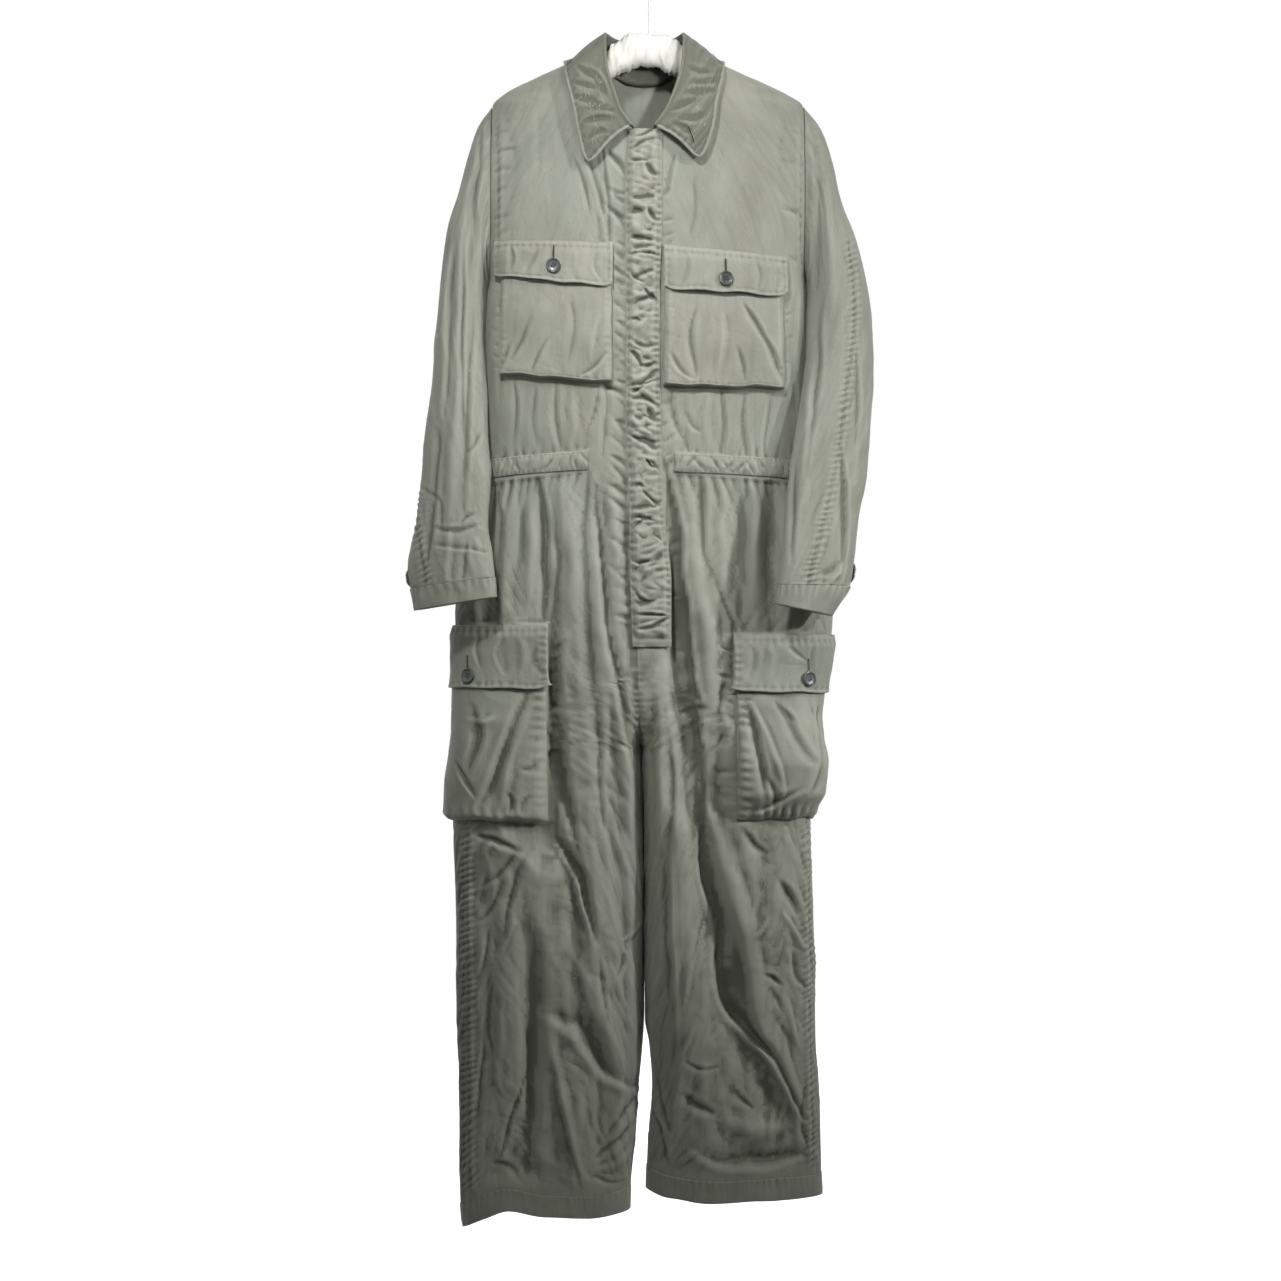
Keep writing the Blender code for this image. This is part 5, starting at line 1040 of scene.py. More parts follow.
def wire_look():
    drawn = (1800.0, 1800.0, 240.0)
    grains = ((drawn, 3.0, 0.1, 0.0002),)
    steel, grey = (206, 208, 212), (178, 181, 187)
    return clouded("hook_steel", steel, grey, (drawn, 3.0), (0.35, 0.7), grains, (0.18, 0.34), metallic=1.0)


# ---------------------------------------------------------------- pieces
MADE = {}  # name: (final grid, normals), for what is laid on a piece later


def named(part, side):
    return f"scene_{part}_{END[side]}"


def mesh_object(name, points, faces, look, **attributes):
    """A smooth mesh of faces that all have the same number of corners."""
    mesh = bpy.data.meshes.new(name)
    mesh.vertices.add(len(points))
    mesh.vertices.foreach_set("co", np.asarray(points, np.float32).ravel())
    mesh.loops.add(faces.size)
    mesh.loops.foreach_set("vertex_index", np.asarray(faces, np.int32).ravel())
    mesh.polygons.add(len(faces))
    mesh.polygons.foreach_set("loop_start", np.arange(0, faces.size, faces.shape[1], dtype=np.int32))
    mesh.update(calc_edges=True)
    mesh.polygons.foreach_set("use_smooth", np.ones(len(faces), bool))
    for title, values in attributes.items():
        kind, field = ("FLOAT", "value") if values.ndim == 1 else ("FLOAT_VECTOR", "vector")
        made = mesh.attributes.new(title, kind, "POINT")
        made.data.foreach_set(field, values.astype(np.float32).ravel())
    mesh.materials.append(look)
    mesh.validate()
    obj = bpy.data.objects.new(name, mesh)
    bpy.context.scene.collection.objects.link(obj)
    return obj


def stands_out(grid, normals, reach, full):
    """-1 to 1: how far each point stands above its neighbourhood."""
    smooth = grid.copy()
    for _ in range(reach):
        padded = np.pad(smooth, ((1, 1), (1, 1), (0, 0)), mode="edge")
        smooth = (padded[:-2, 1:-1] + padded[2:, 1:-1] + padded[1:-1, :-2] + padded[1:-1, 2:]) / 4
    return np.clip(((grid - smooth) * normals).sum(-1) / full, -1, 1)


def cloth(name, grid, look, thickness=0.0, toward=(0, -1, 0), worn=0.0, shift=(0, 0), hollow=0.34, fine=0.45):
    """A shell of cloth on a grid of points, its outer face towards the given way.

    A grid with no such way is a ring and faces outward. Its colour gets a painted highlight on
    ridges and painted shade in hollows, on a small and a large scale, each by its own weight; the
    extra tone given adds edge wear and more painted shade, and shift moves the dye's pattern."""
    closed = toward is None
    hint = grid - grid.mean(axis=1, keepdims=True) if closed else np.array(toward, float)
    normals = normals_towards(grid, hint, closed)
    u, v = arc_lengths(grid)
    middle = u[:, grid.shape[1] // 2][:, None]
    weave = np.stack([u - middle + shift[0], v + shift[1], np.zeros_like(u)], -1).reshape(-1, 3)
    # painted highlight on ridges and painted shade in hollows, with the edge wear and shade that a piece adds
    shading_and_wear = stands_out(grid, normals, 3, 0.0004) * fine + stands_out(grid, normals, 16, 0.0011) * hollow + worn
    shading_and_wear = shading_and_wear.ravel()
    points = grid.reshape(-1, 3)
    count = len(points)
    index = np.arange(count).reshape(grid.shape[:2])
    outer = flat_quads(index, closed)
    a, b, _, d = (points[outer[:, k]] for k in range(4))
    if (np.cross(b - a, d - a) * normals.reshape(-1, 3)[outer[:, 0]]).sum() < 0:
        outer = outer[:, ::-1]
    faces = [outer]
    if thickness:
        faces.append(outer[:, ::-1] + count)
        edges = {tuple(pair) for k in range(4) for pair in outer[:, [k, (k + 1) % 4]].tolist()}
        for line in (index[0], index[-1]) if closed else (index[0], index[-1], index[:, 0], index[:, -1]):
            a, b = (line, np.roll(line, -1)) if closed else (line[:-1], line[1:])
            if (int(a[0]), int(b[0])) in edges:
                a, b = b, a
            faces.append(np.stack([a, b, b + count, a + count], -1))
        points = np.concatenate([points, (grid - normals * thickness).reshape(-1, 3)])
        weave, shading_and_wear = np.concatenate([weave, weave]), np.concatenate([shading_and_wear, shading_and_wear])
    MADE[name] = (grid, normals)
    return mesh_object(name, points, np.concatenate(faces), look, weave=weave, worn=shading_and_wear)


def declare(obj, node=None):
    """The piece rides with the garment and stands for its CAD solid."""
    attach(obj, "root")
    if node:
        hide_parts(node)
    return obj


def piece(node, grid, look, rests_on, flat, area=None, held="hung", **shell):
    """A cloth piece that stands for a CAD solid."""
    obj = declare(cloth(f"scene_{node}", grid, look, **shell), node)


def on_grid(name, row, column, lift):
    """Points on a made piece and their normals, by fractional row and column."""
    grid, normals = MADE[name]
    row = np.clip(np.asarray(row, float), 0, grid.shape[0] - 1.001)
    column = np.clip(np.asarray(column, float), 0, grid.shape[1] - 1.001)
    i, j = row.astype(int), column.astype(int)
    a, b = (row - i)[:, None], (column - j)[:, None]

    def blend(values):
        near = values[i, j] * (1 - a) + values[i + 1, j] * a
        return near * (1 - b) + (values[i, j + 1] * (1 - a) + values[i + 1, j + 1] * a) * b

    normal = unit(blend(normals))
    return blend(grid) + normal * lift, normal


class Stitches:
    """Rows of small tonal stitches, joined into one mesh."""

    def __init__(self):
        self.blocks = []

    def row(self, line, normals, pitch=0.0031, length=0.0023, size=0.00034):
        """Stitches along a line of points, each bedded in the cloth at both ends."""
        run = np.concatenate([[0], np.linalg.norm(np.diff(line, axis=0), axis=1).cumsum()])
        if run[-1] < 2 * pitch:
            return
        at = np.arange(pitch / 2, run[-1] - pitch / 2, pitch)

        def along(values, off=0.0):
            return np.stack([np.interp(at + off, run, values[:, k]) for k in range(3)], -1)

        centre, before, after = along(line), along(line, -length / 2), along(line, length / 2)
        normal = unit(along(normals))
        aside = np.cross(unit(after - before), normal) * size * 0.75
        up = normal * size
        self.blocks.append(np.stack([
            before - up * 0.4, centre + aside + up * 0.3, centre + up * 1.3, centre - aside + up * 0.3,
            after - up * 0.4,
        ], 1))

    def make(self, name, look):
        points = np.concatenate(self.blocks)
        first = 5 * np.arange(len(points))[:, None, None]
        faces = first + np.array(((0, 1, 2), (0, 2, 3), (4, 2, 1), (4, 3, 2)))
        declare(mesh_object(name, points.reshape(-1, 3), faces.reshape(-1, 3), look))


# ---------------------------------------------------------------- body panels
def folded_cloth(side, x, z, back=False, lift=0.0):
    """Points lifted off the cloth of one half, with the largest folds as the solids have them."""
    point = plain_cloth(side, x, z, back)
    total = np.zeros(x.shape)
    for fold_side, width, depth, path in BACK_FOLDS if back else FRONT_FOLDS:
        if fold_side == side:
            index, off, along, _ = near_line(x, z, np.array(path) / 1000, 0.006 * width)
            taper = np.sin(math.pi * (0.08 + 0.84 * along)) ** 0.5
            total.ravel()[index] += depth / 1000 * bell(off, width / 1000) * taper
    centre = half(side, z)[0]
    width = ring_width(side, z, back)
    share = np.minimum(np.abs(x - centre) / width, 1.0)
    edge = np.where(z > CROTCH_TOP_Z, np.minimum(share * width, width * (1 - share)), width * (1 - share))
    total *= ramp(edge, 0.0, 0.016) * (back | (z < UNDERARM_Z))
    return raised(point, plain_normal(side, point, back), total + lift)


def on_front(x, z, lift):
    """Points lifted off the front, on whichever half they lie."""
    right, left = (folded_cloth(side, x, z, False, lift) for side in SIDES)
    return np.where((x > MIDDLE_X)[..., None], left, right)


def casing_top(side, x):
    start, inner_z, outer_z = CASINGS[side]
    return inner_z + (outer_z - inner_z) * np.clip((x - start) / (side * 0.205 - start), 0, 1)


def uncovered(side, x, z, back):
    """Nearly 0 where another piece lies close on the cloth, so that no fine relief pushes into it."""
    if back:
        band = ramp(z, WAIST_Z - 0.018, WAIST_Z - 0.012) * ramp(z, WAIST_Z + 0.018, WAIST_Z + 0.012)
        centre, width, _, _, square, _ = half(side, z)
        back_edge = centre + side * width * math.sin(CARGO_BACK_ANGLE) ** (2 / square)
        top, foot = CARGO_TOP_Z[side], CARGO_FOOT_Z[side]
        bag = ramp(z, top + 0.006, top) * ramp(z, foot - 0.006, foot)
        bag *= ramp((x - back_edge) * side, -0.008, 0.0)
        return 1 - 0.97 * np.maximum(band, bag)
    beyond = (x - smooth_rows(PLACKET)(z)[..., 1 if side > 0 else 0]) * side
    placket = (1 - ramp(beyond, -0.002, 0.003)) * ramp(z, -0.899, -0.893)
    top = casing_top(side, x)
    casing = ramp(z, top - CASING_HEIGHT - 0.005, top - CASING_HEIGHT) * ramp(z, top + 0.005, top)
    casing *= ramp((x - CASINGS[side][0]) * side, -0.006, 0.0)
    (top_x, foot_x), far = CARGO_FRONT_X[side], side * 0.4
    top_z, foot_z = CARGO_TOP_Z[side], CARGO_FOOT_Z[side]
    cargo = ((top_x, top_z), (far, top_z), (far, foot_z), (foot_x, foot_z))
    patches = [inside_patch(x, z, corners) for corners in (CHEST_BAGS[side], CHEST_FLAPS[side], cargo)]
    return 1 - 0.97 * np.maximum.reduce(patches + [placket, casing])


def casing_gathers(u, above, wave, sizes, seed):
    """Pleats above and below a casing; above is the height over its middle."""
    height = np.zeros(above.shape)
    for sign, depth, reach in sizes:
        pleats = gathers(u, above * sign - CASING_HEIGHT / 2, wave, depth, reach, seed + sign)
        height += pleats * (above * sign > 0)
    return height


def front_relief(side, x, z, u, v, inward):
    """Everything smaller than the largest folds on one front, in metres outward."""
    seed = 40 if side > 0 else 70
    chest, worn_cloth = ramp(z, -0.66, -0.60), ramp(z, -0.66, -0.95)
    below_yoke = ramp(z, -0.38, -0.56)
    height = chest * drape(u, v, seed, 0.050, 0.16, 0.0004 + 0.0006 * ramp(z, -0.40, -0.56))
    height += (1 - chest) * ramp(z, -0.66, -0.74) * drape(u, v, seed + 3, 0.024, 0.26, 0.0013)
    height += ramp(z, -1.10, -1.25) * drape(u + 0.25 * v, v, seed + 6, 0.040, 0.10, 0.0018)
    height += crumple(u, v, seed + 50, 0.034, 0.0006 - 0.0003 * chest)
    height += facets(u, v, seed + 60, 0.036, 0.0003 + 0.0004 * below_yoke + 0.0028 * worn_cloth)
    height += facets(u, v, seed + 70, 0.017, 0.0001 + 0.0002 * below_yoke + 0.0013 * worn_cloth)
    height += planes(x, z, FRONT_PLANES[side]) * ramp(z, -0.672, -0.70) * (1.30 + 0.35 * worn_cloth)
    creases = np.zeros(x.shape)
    add_creases(creases, x, z, FRONT_CREASES[side], seed)
    plain_chest = ramp(z, -0.46, -0.42) * ramp(np.abs(x + 0.012), 0.055, 0.090)
    height += creases * (1.3 + 0.22 * worn_cloth) * (1 - 0.55 * plain_chest)
    above = z - casing_top(side, x) + CASING_HEIGHT / 2
    pleats = casing_gathers(u, above, 0.0115, ((1, 0.0026, 0.020), (-1, 0.0036, 0.034)), seed)
    height += pleats * ramp((x - CASINGS[side][0]) * side, -0.004, 0.004)

    # folds drawn in by stitching: edge, first and last z, spacing, length, slope, width, depth and
    # two seeds, at the placket, both chest pocket edges, the cargo pocket's front and the armhole
    placket = smooth_rows(np.array(PLACKET) * 1000)
    top_x, foot_x = (edge * 1000 for edge in CARGO_FRONT_X[side])

    def cargo_edge(level):
        return top_x + (foot_x - top_x) * (level + 870) / -250

    if side < 0:
        pulls = [(lambda level: placket(level)[0] + 3, -285, -890, 15, -21, 0.9, 3.4, 2.9, 4, 200)]
    else:
        pulls = [(lambda level: placket(level)[1] - 3, -300, -890, 24, 15, 0.7, 3.2, 2.0, 4, 200)]
    top_in, top_out, foot_out, foot_in = CHEST_BAGS[side]
    for top, foot, way in ((top_in, foot_in, -side), (top_out, foot_out, side)):
        edge = smooth_rows([(p[1] * 1000, p[0] * 1000) for p in (top, foot)])
        x_at = lambda level, edge=edge: edge(level)[0]
        pulls.append((x_at, top[1] * 1000 - 12, foot[1] * 1000, 15, 11 * way, 0.3, 2.8, 0.9, 8, 300))
    pulls += [
        (cargo_edge, -905, -1110, 19, -17 * side, 0.5, 3.6, 2.0, 12, 400),
        (lambda level: side * 203, -235, -418, 26, -24 * side, 0.25, 4.0, 1.2, 21, 500),
    ]
    for *sizes, draws, waves in pulls:
        add_creases(height, x, z, short_creases(*sizes, seed + draws), seed + waves)
    add_rope(height, x, z, LEG_SEAMS[side], seed + 15, wave=9.0, swell=1.9, reach=7.5, ridge=1.9, fell=-side)
    height += gathers(u, z - HEM_LINE_Z[side], 0.016, 0.0010, 0.014, seed + 18)
    armhole = [(side * x_mm, z_mm) for x_mm, z_mm in ((196, -206), (194.5, -300), (196, -405))]
    add_rope(height, x, z, armhole, seed + 16, wave=12.0, swell=0.7, reach=6.0, ridge=1.2, fell=-side)
    rise = ramp(z, CROTCH_TOP_Z + 0.015, CROTCH_TOP_Z) * ramp(z, CROTCH_Z - 0.09, CROTCH_Z)
    return height + rise * 0.0009 * ripples(z, 0.0085, 5, scatter=0.4) * bell(inward, 0.007)


def back_relief(side, x, z, u, v):
    seed = 140 if side > 0 else 170
    worn_cloth = ramp(z, -0.60, -0.95)
    height = drape(u, v, seed, 0.046, 0.24, 0.0016) * ramp(z, -0.1, -0.25)
    height += ramp(z, -0.66, -0.76) * drape(u, v, seed + 3, 0.034, 0.28, 0.0016)
    height += ramp(z, -1.10, -1.25) * drape(u + 0.25 * v, v, seed + 6, 0.045, 0.11, 0.0016)
    height += crumple(u, v, seed + 50, 0.034, 0.0004)
    height += facets(u, v, seed + 60, 0.036, 0.0009 + 0.0021 * worn_cloth)
    height += facets(u, v, seed + 70, 0.017, 0.0003 + 0.0009 * worn_cloth)
    add_creases(height, x, z, BACK_CREASES[side], seed, 1.3)
    return height + casing_gathers(u, z - WAIST_Z, 0.0125, ((1, 0.0022, 0.030), (-1, 0.0028, 0.034)), seed)


def panel(side, back, shares, z, sewn_below=None):
    """A panel's grid. Its relief dies away at its sewn edges; the inner one is sewn below a height."""
    x = column_x(side, shares, z)
    base = folded_cloth(side, x, z, back)
    inward, v = arc_lengths(base)
    out = inward[:, -1:] - inward
    height = back_relief(side, x, z, -out, v) if back else front_relief(side, x, z, -out, v, inward)
    height *= uncovered(side, x, z, back) * ramp(out, 0.0, 0.012) * ramp(v, 0.0, 0.010)
    height *= ramp(z, HEM_LINE_Z[side] + 0.0005, HEM_LINE_Z[side] + 0.028)
    if sewn_below is not None:
        height *= np.where(z > sewn_below, 1.0, ramp(inward, 0.0, 0.008 if back else 0.004))
    grid = raised(base, normals_towards(base, (0, 1 if back else -1, 0)), height)
    grid[..., 2] += hem_droop(side, x, z)
    return grid


UNDER_HEM = 0.0015  # how far a leg runs on under its hem


def make_front(side, look):
    heights = np.linspace(UNDERARM_Z, HEM_LINE_Z[side] - UNDER_HEM, 532)[1:]
    grid = panel(side, False, *panel_levels(side, FRONT_COLUMNS, FRONT_NECK, 112, 96, heights), -0.86)
    x, z = grid[..., 0], grid[..., 2]
    # painted shade: the right leg is coloured darker where it turns back behind its side seam
    worn = -0.75 * ramp(x, -0.2375, -0.2415) * ramp(z, -1.125, -1.150) if side < 0 else 0.0
    # the painted shade in the hollows grows from the waist down
    piece(
        f"front_{END[side]}", grid, look, ["hanger_pad_cover"], (0.33, 1.53), 0.395,
        worn=worn, shift=(side * 0.4, 0.0), hollow=0.20 + 0.14 * ramp(z, -0.60, -0.70),
    )


def make_back_bodice(look):
    columns = 56
    heights = np.linspace(UNDERARM_Z, WAIST_Z, 88)[1:]
    right, left = (
        panel(side, True, *panel_levels(side, BACK_COLUMNS, BACK_NECK, columns, 74, heights))
        for side in SIDES
    )
    # the halves meet in the middle, over a few columns
    blend = 1 - ramp(np.arange(columns), 0, 8)[None, :, None]
    middle = (right[:, :1] + left[:, :1]) / 2
    right, left = (half_grid + (middle - half_grid[:, :1]) * blend for half_grid in (right, left))
    grid = np.concatenate([right[:, :0:-1], left], axis=1)
    piece(
        "back_bodice", grid, look, ["hanger_pad_cover"], (0.50, 0.56), 0.235,
        toward=(0, 1, 0), shift=(1.3, 0.2),
    )


def make_back_leg(side, look):
    z, shares = grid_shares(320, 70, down=(WAIST_Z, HEM_LINE_Z[side] - UNDER_HEM))
    piece(
        f"back_leg_{END[side]}", panel(side, True, shares, z, WAIST_Z), look, ["scene_back_bodice"],
        (0.32, 0.97), 0.275, toward=(0, 1, 0), shift=(side * 0.9, 0.6),
    )


def make_leg_hem(side, look):
    """The turned-up hem: a closed ring, one layer thicker, with the puckers of its stitching."""
    seed, half_count = 230 + side, 125
    top = HEM_LINE_Z[side] - 0.0003
    out = np.linspace(0, 1, half_count, endpoint=False)
    back_in = np.linspace(1, 0, half_count, endpoint=False)
    levels = top - HEM_HEIGHT * np.linspace(0, 1, 12)
    z, shares = np.meshgrid(levels, np.concatenate([out, back_in]), indexing="ij")
    x = column_x(side, shares, z)
    is_back = (np.arange(2 * half_count) >= half_count)[None, :, None]
    base = np.where(is_back, plain_cloth(side, x, z, True), plain_cloth(side, x, z, False))
    normal = normals_towards(base, base - base.mean(axis=1, keepdims=True), closed=True)
    u, v = arc_lengths(base)
    down = (top - z) / HEM_HEIGHT
    turn = u / (u[:, -1:] + np.linalg.norm(base[:, -1] - base[:, 0], axis=1)[:, None])
    pucker = np.cos(2 * math.pi * (u / 0.0078 + 0.6 * wander(turn * 19, seed)))
    pucker *= 0.0006 * bell(down, 0.55) * (0.5 + 0.5 * wander(turn * 7, seed + 4))
    slow = 0.0015 * noise(u / 0.035, v / 0.05, seed + 1) * ramp(down, 0.0, 0.9)
    seam = ramp(turn, 0.0, 0.03) * ramp(turn, 1.0, 0.97)
    grid = raised(base, normal, 0.0007 + (pucker + slow) * seam)
    grid[..., 2] += hem_droop(side, x, z)
    grid[..., 2] += 0.0016 * ramp(down, 0.3, 1.0) * noise(turn * 11, 0.3, seed + 2) * seam
    piece(
        f"leg_hem_{END[side]}", grid, look, [named("front", side)], (0.52, 0.029),
        thickness=0.0016, toward=None, shift=(0.3, 0.1),
        worn=0.5 * bell(1 - down, 0.08) - 0.25 * bell(down, 0.07),
    )


# ---------------------------------------------------------------- sleeves
SLEEVE_END = len(SLEEVES[1]) - 1


def sleeve_at(side, row, angle):
    table = smooth_rows([(k, *r) for k, r in enumerate(SLEEVES[side])])(row)
    outer, inner, depth = table[..., 0:3], table[..., 3:6], table[..., 6]
    centre, reach = (outer + inner) / 2, (outer - inner) / 2
    forward = unit(np.cross(np.cross(reach, [0.0, 1.0, 0.0]), reach))
    forward = np.where(forward[..., 1:2] > 0, -forward, forward)
    return centre + reach * np.cos(angle)[..., None] + forward * (depth * np.sin(angle))[..., None]


def sleeve_surface(side, row, angle, closed=False):
    base = sleeve_at(side, row, angle)
    return base, normals_towards(base, base - sleeve_at(side, row, angle + math.pi), closed)


def make_sleeve(side, under, look):
    word = "back" if under else "front"
    seed = (300 if side > 0 else 330) + (9 if under else 0)
    shape, start = ((240, 40), math.pi) if under else ((280, 60), 0.0)
    row, angle = grid_shares(*shape, down=(0, CUFF_ROW - 0.01), across=(start, start + math.pi))
    base, normal = sleeve_surface(side, row, angle)
    u, v = arc_lengths(base)
    x, z = base[..., 0], base[..., 2]
    height = drape(u, v, seed, 0.030, 0.20, 0.0016) + crumple(u, v, seed + 50, 0.026, 0.0003)
    height += facets(u, v, seed + 60, 0.030, 0.0008 + 0.0010 * ramp(row, 4.0, 9.0))
    height += facets(u, v, seed + 70, 0.015, 0.0003 + 0.0006 * ramp(row, 6.0, 9.0))
    if not under:
        add_creases(height, x, z, SLEEVE_CREASES[side], seed, 1.3)
        seam = {"wave": 8.5, "swell": 1.6, "reach": 7.0, "ridge": 1.6, "fell": 1}
        add_rope(height, x, z, SLEEVE_SEAMS[side], seed + 5, **seam)
    # eased fullness at the armhole, and the pull of the cuff's stitching
    to_cuff = v[-1:] - v
    height += gathers(u, v, 0.018, 0.0012, 0.018, seed + 7)
    height += gathers(u, to_cuff, 0.011, 0.0011, 0.016, seed + 8)
    if under:
        height = np.minimum(height, 0.0008)
    height *= ramp(np.minimum(u, u[:, -1:] - u), 0.0, 0.009)
    height *= ramp(v, 0.0, 0.008) * ramp(to_cuff, -0.001, 0.005)
    piece(
        f"sleeve_{word}_{END[side]}", raised(base, normal, height), look, [named("front", side)],
        (0.155, 0.60), 0.065 if under else 0.070,
        toward=(0, 1 if under else -1, 0), shift=(side * 0.6, 0.3 if under else 0.0),
    )


def make_cuff(side, look):
    seed, columns = 360 + side, 130
    turn = 2 * math.pi * (1 - 1 / columns)
    row, angle = grid_shares(16, columns, down=(CUFF_ROW + 0.01, SLEEVE_END), across=(0, turn))
    base, normal = sleeve_surface(side, row, angle, closed=True)
    down = (row - CUFF_ROW) / (SLEEVE_END - CUFF_ROW)
    pucker = 0.0006 * np.cos(angle * 27 + 2.0 * noise(angle * 2.2, down, seed)) * bell(down, 0.5)
    slow = 0.0013 * noise(np.cos(angle) * 2.4 + 4, np.sin(angle) * 2.4 + down * 0.9, seed + 1)
    grid = raised(base, normal, 0.0006 + pucker + slow * ramp(down, 0.0, 0.5))
    piece(
        f"cuff_{END[side]}", grid, look, [named("sleeve_front", side)], (0.26, 0.030),
        thickness=0.0016, toward=None, shift=(0.7, 0.8),
        worn=0.7 * bell(1 - down, 0.07) - 0.3 * bell(down, 0.05),
    )


def make_cuff_tab(side, look):
    """The pointed tab, from the back of the sleeve's end round its outer edge."""
    first_angle = math.pi + math.radians(1.2)
    step = (math.pi - 2 * math.radians(1.2)) / 7
    s, t = grid_shares(22, 64, down=(-0.5, 0.5))
    narrow = 1 - 0.8 * np.clip((t - 0.80) / 0.20, 0, 1) ** 1.3
    first, final = first_angle + step * 3, 2 * math.pi + step * 0.45
    base, normal = sleeve_surface(side, SLEEVE_END - 1.48 + s * narrow * 0.86, first + (final - first) * t)
    from_edge = 0.5 - np.abs(s)
    height = 0.0024 + 0.0005 * noise(t * 5, s * 2, 380 + side) + 0.0010 * ramp(t, 0.7, 1.0)
    grid = raised(base, normal, height + 0.0004 * bell(from_edge, 0.12))
    piece(
        f"cuff_tab_{END[side]}", grid, look, [named("sleeve_back", side)], (0.085, 0.027), 0.0021,
        thickness=0.0014, toward=grid - grid.mean(axis=1, keepdims=True),
        worn=0.6 * bell(from_edge, 0.06) + 0.5 * bell(1 - t, 0.04),
    )


# ---------------------------------------------------------------- pieces that lie on the body
def placket_creases(top, foot, rng):
    """Short creases across the placket: right through it, or in from one edge."""
    level, table = (top - 0.012) * 1000, []
    while level > foot * 1000 + 10:
        right, left = (float(edge) * 1000 for edge in smooth_rows(PLACKET)(level / 1000))
        kind, slant, bend = rng.uniform(), rng.uniform(-20, 22), rng.uniform(-7, 7)
        depth, lean, width = -rng.uniform(1.8, 4.4), rng.uniform(-1, 1), rng.uniform(2.0, 4.6)
        if kind < 0.4:
            line = right + 1, (right + left) / 2, left - 1
        elif kind < 0.75:
            line = right + 1, right + 12, right + rng.uniform(18, 32)
        else:
            line = left - 1, left - 12, left - rng.uniform(16, 30)
        heights = level, level + slant / 2 + bend, level + slant
        table.append((width, depth, lean, tuple(zip(line, heights))))
        level -= rng.uniform(8, 21)
    return table


def make_placket(look):
    """The covered front fly, stitched down both edges and crumpled between them."""
    end_seam = 0.0065
    top, foot = PLACKET[0][0] - 0.0020, PLACKET[-1][0] - end_seam
    z, t = grid_shares(410, 36, down=(top, foot))
    right, left = np.moveaxis(smooth_rows(PLACKET)(z + end_seam), -1, 0)
    x = right + (left - right) * t
    base = on_front(x, z, REST_GAP + 0.0014)
    normal = normals_towards(base, (0, -1, 0))
    u, v = arc_lengths(base)
    seed = 400
    height = 0.0009 * noise(u / 0.020, v / 0.013, seed)
    height += 0.0012 * noise((u + 0.4 * v) / 0.030, v / 0.022, seed + 1)
    height += crumple(u, v, seed + 2, 0.020, 0.0004) + facets(1.3 * v, u, seed + 60, 0.017, 0.0060)
    creases = np.zeros(x.shape)
    add_creases(creases, x, z, placket_creases(top, foot, np.random.default_rng(12)), seed + 20, 1.45)
    # the sewn edges are drawn tight and pucker
    from_left, from_right = (1 - t) * (left - right), t * (left - right)
    from_edge = np.minimum(from_left, from_right)
    height = (height + np.maximum(creases, -0.0058) + 0.0044) * ramp(from_edge, 0.0, 0.011)
    puckers = ripples(v, 0.0088, 77) * bell(from_left, 0.0042, 0.005) * (0.7 + 0.6 * wander(v / 0.05, 78))
    height += 0.0010 * puckers + 0.0006 * ripples(v, 0.0110, 79, patch=0.04) * bell(from_right, 0.004, 0.004)
    height -= 0.0006 * bell(from_left, 0.0012, 0.0052) + 0.0005 * bell(from_right, 0.0011, 0.0030)
    above_seam = z - foot - end_seam
    height = height * (1 - 0.9 * bell(above_seam, 0.0085, exponent=4)) + 0.0012 * bell(above_seam, 0.0042)
    worn = 0.55 * bell(from_left, 0.0016) + 0.35 * bell(from_right, 0.0014) + 0.5 * bell(z - foot, 0.0018)
    # pale sewn edges are wear; away from the edges the hollows get much more painted shade
    piece(
        "placket", raised(base, normal, np.maximum(height, -0.0006)), look,
        ["scene_front_right", "scene_front_left"], (0.048, 0.70),
        thickness=0.0014, worn=worn, shift=(0.2, 0.0), hollow=0.20 + 0.65 * ramp(from_edge, 0.005, 0.012),
    )


def make_front_casing(side, look):
    """The gathered drawcord channel at the waist."""
    start_x, inner_z, outer_z = CASINGS[side]
    seed = 430 + side
    first = math.asin((side * (start_x + 0.0095) / float(half(side, WAIST_Z)[1])) ** 1.3) / (math.pi / 2)
    down, t = grid_shares(20, 170)
    z = inner_z + (outer_z - inner_z) * t - CASING_HEIGHT * down
    x = column_x(side, first + (0.97 - first) * t, z)
    base = folded_cloth(side, x, z, False, 0.0014)
    u, v = arc_lengths(base)
    folds = np.zeros(x.shape)
    rng = np.random.default_rng(seed + 2)
    at = 0.002
    while at < float(u.max()):
        slant, tall = rng.uniform(-0.9, 0.9), rng.uniform(0.3, 0.9)
        narrow, deep = rng.uniform(0.0014, 0.0042), rng.uniform(0.0010, 0.0030)
        place = at + slant * (v - CASING_HEIGHT / 2)
        folds -= deep * bell(u, narrow, place) * bell(down, tall, rng.uniform(0.0, 1.0))
        at += rng.uniform(0.0045, 0.0165)
    puff = np.sin(math.pi * np.clip((down - 0.08) / 0.84, 0, 1)) ** 0.7
    height = puff * (0.0020 + folds + facets(u, v, seed + 60, 0.012, 0.0016))
    puckers = 0.0004 * ripples(u, 0.0062, seed + 5, scatter=0.6)
    height += puckers * (bell(down, 0.10, 0.10) + bell(down, 0.10, 0.90))
    grid = raised(base, normals_towards(base, (0, -1, 0)), np.maximum(height, -0.0003))
    piece(
        f"waist_casing_{END[side]}", grid, look, [named("front", side)], (0.25 if side > 0 else 0.20, 0.025),
        held="gathered", thickness=0.0010, worn=0.5 * (bell(down, 0.06) + bell(1 - down, 0.06)),
        shift=(side * 0.5, 0.9),
    )


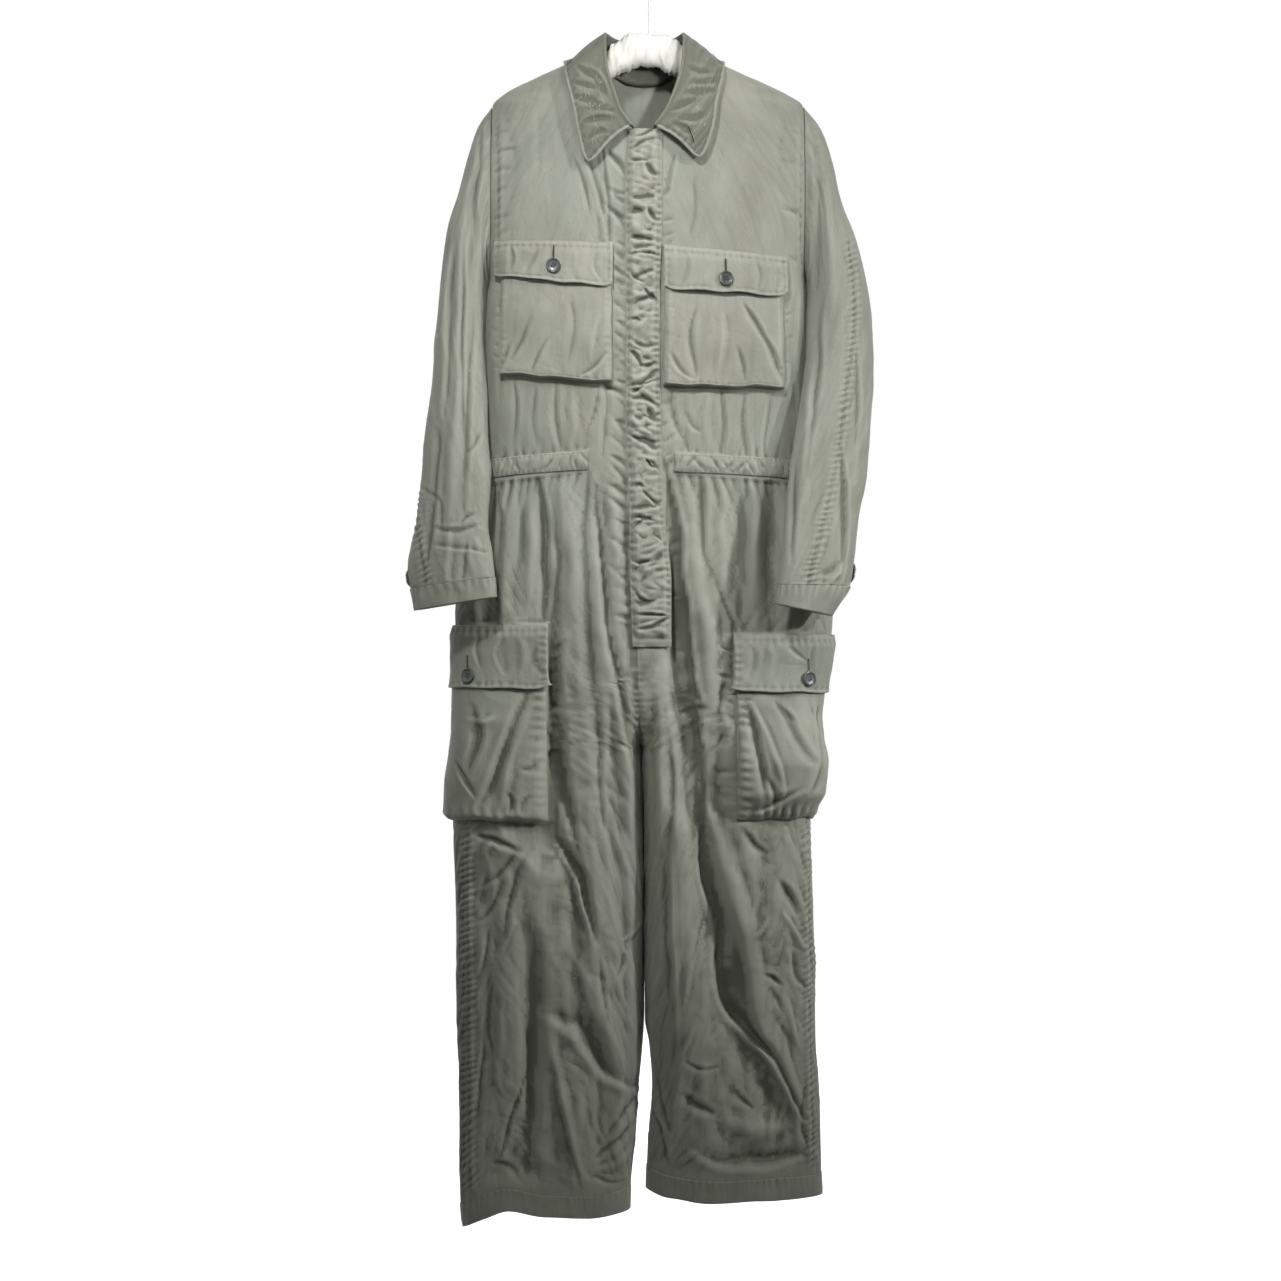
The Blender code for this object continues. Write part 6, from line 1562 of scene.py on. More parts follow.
def make_back_casing(look):
    seed, out = 450, 0.93
    parts = []
    for side, across in zip(SIDES, ((out, 0.0), (0.0, out))):
        down, shares = grid_shares(14, 110, across=across)
        z = WAIST_Z + 0.012 - CASING_HEIGHT * down
        point = plain_cloth(side, column_x(side, shares, z), z, True)
        parts.append(raised(point, plain_normal(side, point, True), 0.0026))
    base = np.concatenate([parts[0], parts[1][:, 1:]], axis=1)
    u, v = arc_lengths(base)
    folds = np.zeros(u.shape)
    rng = np.random.default_rng(seed)
    at = 0.002
    while at < float(u.max()):
        place = at + rng.uniform(-0.35, 0.35) * (v - CASING_HEIGHT / 2)
        folds -= rng.uniform(0.0010, 0.0022) * bell(u, rng.uniform(0.0018, 0.0034), place)
        at += rng.uniform(0.006, 0.013)
    puff = np.sin(math.pi * np.clip((down[:, :1] - 0.08) / 0.84, 0, 1)) ** 0.7
    height = puff * (0.0022 + folds) + 0.0003 * noise(u / 0.006, v / 0.006, seed)
    grid = raised(base, normals_towards(base, (0, 1, 0)), np.maximum(height, -0.0003))
    piece(
        "waist_casing_back", grid, look, ["scene_back_bodice"], (0.50, 0.026),
        held="gathered", thickness=0.0010, toward=(0, 1, 0), shift=(2.0, 0.9),
    )


def patch(corners, rows, columns, low=1.0):
    """x and z over a patch of four corners, with its shares down and across and its width."""
    top_in, top_out, foot_out, foot_in = (np.array(c, float) for c in corners)
    even, across = grid_shares(rows, columns)
    down = 1 - (1 - even) ** low
    r, c = down[..., None], across[..., None]
    left, right = top_in + (foot_in - top_in) * r, top_out + (foot_out - top_out) * r
    x, z = np.moveaxis(left + (right - left) * c, -1, 0)
    return x, z, down, across, abs(top_out[0] - top_in[0])


BAG_CREASES = {
    -1: (
        (4, -2.0, 0.6, ((-56, -520), (-70, -536), (-90, -548))),
        (4, -2.2, -0.6, ((-178, -508), (-184, -524), (-190, -540))),
        (5, -1.8, 0.4, ((-150, -470), (-160, -500), (-178, -530))),
        (6, -1.6, 0.3, ((-100, -450), (-96, -490), (-104, -535))),
        (4, 1.3, 0.4, ((-62, -470), (-72, -500), (-76, -530))),
        (4, -1.5, 0.5, ((-128, -500), (-140, -520), (-150, -545))),
    ),
    1: (
        (5, -2.8, 0.7, ((146, -500), (158, -526), (170, -556))),
        (4, -2.2, 0.6, ((118, -456), (134, -480), (150, -512))),
        (5, -1.8, 0.4, ((60, -460), (52, -500), (58, -548))),
        (4, -1.8, -0.5, ((26, -520), (38, -540), (56, -552))),
        (5, 1.4, 0.0, ((90, -470), (92, -510), (86, -552))),
        (4, -1.5, 0.5, ((110, -510), (118, -532), (122, -556))),
    ),
}
FLAP_CREASES = {
    -1: (
        (4, -2.6, 0.7, ((-176, -380), (-172, -398), (-176, -416))),
        (5, -1.8, 0.4, ((-142, -388), (-150, -404), (-158, -420))),
        (5, 1.4, 0.0, ((-90, -386), (-94, -408), (-88, -430))),
        (4, -1.7, -0.5, ((-66, -388), (-70, -410), (-60, -430))),
    ),
    1: (
        (5, -2.0, 0.5, ((44, -388), (48, -412), (40, -436))),
        (5, 1.6, 0.0, ((72, -390), (76, -412), (70, -436))),
        (4, -1.8, 0.6, ((134, -400), (140, -420), (136, -442))),
        (4, -1.6, -0.5, ((160, -402), (164, -424), (160, -444))),
    ),
}


def make_chest_bag(side, look):
    corners = CHEST_BAGS[side]
    seed = 500 + side
    x, z, r, c, wide = patch(corners, 72, 72, low=1.7)
    tall = abs(corners[3][1] - corners[0][1])
    from_side, from_foot = np.minimum(c, 1 - c) * wide, (1 - r) * tall
    edge = np.minimum(from_side, from_foot)
    mouth_depth, foot_depth = CHEST_BAG_DEPTH
    full = mouth_depth + (foot_depth - mouth_depth) * r
    rise = rounded(from_side, 0.009, 2.6) * rounded(from_foot, 0.0045, 2.6)
    height = creased_cloth(x, z, seed, 0.026, 0.030, 0.0013) + 0.0014 * noise(x / 0.045, z / 0.06, seed)
    add_creases(height, x, z, BAG_CREASES[side], seed, 1.4)
    run = np.where(from_side < from_foot, z, x)
    pucker = ripples(run, 0.0095, seed + 4) * (0.35 + 0.9 * wander(run / 0.03, seed + 5))
    pucker *= 0.0006 * bell(edge, 0.0045, 0.0055) * ramp(edge, 0, 0.003)
    low = 0.0022
    stand = low + (full - low) * rise * 0.94 + height * rise + pucker - 0.0006 * bell(edge, 0.0012, 0.0048)
    wave = 0.0008 * noise(x / 0.018, z / 0.018, seed + 6) * (1 - ramp(edge, 0.0, 0.01))
    sag = 0.0026 * noise(x / 0.030, z / 0.3, seed + 7) - 0.0016 * np.sin(math.pi * c)
    sag *= ramp(from_foot, 0.060, 0.0)
    piece(
        f"chest_pocket_{END[side]}", on_front(x + wave, z + sag, np.maximum(stand, 0.0019)), look,
        [named("front", side)], (0.165, 0.155),
        thickness=0.0009, worn=0.5 * bell(edge, 0.0016), shift=(side * 0.25, 0.4),
    )


# Sizes in which the chest and cargo flaps differ, in metres: depth and spread of the soft
# unevenness, fine and coarse creasing and its depth, gain and floor of the listed creases and
# where they begin, the top band, puckers under it (depth, wave, spread, place), puckers along the
# rim (depth, wave, spread), the rim's stitching (depth, spread, place), its lip (depth, spread,
# place), sag (depth, wave) and the rounding of the lower corners (rise, reach)
FLAPS = {
    "chest": {
        "uneven": (0.0012, 0.035, 0.05), "creasing": (0.024, 0.026, 0.0012), "folds": (1.3, -0.0026, 0.08),
        "band": 0.0011, "top": (0.0005, 0.0082, 0.005, 0.0075), "rim": (0.0003, 0.0105, 0.004),
        "stitching": (0.0005, 0.0012, 0.0052), "lip": (0.0007, 0.0022, 0.0018), "sag": (0.0032, 0.040),
        "corner": (0.0045, 0.006), "cut": (0.165, 0.057), "rests_on": "chest_pocket",
    },
    "cargo": {
        "uneven": (0.0014, 0.040, 0.05), "creasing": (0.026, 0.030, 0.0016), "folds": (1.4, -0.0018, 0.10),
        "band": 0.0010, "top": (0.0008, 0.0095, 0.006, 0.009), "rim": (0.0007, 0.011, 0.005),
        "stitching": (0.0006, 0.0013, 0.0058), "lip": (0.0008, 0.0024, 0.0020), "sag": (0.0020, 0.045),
        "corner": (0.0050, 0.007), "cut": (0.28, 0.080), "rests_on": "cargo_pocket",
    },
}


def make_flap(kind, side, look, place, across, down, z, s, tall, from_end, table, seed, **shell):
    """A sewn-down, double-stitched flap. place(drop, height) gives its points; across and down run
    over it in metres, and s is the share down."""
    flap = FLAPS[kind]
    from_top, from_foot = s * tall, (1 - s) * tall
    edge = np.minimum(from_foot, from_end)
    depth, wide, high = flap["uneven"]
    height = depth * noise(across / wide, down / high, seed) * ramp(s, 0.1, 0.6)
    height += creased_cloth(across, down, seed, *flap["creasing"])
    gain, floor, begin = flap["folds"]
    add_creases(height, across, z, table, seed, gain)
    height = np.maximum(height, floor) * ramp(s, begin, 0.30)
    depth, wave, spread, middle = flap["top"]
    height += depth * ripples(across, wave, seed + 4) * bell(from_top, spread, middle)
    height += flap["band"] * bell(from_top, 0.0036, 0.0035, exponent=4)
    depth, wave, spread = flap["rim"]
    run = np.where(from_end < from_foot, down, across)
    height += depth * ripples(run, wave, seed + 7) * bell(edge, spread, spread)
    depth, spread, middle = flap["stitching"]
    height -= depth * bell(edge, spread, middle)
    depth, spread, middle = flap["lip"]
    height += depth * bell(edge, spread, middle) * ramp(from_top, 0.008, 0.014)
    worn = 0.9 * bell(edge, spread) + 0.5 * bell(from_top, 0.003, 0.002)
    depth, wave = flap["sag"]
    rise, reach = flap["corner"]
    drop = depth * noise(across / wave, 0.2, seed + 8) * s + rise * s**12 * bell(from_end, reach)
    piece(
        f"{kind}_flap_{END[side]}", place(drop, height), look, [named(flap["rests_on"], side)], flap["cut"],
        thickness=0.0015, worn=worn, hollow=0.15, fine=0.35, **shell,
    )


def make_chest_flap(side, look):
    x, z, r, c, wide = patch(CHEST_FLAPS[side], 46, 100)
    rows = ((0.0, 0.0022), (0.12, 0.0050), (0.3, 0.0087), (0.65, 0.0096), (0.92, 0.0102), (1.0, 0.0100))
    from_end = np.minimum(c, 1 - c) * wide
    lift = smooth_rows(rows)(r)[..., 0] * (0.72 + 0.28 * ramp(from_end, 0.0, 0.016))
    lift += 0.0024 * np.sin(math.pi * c) * r

    def place(drop, height):
        return on_front(x, z + drop, lift + height)

    make_flap(
        "chest", side, look, place, x, z, z, r, 0.055, from_end, FLAP_CREASES[side], 520 + side,
        shift=(side * 0.35, 0.7),
    )


# ---------------------------------------------------------------- cargo pockets
def side_cloth(side, angle, z, lift):
    """Points off one half's ring, by angle: a quarter turn is the side, more is the back."""
    centre, width, front, deep, square, _ = half(side, z)
    back = angle > math.pi / 2
    x = centre + side * width * power(np.sin(angle), 2 / square)
    y = np.where(back, deep, -front) * np.abs(np.cos(angle)) ** (2 / square)
    point = np.stack([x, y, z], -1)
    safe = point.copy()
    safe[..., 1] = np.where(np.abs(y) > 1e-6, y, 1e-6)
    normal = np.where(back[..., None], plain_normal(side, safe, True), plain_normal(side, safe, False))
    return raised(point, normal, lift)


def cargo_grid(side, top, foot, rows, columns, extra=0.0):
    """Angles and heights of a piece that wraps the side, its shares, and its lengths across and down."""
    s, t = grid_shares(rows, columns)
    z = top + (foot - top) * s
    down = (z - CARGO_TOP_Z[side]) / (CARGO_FOOT_Z[side] - CARGO_TOP_Z[side])
    top_x, foot_x = CARGO_FRONT_X[side]
    centre, width, _, _, square, _ = half(side, z)
    share = side * (top_x + (foot_x - top_x) * down - side * extra - centre) / width
    front = np.arcsin(power(share, square / 2))
    angle = front + (CARGO_BACK_ANGLE - front) * t
    return angle, z, s, t, *arc_lengths(side_cloth(side, angle, z, 0.0))


def cargo_stand(side, z, share):
    top = CARGO_TOP_Z[side] - CARGO_MOUTH
    down = (z - top) / (CARGO_FOOT_Z[side] - top)
    full = 0.80 + 0.65 * np.sin(math.pi * np.minimum(1.0, share / 0.62)) * ramp(down, 0.0, 0.6)
    return np.maximum(smooth_rows(CARGO_STAND[side])(down)[..., 0] * full, 0.0042)


# width, depth, lean, path of (distance back from the front edge, z)
CARGO_CREASES = {
    -1: (
        (8, -4.2, 0.6, ((26, -960), (42, -1000), (60, -1050), (84, -1104))),
        (7, -3.0, -0.5, ((92, -975), (84, -1010), (96, -1060))),
        (4, -3.2, 0.7, ((112, -1046), (100, -1066), (88, -1088))),
        (6, 2.2, 0.0, ((40, -1020), (52, -1060), (58, -1100))),
        (4, -2.4, 0.5, ((22, -1085), (32, -1096), (34, -1112))),
        (4, -2.2, -0.5, ((48, -1082), (44, -1096), (50, -1112))),
        (5, 1.8, 0.3, ((64, -985), (78, -992), (96, -988))),
        (4, -1.8, 0.4, ((10, -1040), (20, -1050), (32, -1052))),
        (6, -2.6, 0.4, ((140, -980), (150, -1030), (146, -1090))),
        (6, -2.2, -0.4, ((190, -960), (186, -1020), (194, -1080))),
    ),
    1: (
        (6, -3.2, 0.6, ((10, -960), (22, -1000), (30, -1050), (34, -1090))),
        (5, 2.4, 0.4, ((20, -970), (36, -1006), (48, -1048), (54, -1086))),
        (7, -3.0, 0.4, ((60, -975), (72, -1010), (88, -1044))),
        (6, -3.8, -0.7, ((108, -975), (104, -1015), (92, -1056), (82, -1082))),
        (4, -2.6, 0.6, ((52, -968), (62, -980), (74, -992))),
        (5, -3.4, -0.6, ((22, -1106), (48, -1094), (70, -1078))),
        (4, -2.0, 0.5, ((36, -1060), (44, -1080), (46, -1100))),
        (6, -2.6, 0.4, ((140, -980), (152, -1030), (148, -1090))),
        (6, -2.2, -0.4, ((180, -960), (176, -1020), (186, -1080))),
    ),
}
CARGO_FLAP_CREASES = {
    -1: (
        (5, -2.4, 0.6, ((56, -884), (62, -906), (54, -930))),
        (5, 1.6, 0.0, ((34, -880), (30, -905), (36, -935))),
        (4, -1.8, -0.5, ((10, -890), (16, -910), (8, -930))),
        (4, -1.8, 0.5, ((86, -880), (92, -900), (86, -925))),
        (5, -2.0, 0.4, ((150, -880), (156, -905), (150, -935))),
    ),
    1: (
        (5, -2.0, 0.5, ((22, -892), (26, -915), (20, -940))),
        (5, 1.6, 0.0, ((44, -890), (48, -915), (42, -942))),
        (4, -2.0, 0.6, ((66, -888), (76, -900), (92, -912))),
        (4, -1.8, -0.5, ((104, -892), (100, -915), (106, -940))),
        (5, -2.0, 0.4, ((150, -890), (156, -915), (150, -942))),
    ),
}


def make_cargo_bag(side, look):
    top, foot = CARGO_TOP_Z[side] - CARGO_MOUTH, CARGO_FOOT_Z[side]
    seed = 600 + side
    angle, z, s, t, u, v = cargo_grid(side, top, foot, 86, 100)
    from_front, from_back, from_foot = u, u[:, -1:] - u, (1 - s) * abs(foot - top)
    edge = np.minimum(np.minimum(from_front, from_back), from_foot)
    full = cargo_stand(side, z, t)
    rise = rounded(from_front, 0.008, 2.4) * rounded(from_back, 0.010, 2.4) * rounded(from_foot, 0.008, 2.6)
    height = 0.0016 * noise(u / 0.045, v / 0.07, seed) + creased_cloth(u, v, seed, 0.030, 0.036, 0.0028)
    add_creases(height, u, z, CARGO_CREASES[side], seed, 2.0)
    run = np.where(from_front < from_foot, v, u)
    pucker = ripples(run, 0.0125, seed + 4, 0.04, 0.6) * (0.7 + 0.7 * wander(run / 0.05, seed + 5))
    pucker *= 0.0015 * bell(edge, 0.0085, 0.009) * ramp(edge, 0.0, 0.005)
    low = 0.0030
    stand = low + (full - low + np.maximum(height, -0.6 * full) + pucker) * rise
    stand -= 0.0007 * bell(edge, 0.0013, 0.0045)
    wave = 0.0030 * noise(u / 0.034, v / 0.2, seed + 6) + 0.0012 * noise(u / 0.014, v / 0.02, seed + 7)
    grid = side_cloth(side, angle, z + wave * ramp(from_foot, 0.05, 0.0), np.maximum(stand, 0.0026))
    piece(
        f"cargo_pocket_{END[side]}", grid, look, [named("front", side)], (0.275, 0.225),
        thickness=0.0010, toward=(side, -0.6, 0), worn=0.6 * bell(edge, 0.0020), shift=(side * 0.15, 0.2),
    )


def make_cargo_flap(side, look):
    top, foot = CARGO_TOP_Z[side], CARGO_FLAP_FOOT_Z[side]
    angle, z, s, t, u, v = cargo_grid(side, top, foot, 48, 124, extra=0.004)
    tall, low = abs(foot - top), 0.0030
    lift = low + (cargo_stand(side, z, t) + CARGO_FLAP_ROOM + 0.0014 - low) * ramp(s * tall, 0.0, 0.016)

    def place(drop, height):
        return side_cloth(side, angle, z + drop, lift + height)

    make_flap(
        "cargo", side, look, place, u, v, z, s, tall, np.minimum(u, u[:, -1:] - u), CARGO_FLAP_CREASES[side],
        620 + side, toward=(side, -0.6, 0), shift=(side * 0.45, 0.5),
    )


# ---------------------------------------------------------------- collar
def clear_of_body(side, point, gap):
    """Points pushed out until they stand off the body by the gap."""
    step = 0.002
    for _ in range(3):
        x, y, z = np.moveaxis(point, -1, 0)
        level = np.minimum(z, BODY[0][0] - 0.001)

        def ring_size(height):
            centre, width, front, deep, square, _ = half(side, height)
            depth = np.where(y > 0, deep, front)
            across = np.abs(x - centre) / width
            size = (across**square + (np.abs(y) / depth) ** square) ** (1 / square)
            return size, (x - centre) / width**2, y / depth**2

        size, steep_x, steep_y = ring_size(level)
        steep = np.stack([steep_x, steep_y, np.zeros_like(x)], -1) / np.maximum(size, 0.2)[..., None]
        steep[..., 2] = (ring_size(level + step)[0] - ring_size(level - step)[0]) / (2 * step)
        away = (size - 1) / np.linalg.norm(steep, axis=-1)
        short = np.where((z < BODY[0][0]) & (away < gap), gap - away, 0.0)
        point = raised(point, unit(steep), short)
    return point


def collar_rows(at):
    rows = np.array(COLLAR, float)
    mirrored = rows[1] * np.array([-1, 1, 1] * 3)
    q = np.concatenate([mirrored[None], rows, (2 * rows[-1] - rows[-2])[None]])
    i = np.clip(at.astype(int), 0, len(rows) - 2)
    return catmull(q[i], q[i + 1], q[i + 2], q[i + 3], (at - i)[:, None])


COLLAR_CREASES = (
    # width, depth, lean, path of (x, z)
    (5, -2.8, 0.6, ((-74, -155), (-64, -170), (-55, -187))),
    (4.5, -2.8, -0.6, ((-97, -190), (-84, -195), (-66, -199))),
    (4.5, -2.8, -0.6, ((-80, -205), (-64, -205), (-46, -208))),
    (4, -2.2, -0.5, ((-92, -150), (-80, -160), (-66, -164))),
    (4, -2.2, 0.5, ((-84, -222), (-66, -218), (-44, -219))),
    (4, -1.9, -0.5, ((-96, -172), (-84, -176), (-70, -180))),
    (3.5, -1.6, -0.5, ((-78, -240), (-66, -234), (-54, -236))),
    (5, -3.4, -0.7, ((21, -208), (38, -204), (56, -196))),
    (4.5, -2.8, -0.6, ((40, -219), (55, -218), (70, -214))),
    (4.5, -2.8, -0.6, ((54, -173), (68, -172), (84, -168))),
    (4, -2.2, 0.5, ((46, -185), (62, -183), (80, -182))),
    (4, -2.0, -0.5, ((30, -226), (44, -232), (56, -238))),
    (4, -1.8, -0.5, ((50, -150), (62, -156), (78, -158))),
)


def collar_half(side, stations, stand_rows, roll_rows, fall_rows):
    """One side of the collar: up the stand, over the roll and down the fall, station by station."""
    row = collar_rows(np.linspace(0, len(COLLAR) - 1, stations))
    roll_z = row[:, 5]
    lean, aside = ramp(roll_z, -0.160, -0.230), (0.0,) + COLLAR_LEAN[side]
    seam, roll, edge = (
        np.stack([MIDDLE_X + side * row[:, k] + lean * shift, row[:, k + 1], row[:, k + 2]], -1)
        for k, shift in zip((0, 3, 6), aside)
    )
    over = edge - roll
    over[:, 2] *= ramp(roll_z, -0.150, -0.210)
    over = unit(over) * COLLAR_ROLL
    points = [seam + (roll - over - seam) * k / stand_rows for k in range(stand_rows)]
    rise = unit(unit(roll - over - seam) + unit(roll + over - edge)) * COLLAR_ROLL * 0.9
    for a in np.linspace(0, math.pi, roll_rows):
        points.append(roll - over * math.cos(a) + rise * math.sin(a))
    still = np.ones(stations)
    outward = np.stack([0.55 * side * still, np.where(row[:, 7] > 0.004, 1.0, -1.0), 0.6 * still], -1)
    for share in np.arange(1, fall_rows + 1) / fall_rows:
        start = roll + over * (1 - share)
        lift = outward * 0.0024 * math.sin(math.pi * share)
        points.append(clear_of_body(side, start + (edge - start) * share + lift, COLLAR_LIFT))
    return np.stack(points, 1)


def make_collar(look):
    stations, stand_rows, roll_rows, fall_rows = 125, 11, 7, 34
    right, left = (collar_half(side, stations, stand_rows, roll_rows, fall_rows) for side in SIDES)
    grid = np.concatenate([right[::-1], left[1:]], axis=0)
    normal = grid_normals(grid)
    if normal[: 2 * stations // 5, -4, 1].sum() > 0:
        normal = -normal
    profile = np.arange(grid.shape[1])
    stand, fall = profile < stand_rows, profile >= stand_rows + roll_rows
    v, u = arc_lengths(grid)  # u round the neck, v across the profile
    from_roll = v - v[:, stand_rows + roll_rows - 1][:, None]
    from_tip, from_side = np.minimum(u, u[-1:] - u), v[:, -1:] - v
    from_edge = np.minimum(from_side, from_tip)
    seed = 700
    height = 0.0009 * noise(u / 0.030, v / 0.030, seed) + facets(u, v, seed + 1, 0.024, 0.0014)
    height *= ramp(from_roll, 0.002, 0.015)
    relief = np.zeros(u.shape)
    table = [(1.15 * width, *rest) for width, *rest in COLLAR_CREASES]
    add_creases(relief, grid[..., 0], grid[..., 2], table, seed + 9, 1.30)
    height += relief * ramp(from_roll, 0.0, 0.006) * ramp(grid[..., 1], 0.030, 0.010)
    run = np.where(from_side < from_tip, u, v)
    rim = 0.0003 * ripples(run, 0.0105, seed + 3) * bell(from_edge, 0.005, 0.005)
    rim += 0.0008 * bell(from_edge, 0.0024, 0.0018) - 0.0005 * bell(from_edge, 0.0013, 0.0056)
    height = np.maximum(height + rim * fall, -0.0020) * (fall | stand)
    grid = raised(grid, normal, height)
    # the points are rounded, and hang a little lower than the pattern would have them
    for end, inner in ((0, 12), (-1, -13)):
        away = np.linalg.norm(grid - grid[end, -1], axis=-1)
        inward = unit(grid[inner, -8] - grid[end, -1])
        grid += 0.0045 * (bell(away, 0.0065) * fall)[..., None] * inward
    for end, pull in ((0, (0.0, -0.0008, -0.0110)), (-1, (-0.0050, -0.0008, -0.0060))):
        away = np.linalg.norm(grid - grid[end, -1], axis=-1)
        grid += (bell(away, 0.032) * fall)[..., None] * np.array(pull)
    # the whole collar is coloured darker than the other panels, and paler along the edge of its fall
    piece(
        "collar", grid, look, ["scene_front_right", "scene_front_left"], (0.51, 0.115), 0.050, held="folded",
        thickness=0.0014, toward=(0, -1, 0.2), worn=1.3 * bell(from_edge, 0.0028) * fall - 0.95,
        shift=(0.1, 0.1), hollow=0.18, fine=0.20,
    )


# ---------------------------------------------------------------- buttons
HOLE_SPREAD = 0.0023  # from a button's middle to the middle of each hole


def button_mesh(name, centre, turn, look):
    """A four-hole button: a dished disc with a rolled rim, holes right through it."""
    segments, hole_segments, hole_radius = 48, 14, 0.00115
    # share of the radius, height
    profile = (
        (0.55, 0.00015), (0.80, 0.0002), (0.94, 0.0006), (1.0, 0.0012), (0.99, 0.0020), (0.94, 0.0026),
        (0.87, 0.0028), (0.80, 0.0026), (0.72, 0.0020), (0.62, 0.00175),
    )
    made = bmesh.new()

    def ring(radius, height, count, x=0.0, y=0.0):
        angles = (2 * math.pi * k / count for k in range(count))
        return [made.verts.new((x + radius * math.cos(a), y + radius * math.sin(a), height)) for a in angles]

    def wall(low, top):
        for a, b, c, d in zip(low, low[1:] + low[:1], top[1:] + top[:1], top):
            made.faces.new((a, b, c, d))

    rings = [ring(BUTTON_RADIUS * share, height, segments) for share, height in profile]
    for low, top in zip(rings, rings[1:]):
        wall(low, top)
    # top and under faces, each a disc with four holes, joined by the holes' walls
    quarters = [math.pi / 4 + k * math.pi / 2 for k in range(4)]
    holes = []
    for rim, height in ((rings[-1], 0.0017), (rings[0], 0.00015)):
        holes.append([
            ring(hole_radius, height, hole_segments, HOLE_SPREAD * math.cos(a), HOLE_SPREAD * math.sin(a))
            for a in quarters
        ])
        loops = [list(zip(loop, loop[1:] + loop[:1])) for loop in [rim] + holes[-1]]
        edges = [made.edges.get(pair) or made.edges.new(pair) for loop in loops for pair in loop]
        bmesh.ops.triangle_fill(made, edges=edges, use_beauty=True)
    for top, low in zip(*holes):
        wall(top, low)
    bmesh.ops.recalc_face_normals(made, faces=made.faces)
    mesh = bpy.data.meshes.new(name)
    made.to_mesh(mesh)
    made.free()
    mesh.polygons.foreach_set("use_smooth", [True] * len(mesh.polygons))
    mesh.set_sharp_from_angle(angle=math.radians(38))
    mesh.materials.append(look)
    mesh.transform(Matrix.Translation(centre) @ Matrix(turn).to_4x4())
    obj = bpy.data.objects.new(name, mesh)
    bpy.context.scene.collection.objects.link(obj)
    return obj


def nearest_on(name, x, z):
    """Row and column of a piece's point at (x, z), the one nearest the viewer."""
    grid, _ = MADE[name]
    away = (grid[..., 0] - x) ** 2 + (grid[..., 2] - z) ** 2 + 0.02 * (grid[..., 1] - grid[..., 1].min()) ** 2
    return np.unravel_index(away.argmin(), away.shape)


def make_button(kind, side, place, look, stitches):
    """A button on its flap, sewn on with crossed threads through its holes."""
    flap = named(f"{kind}_flap", side)
    i, j = nearest_on(flap, *place)
    grid, normals = MADE[flap]

    def around(values, reach):
        return values[max(0, i - reach) : i + reach + 1, max(0, j - reach) : j + reach + 1].reshape(-1, 3)

    normal = unit(around(normals, 4).mean(0))
    rise = max(0.0, float(((around(grid, 5) - grid[i, j]) @ normal).max()))
    centre = grid[i, j] + normal * (rise * 0.6 + 0.0008)
    turn = np.array(Vector(normal).to_track_quat("Z", "Y").to_matrix() @ Matrix.Rotation(0.3 * side, 3, "Z"))
    obj = button_mesh(named(f"{kind}_button", side), centre, turn, look)
    declare(obj, f"{kind}_button_{END[side]}")
    for a in (math.pi / 4, 3 * math.pi / 4):
        way, aside = np.array([math.cos(a), math.sin(a), 0]), np.array([-math.sin(a), math.cos(a), 0])
        for off in (-0.00025, 0.00025):
            start, end = (turn @ (way * w * HOLE_SPREAD + aside * off + [0, 0, 0.0021]) for w in (-1.1, 1.1))
            stitches.row(
                np.linspace(start, end, 3) + centre, np.repeat(normal[None], 3, 0),
                pitch=2.156 * HOLE_SPREAD, length=2.2 * HOLE_SPREAD, size=0.00042,
            )


def buttonhole(name, x, z, run_x, run_z, yarn, slit_shade):
    """A worked buttonhole: two rows of close stitches on either side of a row of dark blocks, painted shade
    in its slit.
    """
    i, j = nearest_on(name, x, z)
    k, m = nearest_on(name, x + run_x, z + run_z)
    t = np.linspace(0, 1, 12)
    line, normals = on_grid(name, i + (k - i) * t, j + (m - j) * t, 0.0007)
    across = np.cross(normals, unit(line[-1] - line[0]))
    for away in (-0.0013, 0.0013):
        yarn.row(line + across * away, normals, pitch=0.00075, length=0.00070, size=0.00075)
    slit_shade.row(line, normals, pitch=0.0009, length=0.0017, size=0.0012)


# ---------------------------------------------------------------- the hanger
PAD_TOP_Z = -0.106
SWELL_FRAMES = 20
MOST_SWELL = 0.006


def read(mesh, field):
    values = np.empty(len(mesh.vertices) * 3)
    mesh.vertices.foreach_get(field, values)
    return values.reshape(-1, 3)


def apply_modifier(obj, kind, **values):
    made = obj.modifiers.new(kind.lower(), kind)
    for name, value in values.items():
        setattr(made, name, value)
    bpy.ops.object.modifier_apply(modifier=made.name)


def swell(obj):
    """The cushion recipe: the cover is blown up from inside by a little, as a cloth."""
    before = read(obj.data, "co")
    blown = obj.modifiers.new("swell", "CLOTH")
    blown.settings.use_pressure = True
    blown.settings.uniform_pressure_force = 4.0
    blown.settings.effector_weights.gravity = 0.0
    blown.settings.tension_stiffness = 25
    blown.point_cache.frame_start, blown.point_cache.frame_end = 1, SWELL_FRAMES
    for number in range(1, SWELL_FRAMES + 1):
        bpy.context.scene.frame_set(number)
    bpy.ops.object.modifier_apply(modifier=blown.name)
    bpy.context.scene.frame_set(1)
    move = read(obj.data, "co") - before
    size = np.linalg.norm(move, axis=1, keepdims=True)
    move *= np.minimum(1.0, MOST_SWELL / np.maximum(size, 1e-9))
    obj.data.vertices.foreach_set("co", (before + move).ravel())


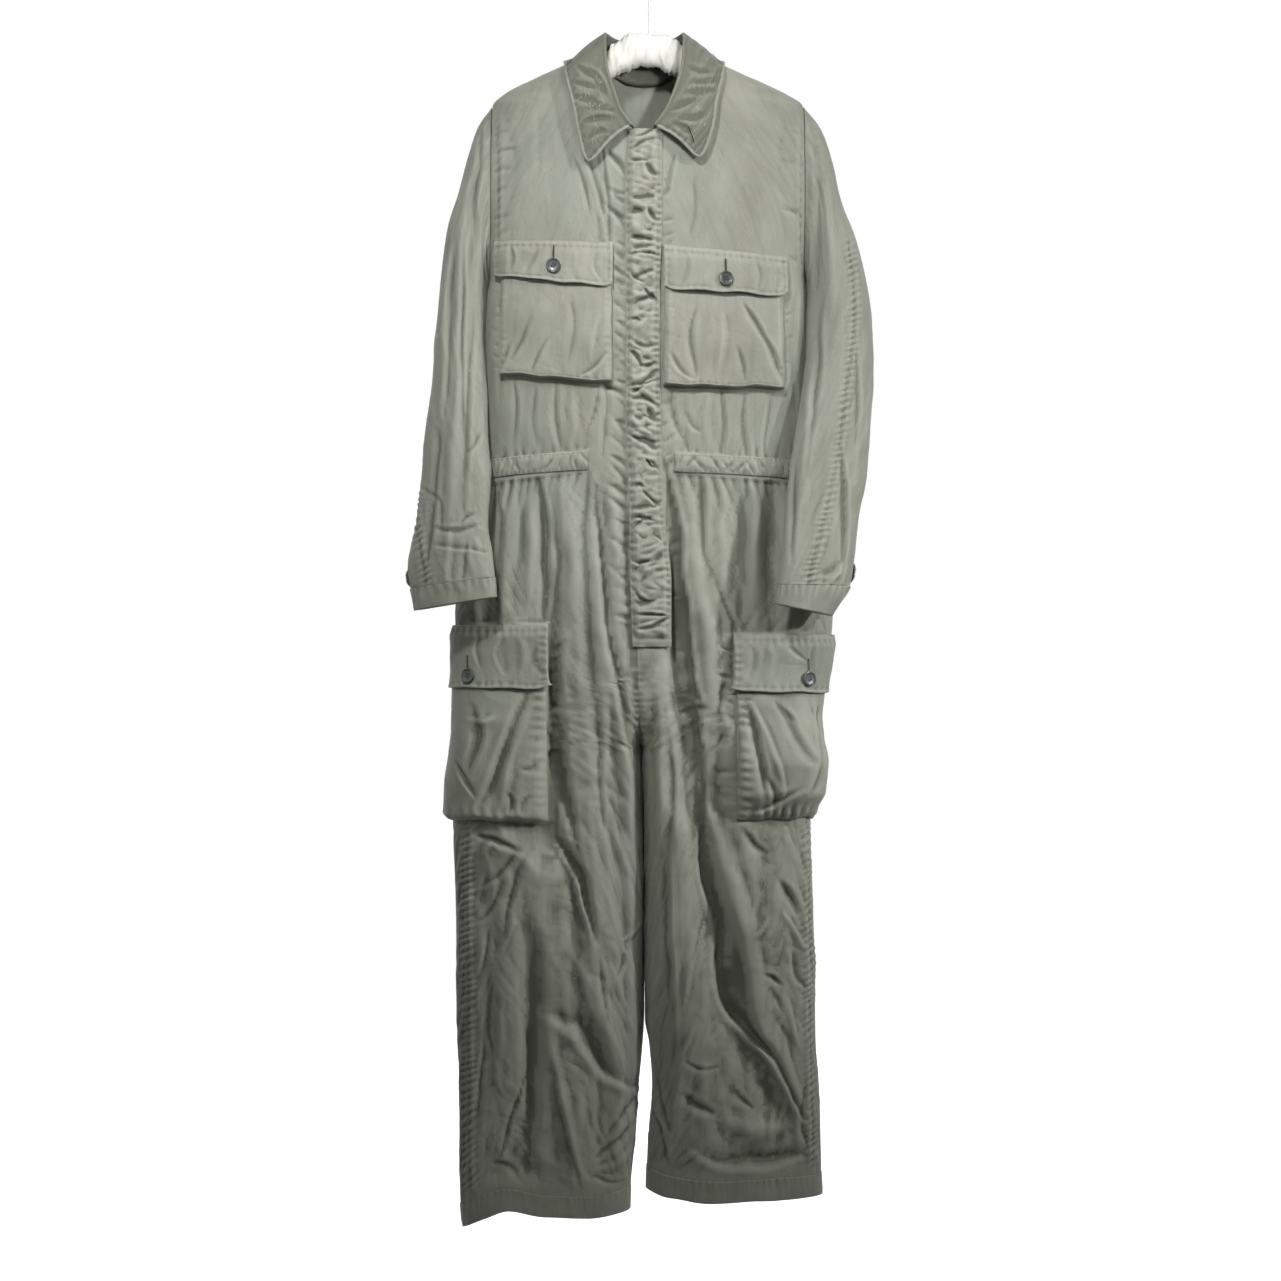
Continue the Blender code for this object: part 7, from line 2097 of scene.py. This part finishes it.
def make_pad(look):
    """The padded arm by the cushion recipe, then the small gathers of its ruched cover."""
    mesh = frame["nodes"]["hanger_pad"].data.copy()
    mesh.materials.clear()
    obj = bpy.data.objects.new("hanger_pad_cover", mesh)
    bpy.context.scene.collection.objects.link(obj)
    mesh.vertices.foreach_set("co", (read(mesh, "co") - read(mesh, "normal") * 0.0022).ravel())
    bpy.context.view_layer.objects.active = obj
    obj.select_set(True)
    apply_modifier(obj, "REMESH", mode="VOXEL", voxel_size=0.0045)
    swell(obj)
    apply_modifier(obj, "SUBSURF", levels=1)
    co, normals = read(obj.data, "co"), read(obj.data, "normal")
    x, _, z = co.T
    pleat = 0.9 * np.abs(noise(x / 0.0075 + 0.5 * noise(x / 0.02, z / 0.02, 3), z / 0.05, 801))
    height = 0.0010 * noise(x / 0.03, z / 0.03, 802) - 0.0026 * (1 - np.clip(pleat * 3, 0, 1))
    co = raised(co, normals, height)
    # it stands up in the neck, and the cover makes it thicker there
    aside = np.abs(co[:, 0])
    deep = np.clip((PAD_TOP_Z - 0.10 * aside - co[:, 2]) / 0.038, 0, 1)
    stand = 0.009 + 0.006 * ramp(aside, 0.0, 0.050) - 0.006 * deep
    co[:, 2] += (1 - ramp(aside, 0.049, 0.064)) * stand
    obj.data.vertices.foreach_set("co", co.ravel())
    obj.data.materials.append(look)
    obj.data.polygons.foreach_set("use_smooth", [True] * len(obj.data.polygons))
    obj.data.update()
    obj.select_set(False)
    declare(obj, "hanger_pad")


def tube(name, line, radius, look, around=20):
    """A round wire along a line, with rounded ends."""
    way = unit(np.gradient(line, axis=0))
    aside = unit(np.cross(way, np.array([0.0, 1.0, 0.0])))
    up = np.cross(aside, way)
    a = np.linspace(0, 2 * math.pi, around, endpoint=False)[None, :, None]
    rings = line[:, None] + radius * (aside[:, None] * np.cos(a) + up[:, None] * np.sin(a))

    def tip(end, sign):
        """Two narrowing rings past an end."""
        spokes, out = rings[end] - line[end], way[end] * radius * sign
        return line[end] + spokes * 0.02 + out * 0.75, line[end] + spokes * 0.45 + out * 0.6

    nose, first = tip(0, -1)
    tail, last = tip(-1, 1)
    rings = np.concatenate([nose[None], first[None], rings, last[None], tail[None]])
    index = np.arange(len(rings) * around).reshape(-1, around)
    return mesh_object(name, rings.reshape(-1, 3), turned(flat_quads(index, True)), look)


def make_hook(look):
    wire, radius = 0.0016, 0.020
    foot, centre_z = -0.1022 + 0.0006, wire - radius
    stem = [
        (0.0, foot - 0.004), (0.0, foot), (0.0, (foot + centre_z) / 2), (0.0, centre_z - 0.032),
        (0.0012, centre_z - 0.0262), (0.0048, centre_z - 0.0208),
    ]
    turns = np.radians(np.linspace(-62, 200, 90))
    bend = [(radius * math.cos(a), centre_z + radius * math.sin(a)) for a in turns]
    line = np.array([(x, 0.0, z) for x, z in stem + bend])
    q = np.concatenate([line[:1], line, line[-1:]])
    fine = []
    for i in range(len(line) - 1):
        steps = 6 if i < len(stem) else 1
        fine += [catmull(*q[i : i + 4], k / steps) for k in range(steps)]
    obj = tube("hook_wire", np.array(fine + [line[-1]]), wire, look)
    declare(obj, "hanger_hook")


# ---------------------------------------------------------------- stitch lines
def row_line(name, row):
    """Along a row of a piece, whole or fractional."""
    column = np.arange(MADE[name][0].shape[1] - 1.0)
    return on_grid(name, np.full(len(column), float(row)), column, 0.0001)


def column_line(name, column):
    row = np.arange(MADE[name][0].shape[0] - 1.0)
    return on_grid(name, row, np.full(len(row), float(column)), 0.0001)


def step_of(line):
    """The mean distance between a line's points."""
    return np.linalg.norm(np.diff(line, axis=0), axis=1).mean()


def inset_line(name, inset):
    """A line that follows a piece's left, foot and right edges, inset by some millimetres."""
    grid, _ = MADE[name]
    rows, columns = grid.shape[:2]
    i, j = (inset / 1000 / step_of(line) for line in (grid[:, columns // 2], grid[rows // 2]))
    foot, right = rows - 1 - i, columns - 1 - j
    path = [(row, j) for row in np.arange(0, foot, 1.0)]
    path += [(foot, column) for column in np.arange(j, right, 1.0)]
    path += [(row, right) for row in np.arange(foot, 0, -1.0)]
    return on_grid(name, *np.array(path).T, 0.0001)


def seam_line(name, path, aside):
    """A line on a piece along a path of (x, z) in millimetres."""
    grid, _ = MADE[name]
    rows, columns = grid.shape[:2]
    found = []
    for x, z in smooth_line(path):
        row = float(np.interp(-z, -grid[:, columns // 2, 2], np.arange(rows)))
        for _ in range(2):
            xs = grid[int(min(max(row, 0), rows - 2)), :, 0]
            order = np.argsort(xs)
            column = float(np.interp(x + aside, xs[order], order))
            zs = grid[:, int(min(max(column, 0), columns - 2)), 2]
            row = float(np.interp(-z, -zs, np.arange(rows)))
        found.append((row, column))
    found = np.array(found)
    t = np.linspace(0, len(found) - 1, len(found) * 3)
    lines = (np.interp(t, np.arange(len(found)), values) for values in found.T)
    return on_grid(name, *lines, 0.0002)


def stitch_side(stitches, side):
    front, under_sleeve = named("front", side), named("sleeve_back", side)
    sleeve, cuff = named("sleeve_front", side), named("cuff", side)
    stitches.row(*row_line(named("leg_hem", side), 0.9))
    for name, above in ((sleeve, 2.2), (under_sleeve, 2.2), (cuff, 3.0)):
        stitches.row(*row_line(name, len(MADE[name][0]) - above))
    stitches.row(*inset_line(named("cuff_tab", side), 2.2))
    for part in ("chest_pocket", "cargo_pocket"):
        for inset in (1.8, 6.0):
            stitches.row(*inset_line(named(part, side), inset))
    for part in ("chest_flap", "cargo_flap"):
        name = named(part, side)
        stitches.row(*inset_line(name, 5.4))
        for drop in (0.0014, 0.0068):
            stitches.row(*row_line(name, drop / step_of(MADE[name][0][:, 20])))
    stitch_casing(stitches, named("waist_casing", side))
    for aside in (0.0022, 0.0062):
        stitches.row(*seam_line(front, LEG_SEAMS[side], -side * aside))
    for aside in (0.0022, 0.0060):
        stitches.row(*seam_line(sleeve, SLEEVE_SEAMS[side], aside))


def stitch_casing(stitches, name):
    for share in (0.09, 0.90):
        stitches.row(*row_line(name, share * (len(MADE[name][0]) - 1)))


def stitch_everything(stitches):
    for side in SIDES:
        stitch_side(stitches, side)
    stitch_casing(stitches, "scene_waist_casing_back")
    rows, columns = MADE["scene_placket"][0].shape[:2]
    for column in (1.4, 5.2, columns - 2.2, columns - 4.0, columns - 9.0):
        stitches.row(*column_line("scene_placket", column))
    for above in (4, 9, 15):
        stitches.row(*row_line("scene_placket", rows - 1 - above))
    collar = MADE["scene_collar"][0]
    stitches.row(*column_line("scene_collar", collar.shape[1] - 1 - 5.6 / 1000 / step_of(collar[40])))


# ---------------------------------------------------------------- stage, light and camera
FILL = 0.04  # the strength of the white surroundings as a light
FLOOR_GLOW = 0.97
FLOOR_Z = -1.78
FLOOR_RADIUS = 3.0


def node(tree, kind, **values):
    made = tree.nodes.new("ShaderNode" + kind)
    for name, value in values.items():
        setattr(made, name, value)
    return made


def joined(tree, kind, first, second, **values):
    """A node fed by two outputs, and its own output."""
    made = node(tree, kind, **values)
    tree.links.new(first, made.inputs[0])
    tree.links.new(second, made.inputs[1])
    return made.outputs[0]


def white_world():
    """Plain white to the camera and in reflections, and only a little light from it."""
    world = bpy.context.scene.world or bpy.data.worlds.new("world")
    bpy.context.scene.world = world
    world.use_nodes = True
    tree = world.node_tree
    tree.nodes.clear()
    rays = node(tree, "LightPath").outputs
    seen, fill = node(tree, "Background"), node(tree, "Background")
    for background, strength in ((seen, 1.0), (fill, FILL)):
        background.inputs["Color"].default_value = (1, 1, 1, 1)
        background.inputs["Strength"].default_value = strength
    either = joined(tree, "Math", rays["Is Camera Ray"], rays["Is Glossy Ray"], operation="ADD")
    any_of = joined(tree, "Math", either, rays["Is Transmission Ray"], operation="ADD", use_clamp=True)
    mix = node(tree, "MixShader")
    for number, output in enumerate((any_of, fill.outputs[0], seen.outputs[0])):
        tree.links.new(output, mix.inputs[number])
    tree.links.new(mix.outputs[0], node(tree, "OutputWorld").inputs[0])


def make_stage():
    white_world()
    floor = bpy.data.materials.new("stage_floor")
    floor.use_nodes = True
    tree = floor.node_tree
    shader = tree.nodes["Principled BSDF"]
    shader.inputs["Base Color"].default_value = (0.60, 0.60, 0.60, 1)
    shader.inputs["Roughness"].default_value = 0.9
    shader.inputs["Specular IOR Level"].default_value = 0.1
    glow, scale = node(tree, "Emission"), node(tree, "Math", operation="MULTIPLY")
    scale.inputs[1].default_value = FLOOR_GLOW
    tree.links.new(node(tree, "LightPath").outputs["Is Camera Ray"], scale.inputs[0])
    tree.links.new(scale.outputs[0], glow.inputs["Strength"])
    output = next(n for n in tree.nodes if n.type == "OUTPUT_MATERIAL")
    both = joined(tree, "AddShader", shader.outputs[0], glow.outputs[0])
    tree.links.new(both, output.inputs["Surface"])
    around = 96
    a = np.linspace(0, 2 * math.pi, around, endpoint=False)
    circle = np.stack([np.cos(a), np.sin(a), np.zeros(around)], -1)
    points = np.concatenate([circle * radius for radius in (0.01, FLOOR_RADIUS / 2, FLOOR_RADIUS)])
    points[:, 2] = FLOOR_Z
    index = np.arange(len(points)).reshape(-1, around)
    mesh_object("stage_floor", points, turned(flat_quads(index, True)), floor)


def area_light(name, place, target, size, watts, spread=180):
    data = bpy.data.lights.new(name, "AREA")
    data.shape = "RECTANGLE"
    data.size, data.size_y = size, size
    data.energy = watts
    data.spread = math.radians(spread)
    obj = bpy.data.objects.new(name, data)
    obj.location = place
    obj.rotation_euler = (Vector(target) - Vector(place)).to_track_quat("-Z", "Y").to_euler()
    bpy.context.scene.collection.objects.link(obj)


# name, place, target, size, watts and, where it is narrow, spread in degrees
LIGHTS = (
    ("upper", (2.2, -1.7, 0.9), (-0.08, 0.0, -0.38), 0.16, 1.68, 36),
    ("front", (-0.45, -1.60, 0.75), (0.0, 0.0, -0.57), 0.18, 1.28, 34),
    ("neck", (0.55, -1.70, -0.30), (-0.01, 0.0, -0.13), 0.12, 0.08, 11),
    ("legs", (2.0, -1.1, -0.2), (0.0, 0.0, -1.08), 0.15, 2.10, 50),
    ("side", (-1.7, -1.3, -0.1), (0.0, 0.0, -0.70), 0.5, 4.0),
    ("behind", (-0.15, 2.2, 0.2), (0.0, 0.0, -0.6), 0.5, 30.0),
    ("behind_low", (0.35, 2.3, -0.9), (0.0, 0.0, -1.0), 0.5, 20.0),
)


def make_camera():
    data = bpy.data.cameras.new("camera")
    data.sensor_width = 36.0
    data.lens = 65.87
    camera = bpy.data.objects.new("camera", data)
    camera.location = (-0.012, -3.06, -0.888)
    camera.rotation_euler = (math.radians(90), 0, 0)
    bpy.context.scene.collection.objects.link(camera)
    bpy.context.scene.camera = camera


# ---------------------------------------------------------------- the whole scene
def make_clothing(fabric):
    for side in SIDES:
        make_front(side, fabric)
    make_back_bodice(fabric)
    for side in SIDES:
        make_back_leg(side, fabric)
        make_leg_hem(side, fabric)
        make_sleeve(side, False, fabric)
        make_sleeve(side, True, fabric)
        make_cuff(side, fabric)
        make_cuff_tab(side, fabric)
        make_front_casing(side, fabric)
        make_chest_bag(side, fabric)
        make_chest_flap(side, fabric)
        make_cargo_bag(side, fabric)
        make_cargo_flap(side, fabric)
    make_back_casing(fabric)
    make_placket(fabric)
    make_collar(fabric)


def make_fastenings():
    """Buttons, stitching and buttonholes."""
    resin, stitches, slit_shades = button_look(), Stitches(), Stitches()
    buttons = {"chest": CHEST_BUTTONS, "cargo": CARGO_BUTTONS}
    for side in SIDES:
        for kind, places in buttons.items():
            make_button(kind, side, places[side], resin, stitches)
    stitch_everything(stitches)
    for side in SIDES:
        for kind, places in buttons.items():
            x, z = places[side]
            buttonhole(named(f"{kind}_flap", side), x, z + 0.0105, 0.0, 0.0165, stitches, slit_shades)
    buttonhole("scene_collar", 0.0485, -0.2300, 0.0075, -0.0215, stitches, slit_shades)
    stitches.make("stitching", thread("thread", (120, 122, 108), (152, 154, 140)))
    # the slits are rows of dark blocks: painted shade in the buttonhole openings
    slit_shades.make("buttonhole_slit_shade", thread("slit_painted_shade", (40, 42, 36), (62, 64, 56)))


def main():
    make_camera()
    # the pale colour serves fading and the painted highlight on ridges; the dark one serves random streaks
    # and the painted shade in hollows
    base, fade_and_highlight, dark, cool = (144, 145, 132), (171, 172, 160), (86, 88, 76), (139, 149, 138)
    fabric = sateen("cloth_sateen", *(linear(*colour) for colour in (base, fade_and_highlight, dark, cool)))
    make_pad(pad_look())
    make_hook(wire_look())
    make_clothing(fabric)
    make_fastenings()
    make_stage()
    for light in LIGHTS:
        area_light(*light)
    bpy.context.scene.view_settings.view_transform = "Standard"


main()
